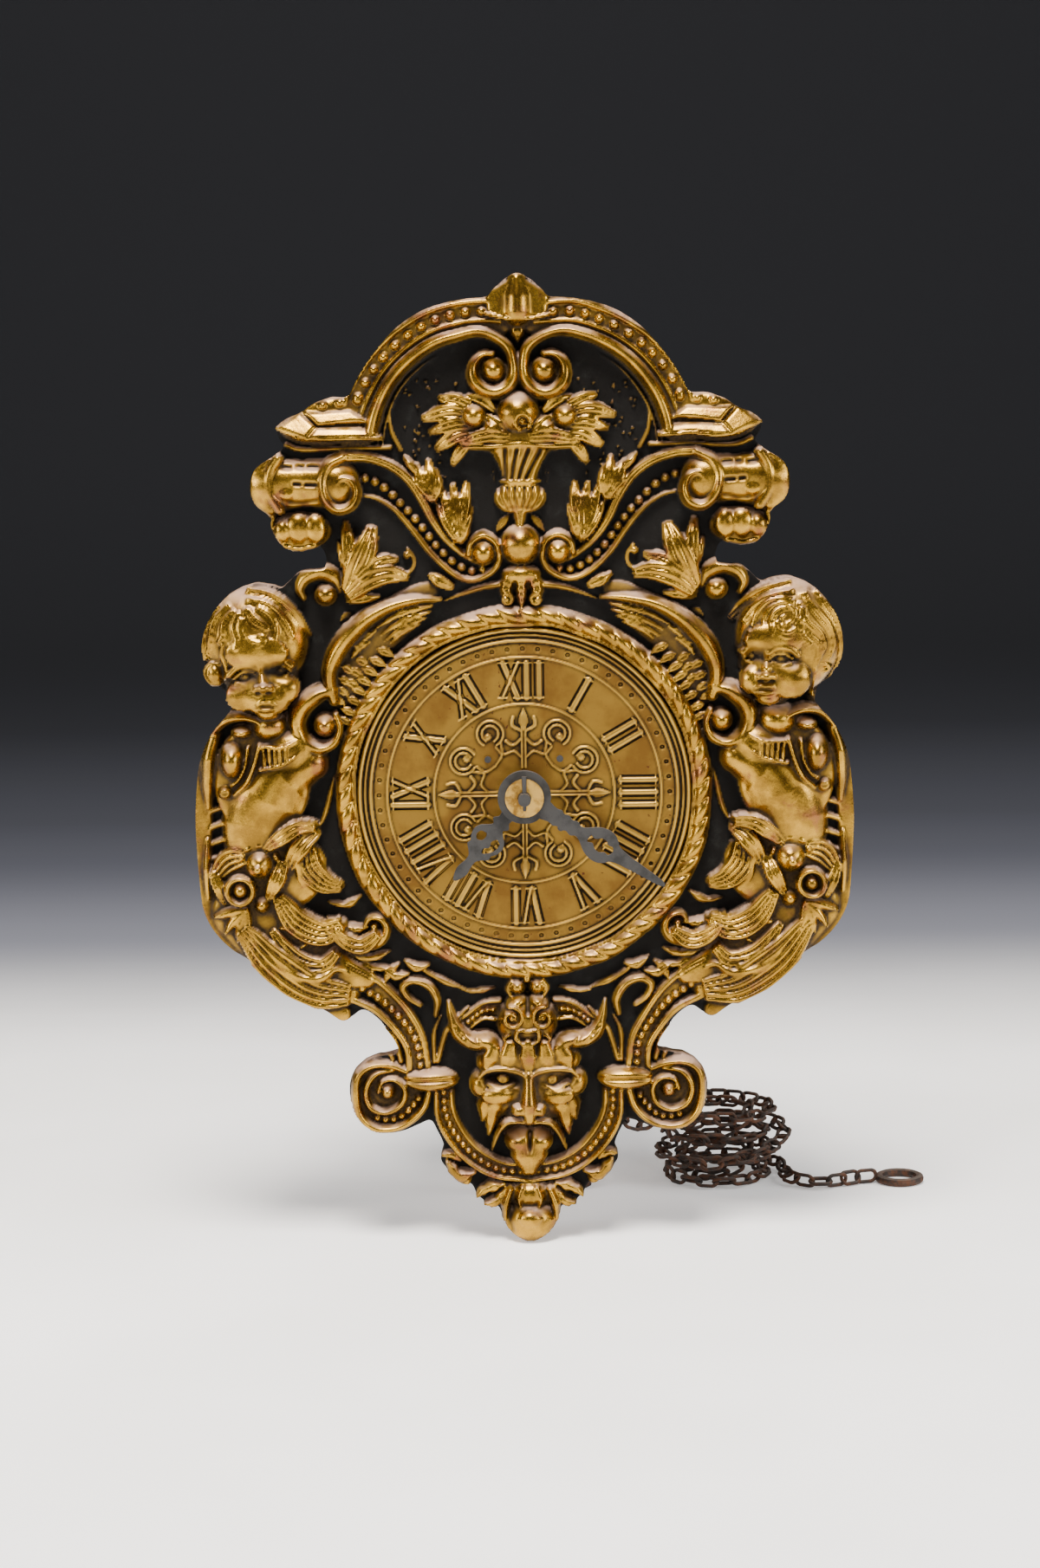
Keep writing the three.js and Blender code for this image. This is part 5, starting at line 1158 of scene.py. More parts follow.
        r.cut(arc(54.6, -17.6, 1.6, 0, 360, 12), 0.6, 0.8, tarnish=0.4)
        r.dome(54.6, -17.6, 1.3, 1.3, 1.6, base=5.2)
        for tip in ((52.6, -27.0), (55.4, -27.8), (58.0, -26.4), (60.2, -23.0)):
            r.leaf([(53.4, -21.2), (0.5 * (53.4 + tip[0]) + 0.4, 0.5 * (tip[1] - 21.2)), tip], 2.8, 5.4, veins=0)
        r.ridge([(61.0, -8.0), (61.2, -14.0), (61.0, -19.4)], [1.2, 1.8, 1.2], [2.2, 3.0, 2.4])
        fold = [(34.4, -38.6), (41.0, -37.4), (48.4, -32.2), (54.2, -25.4)]
        r.ridge(fold, [5.0, 8.4, 7.4, 3.0], [2.8, 4.6, 4.8, 3.8], power=0.6)
        r.lock(fold, 7.4, 5, 0.9)
        r.ridge([(33.6, -35.0), (36.6, -33.4), (40.2, -35.0), (46.4, -33.0), (51.6, -26.4)], [1.4, 3.0, 3.0, 2.4, 1.0],
                [2.8, 5.4, 5.8, 5.4, 4.0], power=0.4)
        for points, width, strands, height in (
            ([(35.4, -24.8), (39.4, -26.2), (44.0, -24.0), (47.4, -19.2)], 5.4, 5, 4.2),
            ([(36.6, -30.2), (39.4, -32.4), (44.4, -30.8), (48.8, -25.6)], 3.4, 3, 4.0),
            ([(28.6, -26.6), (31.6, -28.6), (35.0, -27.6), (37.0, -25.6)], 3.6, 3, 4.0),
        ):
            r.ridge(points, [0.5 * width, width, width, 0.4 * width], height, power=0.7)
            r.lock(points, width, strands, 1.0)
        r.ridge([(47.0, -25.0), (44.6, -25.8), (42.2, -28.0), (44.0, -29.4)], [1.2, 1.4, 1.2, 0.8],
                [4.6, 5.0, 4.6, 3.6])
        for x, z in ((20.6, -34.4), (24.6, -36.0)):
            r.leaf([(x - 1.6, z + 1.2), (x + 0.8, z + 0.8), (x + 3.2, z + 2.4)], 2.2, 2.6, veins=2)

    def pocket(self) -> None:
        """Chases the small scroll, strip and loop in the hollow beside the ring."""
        r = self.relief
        r.leaf([(30.6, -25.4), (34.4, -25.8), (38.4, -23.4)], 3.2, 3.0, veins=5, lobes=2)
        r.ridge([(34.2, -28.8), (31, -29.4), (28, -28.2), (26.9, -25.9), (28.0, -23.9), (30, -23.7), (31, -25.2)],
                [1.6, 2.2, 2.3, 2.0, 1.6, 1.1], [2.2, 3.0, 3.2, 3.0, 2.6])
        r.dome(29.3, -25.4, 1.0, 1.0, 2.6)
        for points, width in (
            ([(34.4, -30.6), (30.2, -31.6), (26.4, -30.4)], 2.4), ([(33.4, -32.4), (29.4, -33.6), (25.8, -33.4)], 2.2),
            ([(27.6, -36.8), (26.6, -34.4), (24.4, -32.6)], 2.0), ([(12.0, -38.2), (16.8, -36.2), (22.0, -32.8)], 1.6),
            ([(6.4, -38.0), (9.8, -38.6), (12.6, -38.4)], 1.4), ([(31.6, -19.4), (34.6, -21.2), (38.2, -20.8)], 1.8),
        ):
            r.leaf(points, width, 2.2, veins=3, lobes=2)
        r.ridge([(17.8, -43.4), (17.4, -40.4), (19.0, -37.4), (22, -36.2), (24, -37.4), (23.2, -39.6), (20.8, -41.4)],
                [1.0, 1.8, 2.0, 1.9, 1.6, 1.0], [1.6, 2.6, 2.8, 2.6, 2.2])

    def lower_scroll(self) -> None:
        """Chases the bead scroll, its cuff and the volute beside the mask."""
        r = self.relief
        r.ridge([(34.4, -34.4), (29.6, -37.2), (25.2, -41.8), (22.2, -47.6), (21.4, -53.6)], 4.6, 1.3, power=0.25)
        for points in ([(34.4, -32.6), (29.8, -35.2), (25.4, -39.4), (22.4, -43.6), (20.4, -48), (19.5, -53.6)],
                       [(34.2, -39.6), (29.2, -42.2), (25.5, -46.4), (23.6, -50), (23.2, -53.6)]):
            r.ridge(points, [1.5, 1.5, 1.4], [2.8, 2.8, 2.4])
            r.cut(points, 0.35, 0.5)
        r.beads([(33.2, -36.6), (31.3, -38), (29.7, -39), (28.3, -40), (27, -41.2), (25.7, -42.6), (24.5, -44),
                 (23.3, -45.5), (22.4, -46.9), (21.8, -48.5), (21.4, -50), (21.2, -51.6), (21.1, -53)], 13, 0.8, 1.5,
                base=0.9)
        for points, width, height in (
            ([(17.6, -52.4), (15.4, -46), (11.6, -41.8)], 1.2, 1.6),
            ([(18.3, -52.6), (18.2, -47), (16.8, -43.6)], 1.0, 1.4),
            ([(24.8, -52.2), (26.4, -47.4), (30.6, -43.6)], 1.3, 1.8),
            ([(26.4, -52), (28.4, -48.4), (31.8, -45.2)], 1.0, 1.4),
        ):
            r.ridge(points, [width, width, 0.4 * width], height)
        r.dome(19, -55.9, 5.6, 2.3, 4.4, power=0.3)
        r.cut([(13.8, -55.8), (24.2, -55.8)], 0.8, 0.8)
        r.dome(27.4, -58.4, 6.6, 6.2, 1.5, power=0.25)
        r.ridge([(23.8, -54.2), (27, -53.0), (30.6, -53.0), (33.1, -54.9), (33.6, -58.6), (32.8, -62.4), (30.2, -65.0),
                 (26.4, -65.3), (23.2, -64), (20.6, -61.4), (19.5, -58.4)], [1.4, 1.8, 2.2, 2.0, 1.8, 1.7],
                [2.2, 3.2, 3.6, 3.2, 2.8])
        r.ridge([(26.2, -54.0), (29.6, -54.6), (31.6, -57.4), (30.8, -60.8), (27.8, -62.0), (24.8, -60.6),
                 (24.0, -57.6), (25.8, -55.6), (28.2, -56), (29.1, -58)], [1.0, 1.7, 1.8, 1.7, 1.5, 1.3, 0.9],
                [2.0, 3.2, 3.6, 3.6, 3.8, 3.6])
        r.dome(27.2, -58.0, 1.7, 1.7, 4.4)
        r.beads([(21.6, -59.4), (22.9, -61.2), (24.4, -62.6), (26, -63.4), (27.8, -63.6), (29.4, -63.2)], 7, 0.7, 1.4,
                base=1.2)

    def mask(self) -> None:
        """Chases the horned mask: brow, eyes, nose, moustache, tongue and horns."""
        r = self.relief
        r.dome(0, -52.2, 10.2, 4.8, 5.3, power=0.26)
        r.dome(0, -58.4, 9.0, 6.6, 5.2, power=0.3, soft=0.8)
        for points, base in (([(0, -48.4), (0, -50.8), (0, -53.2)], 5.0),
                             ([(3.3, -48.7), (3.7, -50.9), (4.1, -52.9)], 4.8),
                             ([(6.4, -49.4), (7.3, -51.2), (7.8, -52.9)], 4.3)):
            r.ridge(points, [2.4, 3.2, 1.8], [0.9, 1.1, 0.5], base=base, soft=0.8)
        r.dome(9.0, -56.6, 2.6, 3.0, 4.9, power=0.4, soft=0.5)
        r.ridge([(0.5, -54.6), (2.6, -53.6), (5.4, -53.2), (8.2, -53.7), (9.6, -55.0)], [1.2, 1.4, 1.2, 1.0, 0.6],
                [1.2, 1.4, 1.3, 1.0, 0.8], base=4.9)
        r.ridge([(2.7, -56.2), (5.0, -57.0), (7.6, -56.3)], 0.9, 1.1, base=4.6)
        # the eye sockets, pupils, nostrils, mouth and grooves of the mask lose their gilding: painted shade in them,
        # with tarnish
        r.cut([(2.5, -55.5), (4.9, -55.2), (7.7, -55.4)], 2.3, [1.6, 2.2, 1.4], tarnish=1.0)
        r.dome(4.8, -55.4, 1.2, 0.95, 2.1, base=3.6, soft=0.1)
        r.cut([(4.7, -55.5), (4.9, -55.5)], 0.6, 0.9, tarnish=1.0)
        r.dome(5.9, -58.6, 3.1, 1.9, 1.4, base=4.9, power=0.7, soft=0.6)
        r.ridge([(0, -54.4), (0, -57.6), (0, -60.8), (0, -62.6)], [2.0, 2.4, 3.4, 2.6], [1.2, 2.2, 3.2, 2.6], base=5.1,
                soft=0.6)
        r.dome(2.0, -61.2, 1.5, 1.3, 2.2, base=5.3)
        r.cut([(1.2, -62.7), (1.8, -62.5)], 0.8, 1.2, tarnish=0.9)
        r.ridge([(5.2, -58.6), (6.6, -61.4), (7.2, -64.0), (7.8, -67.0)], [4.8, 4.8, 3.4, 0.6], [5.3, 5.2, 4.2, 2.4],
                power=0.4)
        r.ridge([(7.6, -58.4), (8.6, -61.0), (9.1, -64.0)], [3.6, 3.4, 0.8], [4.8, 4.5, 2.6])
        for drift in (-0.9, 0.4):
            r.cut([(6.6 + drift, -62.0), (7.0 + drift, -63.8), (7.4 + drift, -65.6)], 0.4, 0.4)
        r.cut([(3.3, -61.2), (4.2, -62.2), (5.2, -64.4)], 0.7, 1.0, tarnish=0.5)
        r.ridge([(0, -63.8), (2.2, -63.4), (4.4, -64.1), (6.0, -66.6), (7.2, -70.2)], [1.6, 1.9, 1.6, 1.1, 0.4],
                [5.8, 6.6, 6.0, 4.4, 2.4])
        r.cut([(0, -65.6), (2.4, -65.4), (4.2, -66.8)], 1.1, 2.2, tarnish=1.0)
        r.dome(2.1, -68.2, 2.7, 2.4, 5.2, power=0.42)
        r.ridge([(0.9, -67.8), (0.9, -70.8), (0.5, -74.2)], [5.6, 5.6, 2.6], [5.0, 5.4, 3.8], power=0.45)
        r.cut([(0, -66.2), (0, -67.8), (0, -69.8)], 0.8, [1.8, 1.0, 0.2], tarnish=0.5)
        horn = [(5.0, -50.8), (7.4, -48.4), (10.4, -48.2), (13.0, -46.8), (14.4, -43.8), (15.2, -40.6)]
        r.ridge(horn, [3.2, 3.9, 3.9, 3.8, 2.3, 0.7], [4.8, 5.0, 4.8, 4.2, 3.0, 1.8])
        for share in (0.35, 0.5, 0.62):
            x, z = catmull(horn)[int(share * len(catmull(horn)))]
            r.cut([(x - 0.9, z - 0.9), (x + 0.5, z + 0.9)], 0.5, 0.5)

    def crest(self) -> None:
        """Chases the tuft of curls over the mask, the beaded bands beside it and the knot above."""
        r = self.relief
        r.dome(0, -44.8, 6.0, 5.2, 5.4, power=0.42)
        r.spiral(3.0, -43.4, 2.3, 1.3, 80, 1.6, 6.2, ball=0.8)
        r.ridge([(0.2, -45.8), (1.8, -45.6), (2.2, -47.2), (0.8, -48.4)], [1.0, 1.3, 1.3, 0.8], 6.6)
        r.ridge([(3.4, -46.6), (4.4, -47.4), (2.6, -49.0)], [1.0, 1.3, 0.8], 5.4)
        r.dome(2.0, -40.6, 2.3, 1.5, 5.0, tilt=-10)
        # the parting loses half its gilding: painted shade, with tarnish
        r.cut([(0, -39.6), (0, -42.4)], 0.7, 1.2, tarnish=0.5)
        for line in ([(5.2, -40.6), (8.8, -41.0), (12.8, -44.0)], [(6.2, -44.2), (8.8, -44.0), (11.6, -46.0)]):
            r.ridge(line, 0.9, [2.6, 2.4, 1.6])
        r.ridge([(5.6, -42.4), (8.8, -42.4), (12.0, -45.0)], 2.8, 1.3, power=0.4)
        r.beads([(6.6, -42.3), (9.0, -42.6), (11.6, -44.6)], 6, 0.62, 2.4)
        r.dome(1.9, -37.7, 1.7, 1.9, 3.8, tilt=-20)
        r.ridge([(3.0, -36.4), (3.8, -38.0), (3.2, -39.4)], 1.2, 2.8)
        r.dome(0, -36.2, 0.9, 1.0, 3.2)

    def frame_below(self) -> None:
        """Chases the beaded frame round the mask."""
        r = self.relief
        outer = [(18.0, -58.4), (17.8, -63), (15.8, -67.6), (12.3, -71.8), (7, -75.1), (0, -76.3)]
        inner = [(15.0, -58.4), (14.6, -62.2), (12.5, -66.6), (9.2, -70.2), (4.8, -72.5), (0, -73.3)]
        middle = [((a + c) / 2, (b + d) / 2) for (a, b), (c, d) in zip(outer, inner)]
        r.ridge(middle, 4.4, 1.5, power=0.25)
        r.ridge(outer, 1.2, 2.9)
        r.ridge(inner, 1.0, 2.7)
        r.beads(middle, 17, 0.72, 1.5, base=1.0)

    def finial(self) -> None:
        """Chases the leaves and the hanging bud at the foot."""
        r = self.relief
        for points, width, height in (
            ([(10.6, -74.4), (13.6, -75.0), (16.4, -71.6)], 3.4, 3.2),
            ([(13.4, -72.0), (15.4, -70.8), (17.6, -71.0)], 2.0, 2.4),
            ([(11.0, -74.8), (13.2, -77.4), (15.2, -76.6)], 1.8, 2.2),
            ([(5.0, -76.8), (8.4, -77.8), (10.6, -79.6)], 3.0, 3.4),
            ([(4.6, -77.4), (6.6, -80.4), (9.4, -80.8)], 2.6, 3.4),
        ):
            r.leaf(points, width, height, veins=3, lobes=2 if width > 2.8 else 0)
        r.dome(0, -79.0, 4.4, 3.0, 4.4, power=0.42)
        for points in ([(1.4, -77.2), (2.0, -79.4), (1.6, -81.4)], [(3.8, -77.6), (4.8, -80.4), (5.0, -83.6)]):
            r.ridge(points, [1.6, 2.4, 1.2], [4.6, 5.0, 4.0])
        r.dome(0, -84.2, 5.3, 4.5, 6.0, power=0.45)
        r.dome(0, -83.0, 2.2, 1.6, 1.0, base=5.6, power=0.8, soft=0.8)
        # the groove loses part of its gilding: painted shade, with tarnish
        r.cut([(3.4, -81.6), (4.0, -83.6), (3.6, -85.4)], 0.9, 0.9, tarnish=0.6)

    def build(self) -> Relief:
        """Chases both halves of the front.

        Returns:
            The finished relief.
        """
        r = self.relief
        for r.side in (1, -1):
            for form in (self.edges, self.arch, self.cornice, self.sprigs, self.bowl, self.fruit, self.scroll,
                         self.acanthus, self.roll, self.torso, self.cherub, self.wing, self.garland, self.pocket,
                         self.lower_scroll, self.frame_below, self.mask, self.crest, self.finial):
                form()
        r.side = 1
        self.ring()
        for r.side in (1, -1):
            self.crown()
        r.side = 1
        return r


# half the room that a letter takes, and its strokes: two ends, across in mm and up in shares, and thick or thin
LETTERS = {
    "I": (1.2, [((0, 0), (0, 1), True)]),
    "V": (1.9, [((-1.45, 1), (0, 0), True), ((1.5, 1), (0.3, 0), False)]),
    "X": (1.9, [((-1.4, 1), (1.4, 0), True), ((1.5, 1), (-1.5, 0), False)]),
}
NUMERALS = ("XII", "I", "II", "III", "IIII", "V", "VI", "VII", "VIII", "IX", "X", "XI")


@dataclass
class DialRelief:
    """The pressed dial: steps, pits, raised numerals and the scrolled cross in the middle."""

    pitch: float = 0.2
    radius: float = 32.0
    numeral_low: float = 18.5
    numeral_high: float = 25.2
    thick_half: float = 0.52
    thin_half: float = 0.25
    minute_radius: float = 27.9
    relief: Relief = field(init=False)

    def __post_init__(self) -> None:
        """Lays out the grid."""
        reach = self.radius + 0.6
        self.relief = Relief(-reach, reach, -reach, reach, self.pitch)

    def stroke(self, start: Point, end: Point, thick: bool) -> None:
        """Draws one stroke of a numeral between two engraved lines.

        Args:
            start: Its foot.
            end: Its top.
            thick: Whether it is a thick stroke.
        """
        r = self.relief
        a, b = np.array(start), np.array(end)
        along = (b - a) / np.linalg.norm(b - a)
        across = np.array([-along[1], along[0]])
        half = self.thick_half if thick else self.thin_half
        r.ridge([a, b], 2 * half, 0.4, power=0.22)
        for side in (-1, 1):
            shift = across * side * (half + 0.22)
            r.cut([a + shift, b + shift], 0.4, 0.3)

    def numeral(self, text: str, hour: int) -> None:
        """Draws a numeral with its feet towards the centre.

        Args:
            text: Its letters.
            hour: The hour that it stands at.
        """
        angle = math.radians(30 * hour)
        up, right = np.array([math.sin(angle), math.cos(angle)]), np.array([math.cos(angle), -math.sin(angle)])
        half = [LETTERS[letter][0] for letter in text]
        place = -sum(half)
        rise = self.numeral_high - self.numeral_low

        def point(across: float, share: float) -> np.ndarray:
            """Places a point of the numeral on the dial."""
            return right * across + up * (self.numeral_low + rise * share)
        for letter, width in zip(text, half):
            middle = place + width
            place += 2 * width
            for (x1, s1), (x2, s2), thick in LETTERS[letter][1]:
                self.stroke(point(middle + x1, s1), point(middle + x2, s2), thick)
                for x, s in ((x1, s1), (x2, s2)):
                    self.relief.ridge([point(middle + x - 0.85, s), point(middle + x + 0.85, s)], 0.36, 0.36)

    def cross(self) -> None:
        """Draws the four barbed spears and the scrolls between them."""
        r = self.relief
        for quarter in range(4):
            angle = math.radians(90 * quarter)
            turn = np.array([[math.cos(angle), -math.sin(angle)], [math.sin(angle), math.cos(angle)]])

            def at(points: Points) -> list[np.ndarray]:
                """Turns points into this quarter."""
                return [turn @ np.array(p) for p in points]
            for side in (-1, 1):
                r.ridge(at([(0.34 * side, 5), (0.34 * side, 13.0)]), 0.42, 0.42)
            r.ridge(at([(0, 12.4), (0, 16.4)]), [0.6, 1.9, 1.5, 0.2], 0.5, power=0.8)
            for side in (-1, 1):
                r.ridge(at([(0.5 * side, 12.2), (2.2 * side, 13.2), (2.0 * side, 14.8)]), 0.6, 0.4)
                r.ridge(at([(0.5 * side, 10.6), (2.0 * side, 9.4), (3.4 * side, 10.2)]), 0.6, 0.4)
                r.ridge(at([(0.6 * side, 7.2), (1.9 * side, 8.2), (3.9 * side, 7.6), (5.3 * side, 9.0)]), 0.5, 0.35)
                for radius in (2.5, 1.6):
                    r.ridge(at(arc(6.4 * side, 11.6, radius, 90 - 150 * side, 90 + 150 * side, 14)), 0.5, 0.42)
                r.dome(*at([(6.9 * side, 10.9)])[0], 0.75, 0.75, 0.5)
                r.ridge(at([(4.4 * side, 9.9), (4.2 * side, 7.4), (5.4 * side, 5.4)]), 0.5, 0.35)

    def build(self) -> Relief:
        """Draws the whole dial.

        Returns:
            Its relief.
        """
        r = self.relief
        for radius, width, height in ((26.3, 0.5, 0.35), (17.3, 0.5, 0.35), (29.5, 0.7, 0.45), (30.6, 0.5, 0.4),
                                      (31.6, 0.9, 0.8)):
            r.ridge(arc(0, 0, radius, 90, 450, 72), width, height)
        for minute in range(60):
            x, z = arc(0, 0, self.minute_radius, 6 * minute, 0, 1)[0]
            r.dome(x, z, 0.85, 0.85, 0.45)
            r.cut([(x - 0.05, z), (x + 0.05, z)], 0.95, 1.0)
        for hour, text in enumerate(NUMERALS):
            self.numeral(text, hour)
        self.cross()
        r.height += 0.18 * soft_noise(r.height.shape, 7, SEED + 3)
        return r


def inside_loop(loop: np.ndarray, x: np.ndarray, z: np.ndarray) -> np.ndarray:
    """Says which points of a grid lie inside a closed loop.

    Args:
        loop: Points of the loop, as X and Z.
        x: X of the grid's columns.
        z: Z of its rows.

    Returns:
        True for each point that lies inside.
    """
    crossings = np.zeros((len(z), len(x)), dtype=int)
    for a, b in zip(loop, np.roll(loop, -1, axis=0)):
        if a[1] == b[1]:
            continue
        rows = (a[1] > z) != (b[1] > z)
        meet = a[0] + (z[rows] - a[1]) * (b[0] - a[0]) / (b[1] - a[1])
        crossings[rows] += x[None, :] < meet[:, None]
    return crossings % 2 == 1


def closed_line(points: np.ndarray, spacing: float) -> np.ndarray:
    """Draws a smooth closed line through points.

    Args:
        points: Points of the line.
        spacing: Distance between the points that it returns.

    Returns:
        Points along the line, the first one not repeated.
    """
    wrapped = np.vstack([points[-2:], points, points[:2]])
    line = catmull(wrapped, spacing)
    first = np.argmin(np.linalg.norm(line - points[0], axis=1)[: len(line) // 2])
    last = len(line) // 2 + np.argmin(np.linalg.norm(line - points[0], axis=1)[len(line) // 2:])
    return line[first:last]


def inwards(loop: np.ndarray) -> np.ndarray:
    """Finds the inward direction along a counter-clockwise loop.

    Args:
        loop: Points of the loop.

    Returns:
        The direction at each point, one long.
    """
    along = np.roll(loop, -2, axis=0) - np.roll(loop, 2, axis=0)
    along /= np.maximum(np.linalg.norm(along, axis=1), 1e-9)[:, None]
    return np.column_stack([-along[:, 1], along[:, 0]])


def nearest_on(loop: np.ndarray, points: np.ndarray) -> np.ndarray:
    """Moves points onto a closed loop.

    Args:
        loop: Points of the loop.
        points: The points to move.

    Returns:
        The nearest place on the loop for each of them.
    """
    start, step = loop, np.roll(loop, -1, axis=0) - loop
    length = np.maximum((step**2).sum(axis=1), 1e-12)
    moved = np.empty_like(points)
    for i, p in enumerate(points):
        t = np.clip(((p - start) * step).sum(axis=1) / length, 0, 1)
        feet = start + t[:, None] * step
        moved[i] = feet[np.argmin(((feet - p) ** 2).sum(axis=1))]
    return moved


def zipped(points: np.ndarray, first: list[int], second: list[int], window: int = 14) -> list[tuple[int, int, int]]:
    """Joins two closed loops of a mesh with triangles, each point to the nearest point ahead on the other.

    Args:
        points: The mesh's points.
        first: Point numbers of one loop.
        second: Point numbers of the other, running the same way.
        window: How many points ahead it looks.

    Returns:
        The triangles.
    """
    start = int(np.argmin(np.linalg.norm(points[second] - points[first[0]], axis=1)))
    second = second[start:] + second[:start]
    faces, j = [], 0
    for i, here in enumerate(first):
        after = first[(i + 1) % len(first)]
        ahead = [second[k % len(second)] for k in range(j, min(j + window, len(second)) + 1)]
        goal = j + int(np.argmin(np.linalg.norm(points[ahead] - points[after], axis=1)))
        if i == len(first) - 1:
            goal = len(second)
        faces += [(here, second[k % len(second)], second[(k + 1) % len(second)]) for k in range(j, goal)]
        faces.append((here, second[goal % len(second)], after))
        j = goal
    return faces


@dataclass
class Layer:
    """One side of a pressed sheet: grid points with quads between them and the loops at their edges."""

    points: np.ndarray
    faces: np.ndarray
    loops: list[list[int]]
    places: tuple[np.ndarray, np.ndarray]

    @staticmethod
    def of_grid(x: np.ndarray, z: np.ndarray, depth: np.ndarray, keep: np.ndarray) -> "Layer":
        """Makes the side from the cells that are kept.

        Args:
            x: X of the grid's columns.
            z: Z of its rows.
            depth: Y of each grid point.
            keep: Which cells are part of the sheet.

        Returns:
            The side, with its faces turned to -Y.
        """
        keep = keep.copy()
        for _ in range(3):
            corner = keep[:-1, :-1] & keep[1:, 1:] & ~keep[1:, :-1] & ~keep[:-1, 1:]
            keep[:-1, 1:] |= corner
            corner = keep[1:, :-1] & keep[:-1, 1:] & ~keep[:-1, :-1] & ~keep[1:, 1:]
            keep[:-1, :-1] |= corner
        rows, cols = np.nonzero(keep)
        width = len(x)
        quads = np.column_stack([rows * width + cols, rows * width + cols + 1,
                                 (rows + 1) * width + cols + 1, (rows + 1) * width + cols])
        used, faces = np.unique(quads, return_inverse=True)
        faces = faces.reshape(-1, 4)
        place = (used // width, used % width)
        points = np.column_stack([x[place[1]], depth[place], z[place[0]]])
        edges = np.vstack([faces[:, [i, (i + 1) % 4]] for i in range(4)])
        codes = edges[:, 0] * len(used) + edges[:, 1]
        back = edges[:, 1] * len(used) + edges[:, 0]
        after = dict(map(tuple, edges[~np.isin(codes, back)].tolist()))
        loops = []
        while after:
            start, here = next(iter(after.items()))
            del after[start]
            loop = [start]
            while here != start:
                loop.append(here)
                here = after.pop(here)
            loops.append(loop)
        loops.sort(key=len, reverse=True)
        return Layer(points, faces, loops, place)


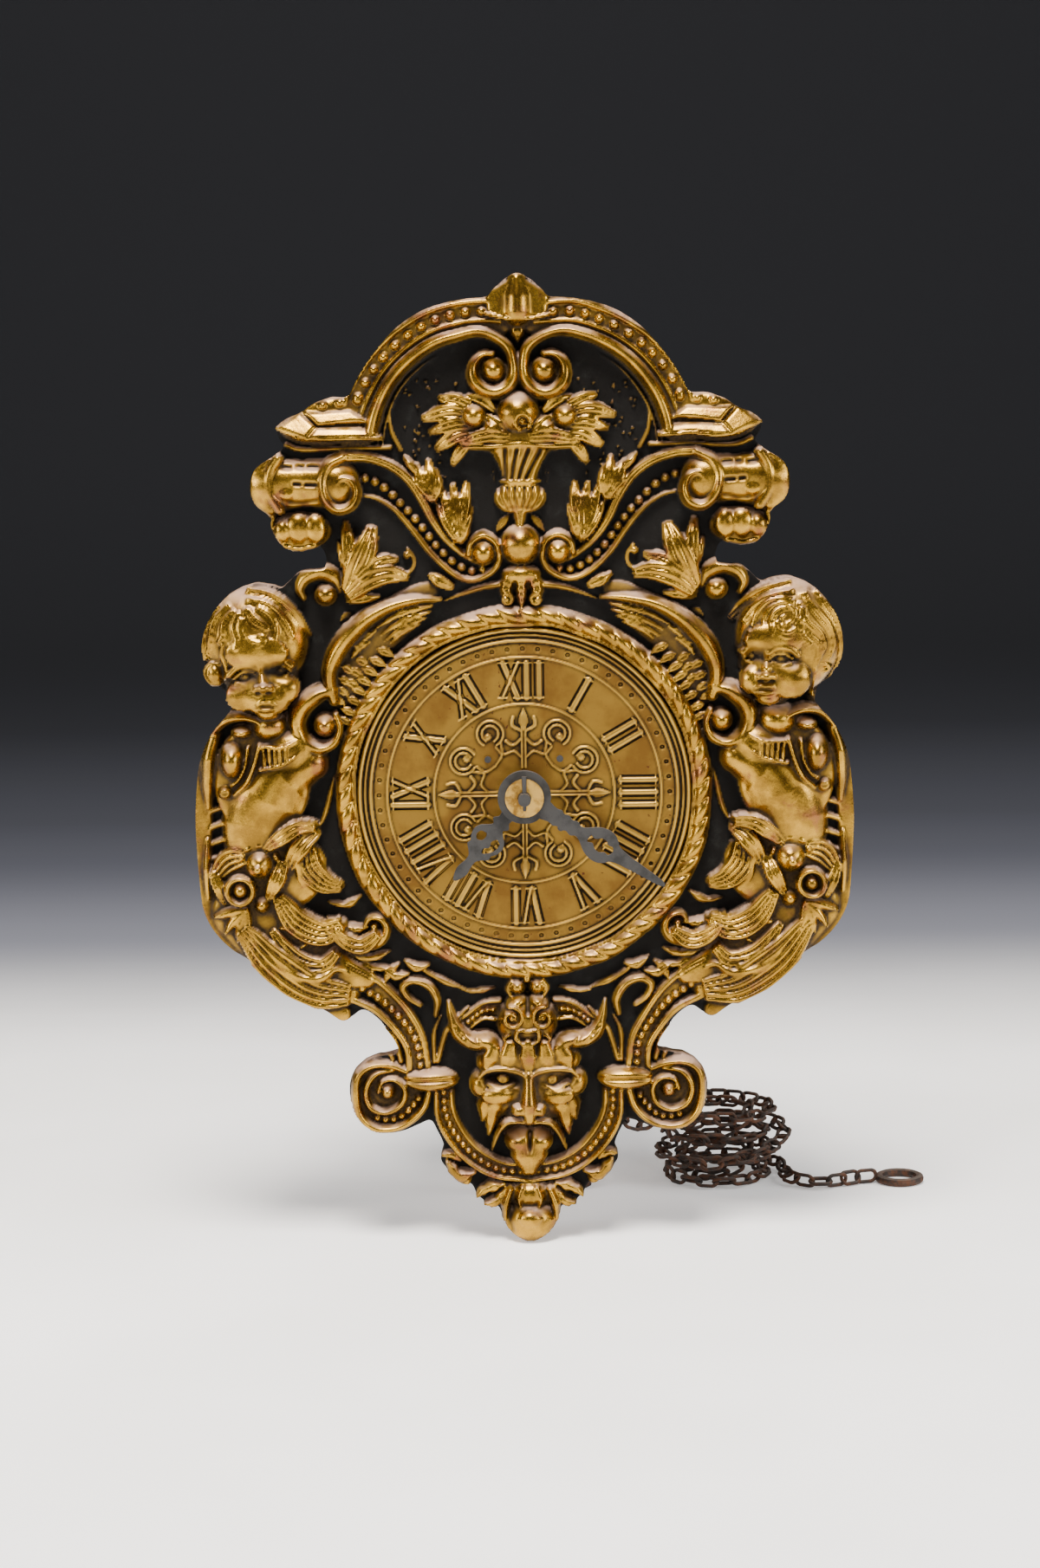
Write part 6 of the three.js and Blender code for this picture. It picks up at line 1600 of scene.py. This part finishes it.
@dataclass
class PressedSheet:
    """A sheet of thin metal with a relief on its front, its negative on the back and a turned-back rim.

    Attributes:
        name: The piece's name.
        ground_y: Y of the flat ground of its front.
        thickness: Thickness of the metal.
        rim_depth: How far its edge is turned back.
        rag: How uneven the end of the rim is.
        hole: Radius of the hole in its middle.
        coarse: How many cells of the front one cell of the back spans.
        sharp: How strongly the wear_and_shade value, which the finishes turn into painted shade in the hollows,
            answers to the relief's edges.
        lift_mm: Height at which the lift value reaches 1.
        rim_steps: Rows of faces down the rim.
        flare: How far the rim leans outwards, and how much that wanders.
        clearance: Room between the rim and the sheet's back, beside its thickness.
    """

    name: str
    ground_y: float
    thickness: float
    rim_depth: float
    rag: float
    hole: float
    coarse: int
    sharp: float
    lift_mm: float = 2.4
    rim_steps: int = 4
    flare: float = 0.12
    clearance: float = 0.25

    def build(self, relief: Relief, loop: np.ndarray) -> bpy.types.Object:
        """Makes the sheet.

        Args:
            relief: Heights of its front.
            loop: Its outline, counter-clockwise from the front, in mm.

        Returns:
            The sheet, with the values wear_and_shade, gilt and lift stored at its points.
        """
        front = self.side(relief.x, relief.z, self.ground_y - relief.height, loop)
        lowest = relief.height
        for axis in (0, 1):
            lowest = np.minimum.reduce([np.roll(lowest, s, axis=axis)
                                        for s in range(-self.coarse, self.coarse + 1)])
        every = slice(None, None, self.coarse)
        inner = loop + inwards(loop) * (self.thickness + self.clearance)
        behind = self.ground_y + self.thickness - np.maximum(blurred(lowest, 1), 0)[every, every]
        back = self.side(relief.x[every], relief.z[every], behind, inner)
        points, faces = [front.points], [list(map(tuple, front.faces.tolist()))]
        total = len(front.points)
        edge = front.points[front.loops[0]]
        inward = inwards(edge[:, [0, 2]])
        wander = np.array([self.wave(i / len(edge)) for i in range(len(edge))])
        rings = [front.loops[0]]
        levels = [(s / self.rim_steps, -self.flare) for s in range(1, self.rim_steps + 1)] + [(1.0, self.thickness)]
        for level, offset in levels:
            deep = self.rim_depth * level * (1 - self.rag * wander * level)
            ring = edge.copy()
            ring[:, [0, 2]] += inward * (offset + self.flare * wander[:, None])
            ring[:, 1] = np.maximum(self.ground_y, edge[:, 1]) + deep
            points.append(ring)
            rings.append(list(range(total, total + len(ring))))
            total += len(ring)
        for a, b in zip(rings, rings[1:]):
            faces.append([(a[i], b[i], b[(i + 1) % len(a)], a[(i + 1) % len(a)]) for i in range(len(a))])
        points.append(back.points)
        faces.append([tuple(reversed([total + v for v in f])) for f in back.faces.tolist()])
        whole = np.vstack(points)
        faces.append(zipped(whole, rings[-1], [total + v for v in back.loops[0]]))
        if self.hole:
            faces.append(zipped(whole, front.loops[1], [total + v for v in back.loops[1]]))
        sheet = mesh_object(self.name, whole, [f for group in faces for f in group])
        # wear_and_shade is low in the hollows and high on what stands out: the finishes paint shade into the hollows
        # from it, paint a highlight on the dial's raised edges and polish the rubbed high spots
        fine, broad = relief.height - blurred(relief.height, 2), relief.height - blurred(relief.height, 6)
        self.store(sheet, "wear_and_shade", np.clip(0.5 + self.sharp * (fine * 0.7 + broad * 0.3), 0, 1), front, 0.45)
        self.store(sheet, "gilt", blurred(relief.gilt, 1), front, 0.3)
        self.store(sheet, "lift", np.clip(relief.height / self.lift_mm, 0, 1), front, 0.3)
        return sheet

    def side(self, x: np.ndarray, z: np.ndarray, depth: np.ndarray, loop: np.ndarray) -> Layer:
        """Cuts one side out of its grid and draws its edge onto the outline.

        Args:
            x: X of the grid's columns.
            z: Z of its rows.
            depth: Y of each grid point.
            loop: The outline.

        Returns:
            The side.
        """
        step = x[1] - x[0]
        keep = inside_loop(loop, x[:-1] + step / 2, z[:-1] + step / 2)
        if self.hole:
            keep &= np.hypot(x[None, :-1] + step / 2, z[:-1, None] + step / 2) > self.hole
        layer = Layer.of_grid(x, z, depth, keep)
        outer = layer.loops[0]
        layer.points[np.ix_(outer, [0, 2])] = nearest_on(loop, layer.points[np.ix_(outer, [0, 2])])
        if self.hole:
            rim = layer.points[np.ix_(layer.loops[1], [0, 2])]
            layer.points[np.ix_(layer.loops[1], [0, 2])] = rim * (self.hole / np.linalg.norm(rim, axis=1))[:, None]
        return layer

    def wave(self, share: float) -> float:
        """Draws the uneven cut of the rim.

        Args:
            share: Place along the rim, from 0 to 1.

        Returns:
            How far the rim stands from its line there.
        """
        rng = np.random.default_rng(SEED + 5)
        return sum(rng.uniform(0.1, 0.5) * abs(math.sin(math.pi * count * share + rng.uniform(0, 6)))
                   for count in (23, 61, 119, 211))

    @staticmethod
    def store(sheet: bpy.types.Object, name: str, grid: np.ndarray, front: Layer, elsewhere: float) -> None:
        """Stores a value with the sheet's points.

        Args:
            sheet: The sheet.
            name: Name of the value.
            grid: The value on the relief's grid.
            front: The sheet's front, which takes it from there.
            elsewhere: The value of all other points.
        """
        values = np.full(len(sheet.data.vertices), elsewhere)
        values[: len(front.points)] = grid[front.places]
        sheet.data.attributes.new(name, "FLOAT", "POINT").data.foreach_set("value", values)


@dataclass(frozen=True)
class Hand:
    """A cut steel hand, drawn upwards from its hub and turned clockwise from twelve.

    Attributes:
        name: The CAD node that it stands for.
        body: The body that it turns with.
        degrees: Where it points, clockwise from twelve.
        profile: Half-widths along it, from the hub to the tip.
        hub: Radius of its round hub.
        openings: Cut-outs, each a list of points across and along the hand.
        bore: Radius of its bore.
        edge: Size of its broken edge.
    """

    name: str
    body: str
    degrees: float
    profile: Points
    hub: float
    openings: Sequence[Points]
    bore: float
    edge: float = 0.06

    def outlines(self) -> list[np.ndarray]:
        """Draws the hand, turned to where it points.

        Returns:
            Its outline, its cut-outs and its bore.
        """
        side = catmull([(half, along) for along, half in self.profile], 0.25)
        start = math.atan2(side[0][1], side[0][0])
        hub = np.array(arc(0, 0, self.hub, math.degrees(start) - 360, 180 - math.degrees(start) - 360, 2)[:1]
                       + arc(0, 0, self.hub, 180 - math.degrees(start), 360 + math.degrees(start), 40))[1:]
        outer = np.vstack([side, side[-2::-1] * (-1, 1), hub[1:-1]])
        loops = [outer, *(catmull([*o, o[0]], 0.2)[:-1] for o in self.openings)]
        loops.append(np.array(arc(0, 0, self.bore, 0, 360, 24)[:-1]))
        angle = -math.radians(self.degrees)
        turn = np.array([[math.cos(angle), math.sin(angle)], [-math.sin(angle), math.cos(angle)]])
        return [loop @ turn for loop in loops]

    def build(self) -> bpy.types.Object:
        """Cuts the hand out of sheet where its CAD node stands."""
        low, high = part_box(self.name)
        return cut_plate(f"{self.name}_cut", self.outlines(), low.y / MM, high.y / MM, self.edge)


def cut_plate(name: str, loops: Sequence[np.ndarray], front: float, back: float, edge: float) -> bpy.types.Object:
    """Cuts a flat piece with broken edges out of sheet.

    Args:
        name: The piece's name.
        loops: Its outline and its holes, as X and Z in mm.
        front: Y of its front in mm.
        back: Y of its back in mm.
        edge: Size of the broken edge in mm.

    Returns:
        The piece as a mesh object.
    """
    curve = bpy.data.curves.new(name, "CURVE")
    curve.dimensions, curve.fill_mode = "2D", "BOTH"
    curve.extrude, curve.bevel_depth = (back - front) / 2 - edge, edge
    curve.offset = -edge
    for loop in loops:
        spline = curve.splines.new("POLY")
        spline.points.add(len(loop) - 1)
        spline.points.foreach_set("co", np.column_stack([loop, np.zeros(len(loop)), np.ones(len(loop))]).ravel())
        spline.use_cyclic_u = True
    drawn = bpy.data.objects.new(name, curve)
    bpy.context.collection.objects.link(drawn)
    bpy.context.view_layer.update()
    mesh = bpy.data.meshes.new_from_object(drawn.evaluated_get(bpy.context.evaluated_depsgraph_get()))
    points = np.array([v.co for v in mesh.vertices])
    faces = [tuple(p.vertices) for p in mesh.polygons]
    bpy.data.objects.remove(drawn)
    bpy.data.meshes.remove(mesh)
    placed = np.column_stack([points[:, 0], (front + back) / 2 - points[:, 2], points[:, 1]])
    return mesh_object(name, placed, faces, smooth=False)


@dataclass(frozen=True)
class Chain:
    """A wire chain whose oval links stand crosswise in turn along a route."""

    wire: float = 0.42
    half_width: float = 1.24
    pitch: float = 3.5
    around: int = 18
    section: int = 6
    wander: float = 0.5

    def build(self, name: str, route: np.ndarray, seed: int) -> bpy.types.Object:
        """Links the chain along a route.

        Args:
            name: The piece's name.
            route: Close points of its middle line in mm.
            seed: Seed for how the links lie.

        Returns:
            The chain as one mesh object.
        """
        rng = np.random.default_rng(seed)
        steps = np.concatenate([[0], np.cumsum(np.linalg.norm(np.diff(route, axis=0), axis=1))])
        count = max(2, round((steps[-1] - 2 * self.wire) / self.pitch))
        points, faces = [], []
        for i in range(count):
            middle = (i + 0.5) * steps[-1] / count
            here, before, after = (np.array([np.interp(s, steps, route[:, k]) for k in range(3)])
                                   for s in (middle, middle - self.pitch / 2, middle + self.pitch / 2))
            along = (after - before) / np.linalg.norm(after - before)
            first = np.cross(along, (0, 1, 0.02)) if abs(along[1]) < 0.9 else np.cross(along, (0, 0, 1))
            first /= np.linalg.norm(first)
            second = np.cross(along, first)
            twist = math.pi / 4 + (i % 2) * math.pi / 2 + rng.normal(0, self.wander)
            across = first * math.cos(twist) + second * math.sin(twist)
            points.append(self.link(here, along, across))
            start = i * self.around * self.section
            faces += [(start + a * self.section + b, start + a * self.section + (b + 1) % self.section,
                       start + (a + 1) % self.around * self.section + (b + 1) % self.section,
                       start + (a + 1) % self.around * self.section + b)
                      for a in range(self.around) for b in range(self.section)]
        return mesh_object(name, np.vstack(points), faces)

    def link(self, middle: np.ndarray, along: np.ndarray, across: np.ndarray) -> np.ndarray:
        """Bends one link.

        Args:
            middle: Its middle.
            along: The direction of its length.
            across: The direction of its width.

        Returns:
            Its points, ring by ring round the wire.
        """
        normal = np.cross(along, across)
        straight = (self.pitch + 2 * self.wire) / 2 - self.half_width
        ring = []
        for a in range(self.around):
            angle = 2 * math.pi * a / self.around
            out = along * math.cos(angle) + across * math.sin(angle)
            centre = middle + out * self.half_width + along * straight * math.copysign(1, math.cos(angle))
            for b in range(self.section):
                turn = 2 * math.pi * b / self.section
                ring.append(centre + (out * math.cos(turn) + normal * math.sin(turn)) * self.wire)
        return np.array(ring)


@dataclass(frozen=True)
class ChainRoutes:
    """The routes of the chain, in mm in the dial's frame; they are those of the CAD tubes."""

    free_start: float = -37.728
    floor: float = -86.3
    row_y: float = -30.5
    sprocket_z: float = -16.0
    sprocket_radius: float = 7.0
    heap_x: float = 40.0
    heap_y: float = -18.0
    heap_radius: float = 6.0
    loop_pitch: float = 4.3
    heap_turns: float = 7.5
    loops_per_layer: int = 2
    most_loops: float = 1.7
    climb_share: float = 0.3

    def weight_side(self) -> np.ndarray:
        """Draws the end that the weight hung on, down to the floor.

        Returns:
            Points of its middle line.
        """
        return catmull([(-7, -30.5, self.free_start), (-7, -30.5, -42), (-7, -30.6, -52), (-6.8, -31, -62),
                        (-6.4, -31.4, -72), (-6, -31.4, -79), (-5, -30.4, -83.4), (-3.6, -29.2, -85.6),
                        (-2, -28, self.floor), (0.6, -26, self.floor), (4, -24.4, self.floor)], 0.8)

    def heap_point(self, turns: float) -> Sequence[float]:
        """Finds a place in the heap.

        Args:
            turns: Turns wound so far, counted from its end on the floor.

        Returns:
            X, Y and Z of the place.
        """
        layer = int(min(turns, self.heap_turns) // self.loops_per_layer)
        within = turns - self.loops_per_layer * layer
        top = layer == int(self.heap_turns // self.loops_per_layer)
        wound = min(self.most_loops, within)
        climb = 0.0 if top else max(0.0, (within - self.most_loops) / self.climb_share)
        away = self.heap_radius + self.loop_pitch * (wound if layer % 2 else self.most_loops - wound)
        angle = 2 * math.pi * turns
        return (self.heap_x + away * math.cos(angle), self.heap_y + away * math.sin(angle),
                self.floor + self.loop_pitch * (layer + climb))

    def pull_side(self) -> np.ndarray:
        """Draws the end that is pulled: down, over to the heap, round it and out along the floor.

        Returns:
            Points of its middle line.
        """
        run = catmull([(7, -30.5, self.free_start), (7, -30.5, -42), (7.6, -31, -50), (9.6, -31.8, -59),
                       (13.6, -32.8, -66.5), (18.6, -32.6, -71.4), (23.4, -30, -73.6), (26.6, -26, -73.7),
                       (27.55, -22, -73.4), (27.55, -18.3, -73.4)], 0.8)
        heap = np.array([self.heap_point(turns) for turns in np.linspace(self.heap_turns, 0, 600)])
        tail = catmull([(53.31, -18.3, self.floor), (53.31, -22, self.floor), (54.4, -26, self.floor),
                        (58.4, -29.2, self.floor), (63, -28.6, self.floor), (67, -26.4, self.floor),
                        (71.4, -25.2, self.floor)], 0.8)
        return np.vstack([run, heap, tail])

    def over_sprocket(self) -> np.ndarray:
        """Draws the stretch inside the case, up over the sprocket and down again.

        Returns:
            Points of its middle line.
        """
        top = arc(0, self.sprocket_z, self.sprocket_radius, 180, 0, 24)
        legs = [(-self.sprocket_radius, self.free_start), *top, (self.sprocket_radius, self.free_start)]
        return catmull([(x, self.row_y, z) for x, z in legs], 0.8)


@dataclass(frozen=True)
class Studio:
    """The photograph's viewpoint over a pale floor, with soft lights.

    Attributes:
        distance: From the camera to the dial's centre, in metres.
        elevation: Height of the view above the horizon, in degrees.
        roll: How far the object leans left in the frame, in degrees.
        frame_px: Width and height of the frame in pixels.
        centre_px: Where the dial's centre lies in the frame.
        px_per_mm: Scale of the frame at the dial.
        sensor_mm: Height of the camera's sensor.
        floor_half: Half of the floor's width, in metres.
        floor_front: Y of its front edge.
        glow: Strength of its own light, which keeps it pale.
        ambient: Strength of the light from all round.
    """

    distance: float = 0.6
    elevation: float = 8.0
    roll: float = 0.82
    frame_px: tuple[int, int] = (1200, 1810)
    centre_px: tuple[float, float] = (605, 915)
    px_per_mm: float = 6.0
    sensor_mm: float = 36
    floor_half: float = 2.0
    floor_front: float = -1.4
    glow: float = 0.3
    ambient: float = 0.35

    def camera(self) -> None:
        """Places the camera."""
        data = bpy.data.cameras.new("view")
        wide, high = self.frame_px
        half = high / 2 / self.px_per_mm * MM
        data.sensor_fit = "VERTICAL"
        data.sensor_height = self.sensor_mm
        data.lens = self.sensor_mm / 2 * self.distance / half
        data.shift_x = (wide / 2 - self.centre_px[0]) / high
        data.shift_y = (self.centre_px[1] - high / 2) / high
        target = Vector((0, SHEET_Y * MM, -DIAL_DROP * MM))
        tilt = math.radians(self.elevation)
        seen = bpy.data.objects.new("view", data)
        seen.location = target + Vector((0, -math.cos(tilt), math.sin(tilt))) * self.distance
        seen.rotation_euler = (target - seen.location).to_track_quat("-Z", "Y").to_euler()
        seen.rotation_euler.rotate_axis("Z", -math.radians(self.roll))
        bpy.context.collection.objects.link(seen)
        bpy.context.scene.camera = seen

    def floor(self, level: float) -> None:
        """Lays the pale floor, which turns up far behind and darkens there.

        Args:
            level: Z of the floor in metres.
        """
        back = [(0.5, 0), (0.62, 0.02), (0.7, 0.07), (0.74, 0.16), (0.75, 0.3), (0.75, 1.6)]
        rows = [(self.floor_front, 0.0), *back]
        points = [(x, y, level + z) for y, z in rows for x in (-self.floor_half, self.floor_half)]
        faces = [(2 * i, 2 * i + 1, 2 * i + 3, 2 * i + 2) for i in range(len(rows) - 1)]
        mesh = bpy.data.meshes.new("floor")
        mesh.from_pydata(points, [], faces)
        mesh.polygons.foreach_set("use_smooth", [True] * len(faces))
        ground = bpy.data.objects.new("floor", mesh)
        bpy.context.collection.objects.link(ground)
        s = Shader("pale_floor")
        tone = s.mix(s.ramp(s.noise(60, 3), 0.3, 0.7), "#f4f3f2", "#fbfafa")
        split = add_node(s.tree, "ShaderNodeSeparateXYZ", None, {0: s.place}).outputs
        away = s.math("ADD", split["Y"], s.math("SUBTRACT", split["Z"], level))
        for near, far, colour in ((0.07, 0.27, "#73757f"), (0.24, 0.42, "#4e5059"), (0.38, 0.72, "#1f2023")):
            tone = s.mix(s.ramp(away, near, far), tone, colour)
        mesh.materials.append(s.finish(Base_Color=tone, Roughness=0.8, Specular_IOR_Level=0.1, Emission_Color=tone,
                                       Emission_Strength=self.glow))

    def light(self, name: str, place: Sequence[float], aim: Sequence[float], size: float, power: float,
              colour: str = "#ffffff") -> None:
        """Hangs a square soft light.

        Args:
            name: The light's name.
            place: Where it hangs.
            aim: The point that it looks at.
            size: Its side in metres.
            power: Its power in watts.
            colour: Its colour.
        """
        data = bpy.data.lights.new(name, "AREA")
        data.shape, data.size, data.energy = "SQUARE", size, power
        data.color = linear(colour)[:3]
        lamp = bpy.data.objects.new(name, data)
        lamp.location = place
        lamp.rotation_euler = (Vector(aim) - Vector(place)).to_track_quat("-Z", "Y").to_euler()
        bpy.context.collection.objects.link(lamp)

    def lights(self) -> None:
        """Hangs the lights: a broad one above in front, one at each side and a weak one on the floor behind."""
        aim = (0, -0.05, -0.05)
        self.light("top_front", (-0.05, -0.36, 0.66), aim, 0.3, 16.0, "#fff8ef")
        self.light("left", (-0.75, -0.35, 0.12), aim, 0.2, 2.2)
        self.light("right", (0.75, -0.35, 0.12), aim, 0.2, 2.2)
        self.light("front_low", (0.0, -1.1, 0.0), aim, 0.3, 0.6)
        for name, x in (("floor_left", -0.42), ("floor_right", 0.42)):
            self.light(name, (x, -0.25, 0.1), (x, -0.24, -0.3), 0.4, 2.4)
        world = bpy.data.worlds.new("studio")
        world.use_nodes = True
        background = world.node_tree.nodes["Background"].inputs
        background["Color"].default_value, background["Strength"].default_value = linear("#3c3e44"), self.ambient
        bpy.context.scene.world = world


class Slot(Enum):
    """The record's material slots."""

    GILT = "gilt"
    DIAL = "dial_brass"
    BRASS = "brass"
    STEEL = "steel"
    IRON = "iron"
    BEECH = "beech"
    SPRUCE = "spruce"


FINISHES = {
    Slot.GILT: GiltBrass(), Slot.DIAL: DialBrass(), Slot.BRASS: TURNED_BRASS, Slot.STEEL: GREY_STEEL,
    Slot.IRON: RUSTY_IRON, Slot.BEECH: BEECH, Slot.SPRUCE: SPRUCE,
}

MINUTE_HAND = Hand(
    "minute_hand", "minute", 123.2,
    [(4.6, 1.9), (6.4, 1.5), (7.4, 1.7), (8.2, 1.35), (9.2, 1.6), (10.1, 1.2), (11.2, 1.5), (12.1, 1.05),
     (13.1, 1.35), (14.0, 2.0), (15.2, 2.8), (16.8, 3.3), (18.4, 3.2), (19.6, 2.5), (20.5, 1.7), (22.5, 1.25),
     (26, 0.95), (30.6, 0.6), (31.9, 0.15)],
    5.1, [[(-0.75, 14.6), (0.75, 14.6), (0.5, 15.7), (1.2, 16.6), (1.35, 17.6), (0.8, 18.6), (0.9, 19.4), (0, 19.9),
               (-0.9, 19.4), (-0.8, 18.6), (-1.35, 17.6), (-1.2, 16.6), (-0.5, 15.7)]], 1.5)
HOUR_HAND = Hand(
    "hour_hand", "hour", 220.3,
    [(4.6, 1.5), (6.0, 1.2), (7.0, 1.9), (7.9, 1.2), (8.8, 2.0), (9.6, 2.9), (10.8, 3.4), (12.2, 3.1), (13.2, 2.5),
     (14.0, 2.6), (14.8, 1.7), (15.8, 0.9), (17.2, 0.9), (18.8, 1.15), (20.4, 0.7), (21.3, 0.15)],
    4.9, [[(1.0, 10.1), (2.1, 10.4), (2.4, 11.4), (1.7, 12.2), (0.8, 11.8), (0.6, 10.8)],
              [(-2.4, 10.3), (-1.4, 9.9), (-0.8, 10.9), (-1.2, 12.0), (-0.4, 12.9), (-0.8, 13.8), (-1.8, 13.0),
               (-2.5, 11.6)]], 3.1)


class Clock:
    """The clock's looks, built round its CAD frame."""

    def __init__(self) -> None:
        """Makes the finishes."""
        self.finish = {slot: made.material() for slot, made in FINISHES.items()}

    def dress(self, piece: bpy.types.Object, slot: Slot, body: str, *nodes: str) -> bpy.types.Object:
        """Gives a new piece its finish and body, and lets it stand for CAD nodes.

        Args:
            piece: The new piece.
            slot: Its material slot.
            body: The body that it moves with.
            nodes: The CAD nodes that it stands for.

        Returns:
            The same piece.
        """
        piece.data.materials.append(self.finish[slot])
        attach(piece, body)
        if nodes:
            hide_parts(*nodes)
        LOG.info("%s: %d faces", piece.name, len(piece.data.polygons))
        return piece

    def chains(self) -> None:
        """Links the chain and logs the length of its two free ends."""
        routes, chain = ChainRoutes(), Chain()
        pull, weight = routes.pull_side(), routes.weight_side()
        pulled = self.dress(chain.build("pull_chain", pull, SEED), Slot.IRON, "case",
                            "chain_run", "chain_heap", "chain_tail")
        hung = self.dress(chain.build("weight_chain", weight, SEED + 1), Slot.IRON, "case", "chain_weight_side")
        self.dress(chain.build("sprocket_chain", routes.over_sprocket(), SEED + 2), Slot.IRON, "case",
                   "chain_on_sprocket")
        for piece, route, fitting in ((pulled, pull, "chain_ring"), (hung, weight, "weight_hook")):
            path = in_metres(route)
            length = float(np.linalg.norm(np.diff(path, axis=0), axis=1).sum())
            LOG.info("%s: %.3f m", piece.name, length)

    def front(self) -> None:
        """Presses the brass front."""
        sheet = PressedSheet("pressed_front", SHEET_Y, thickness=0.45, rim_depth=3.4, rag=0.16, hole=4.0, coarse=3,
                             sharp=0.42)
        piece = sheet.build(FrontRelief().build(), cad_outline("front_sheet", 0.4))
        self.dress(piece, Slot.GILT, "case", "front_sheet")

    def dial(self) -> None:
        """Presses the dial."""
        radius = (DIAL_HIGH.x - DIAL_LOW.x) / 2 / MM
        sheet = PressedSheet("pressed_dial", DIAL_LOW.y / MM, thickness=0.35, rim_depth=0.7, rag=0.0, hole=3.6,
                             coarse=3, sharp=1.1)
        loop = np.array(arc(0, 0, radius, 0, 360, 360)[:-1])
        self.dress(sheet.build(DialRelief().build(), loop), Slot.DIAL, "case", "dial_disc")

    def hands(self) -> None:
        """Cuts both hands."""
        for hand in (MINUTE_HAND, HOUR_HAND):
            self.dress(hand.build(), Slot.STEEL, hand.body, hand.name)

    def works(self) -> None:
        """Gives every CAD node that stays in sight the finish of its own material."""
        for name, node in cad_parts.items():
            slot = Slot(node.data.materials[0].name.split(".")[0])
            node.data.materials[0] = self.finish[slot]
            LOG.info("%s: %s", name, slot.value)


def cad_outline(node: str, spacing: float) -> np.ndarray:
    """Reads the outer edge of a CAD sheet's turned-back rim and smooths it.

    Args:
        node: The CAD node.
        spacing: Distance between the points in mm.

    Returns:
        A counter-clockwise loop of X and Z in mm in the dial's frame.
    """
    form = bmesh.new()
    form.from_mesh(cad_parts[node].data)
    bmesh.ops.remove_doubles(form, verts=form.verts, dist=1e-6)
    back = max(v.co.y for v in form.verts)
    after: dict[int, list[int]] = {}
    for edge in form.edges:
        flat = all(abs(v.co.y - back) < 1e-5 for v in edge.verts)
        if flat and sum(abs(f.normal.y) > 0.9 for f in edge.link_faces) == 1:
            for a, b in (edge.verts, reversed(edge.verts)):
                after.setdefault(a.index, []).append(b.index)
    form.verts.ensure_lookup_table()
    places = {i: (form.verts[i].co.x / MM, form.verts[i].co.z / MM + DIAL_DROP) for i in after}
    start = max(after, key=lambda i: places[i][0])
    loop, here = [start], after[start][0]
    while here != start:
        loop.append(here)
        here = next((i for i in after[here] if i != loop[-2]), start)
    form.free()
    points = np.array([places[i] for i in loop])
    x, z = points.T
    if (x * np.roll(z, -1) - np.roll(x, -1) * z).sum() < 0:
        points = points[::-1]
    return closed_line(points, spacing)


def main() -> None:
    """Builds the scene."""
    logging.basicConfig(level=logging.INFO, format="%(message)s")
    studio = Studio()
    studio.camera()
    clock = Clock()
    clock.works()
    clock.chains()
    clock.front()
    clock.dial()
    clock.hands()
    studio.floor(CAD_BOX[0][2])
    studio.lights()


if __name__ == "__main__":
    main()
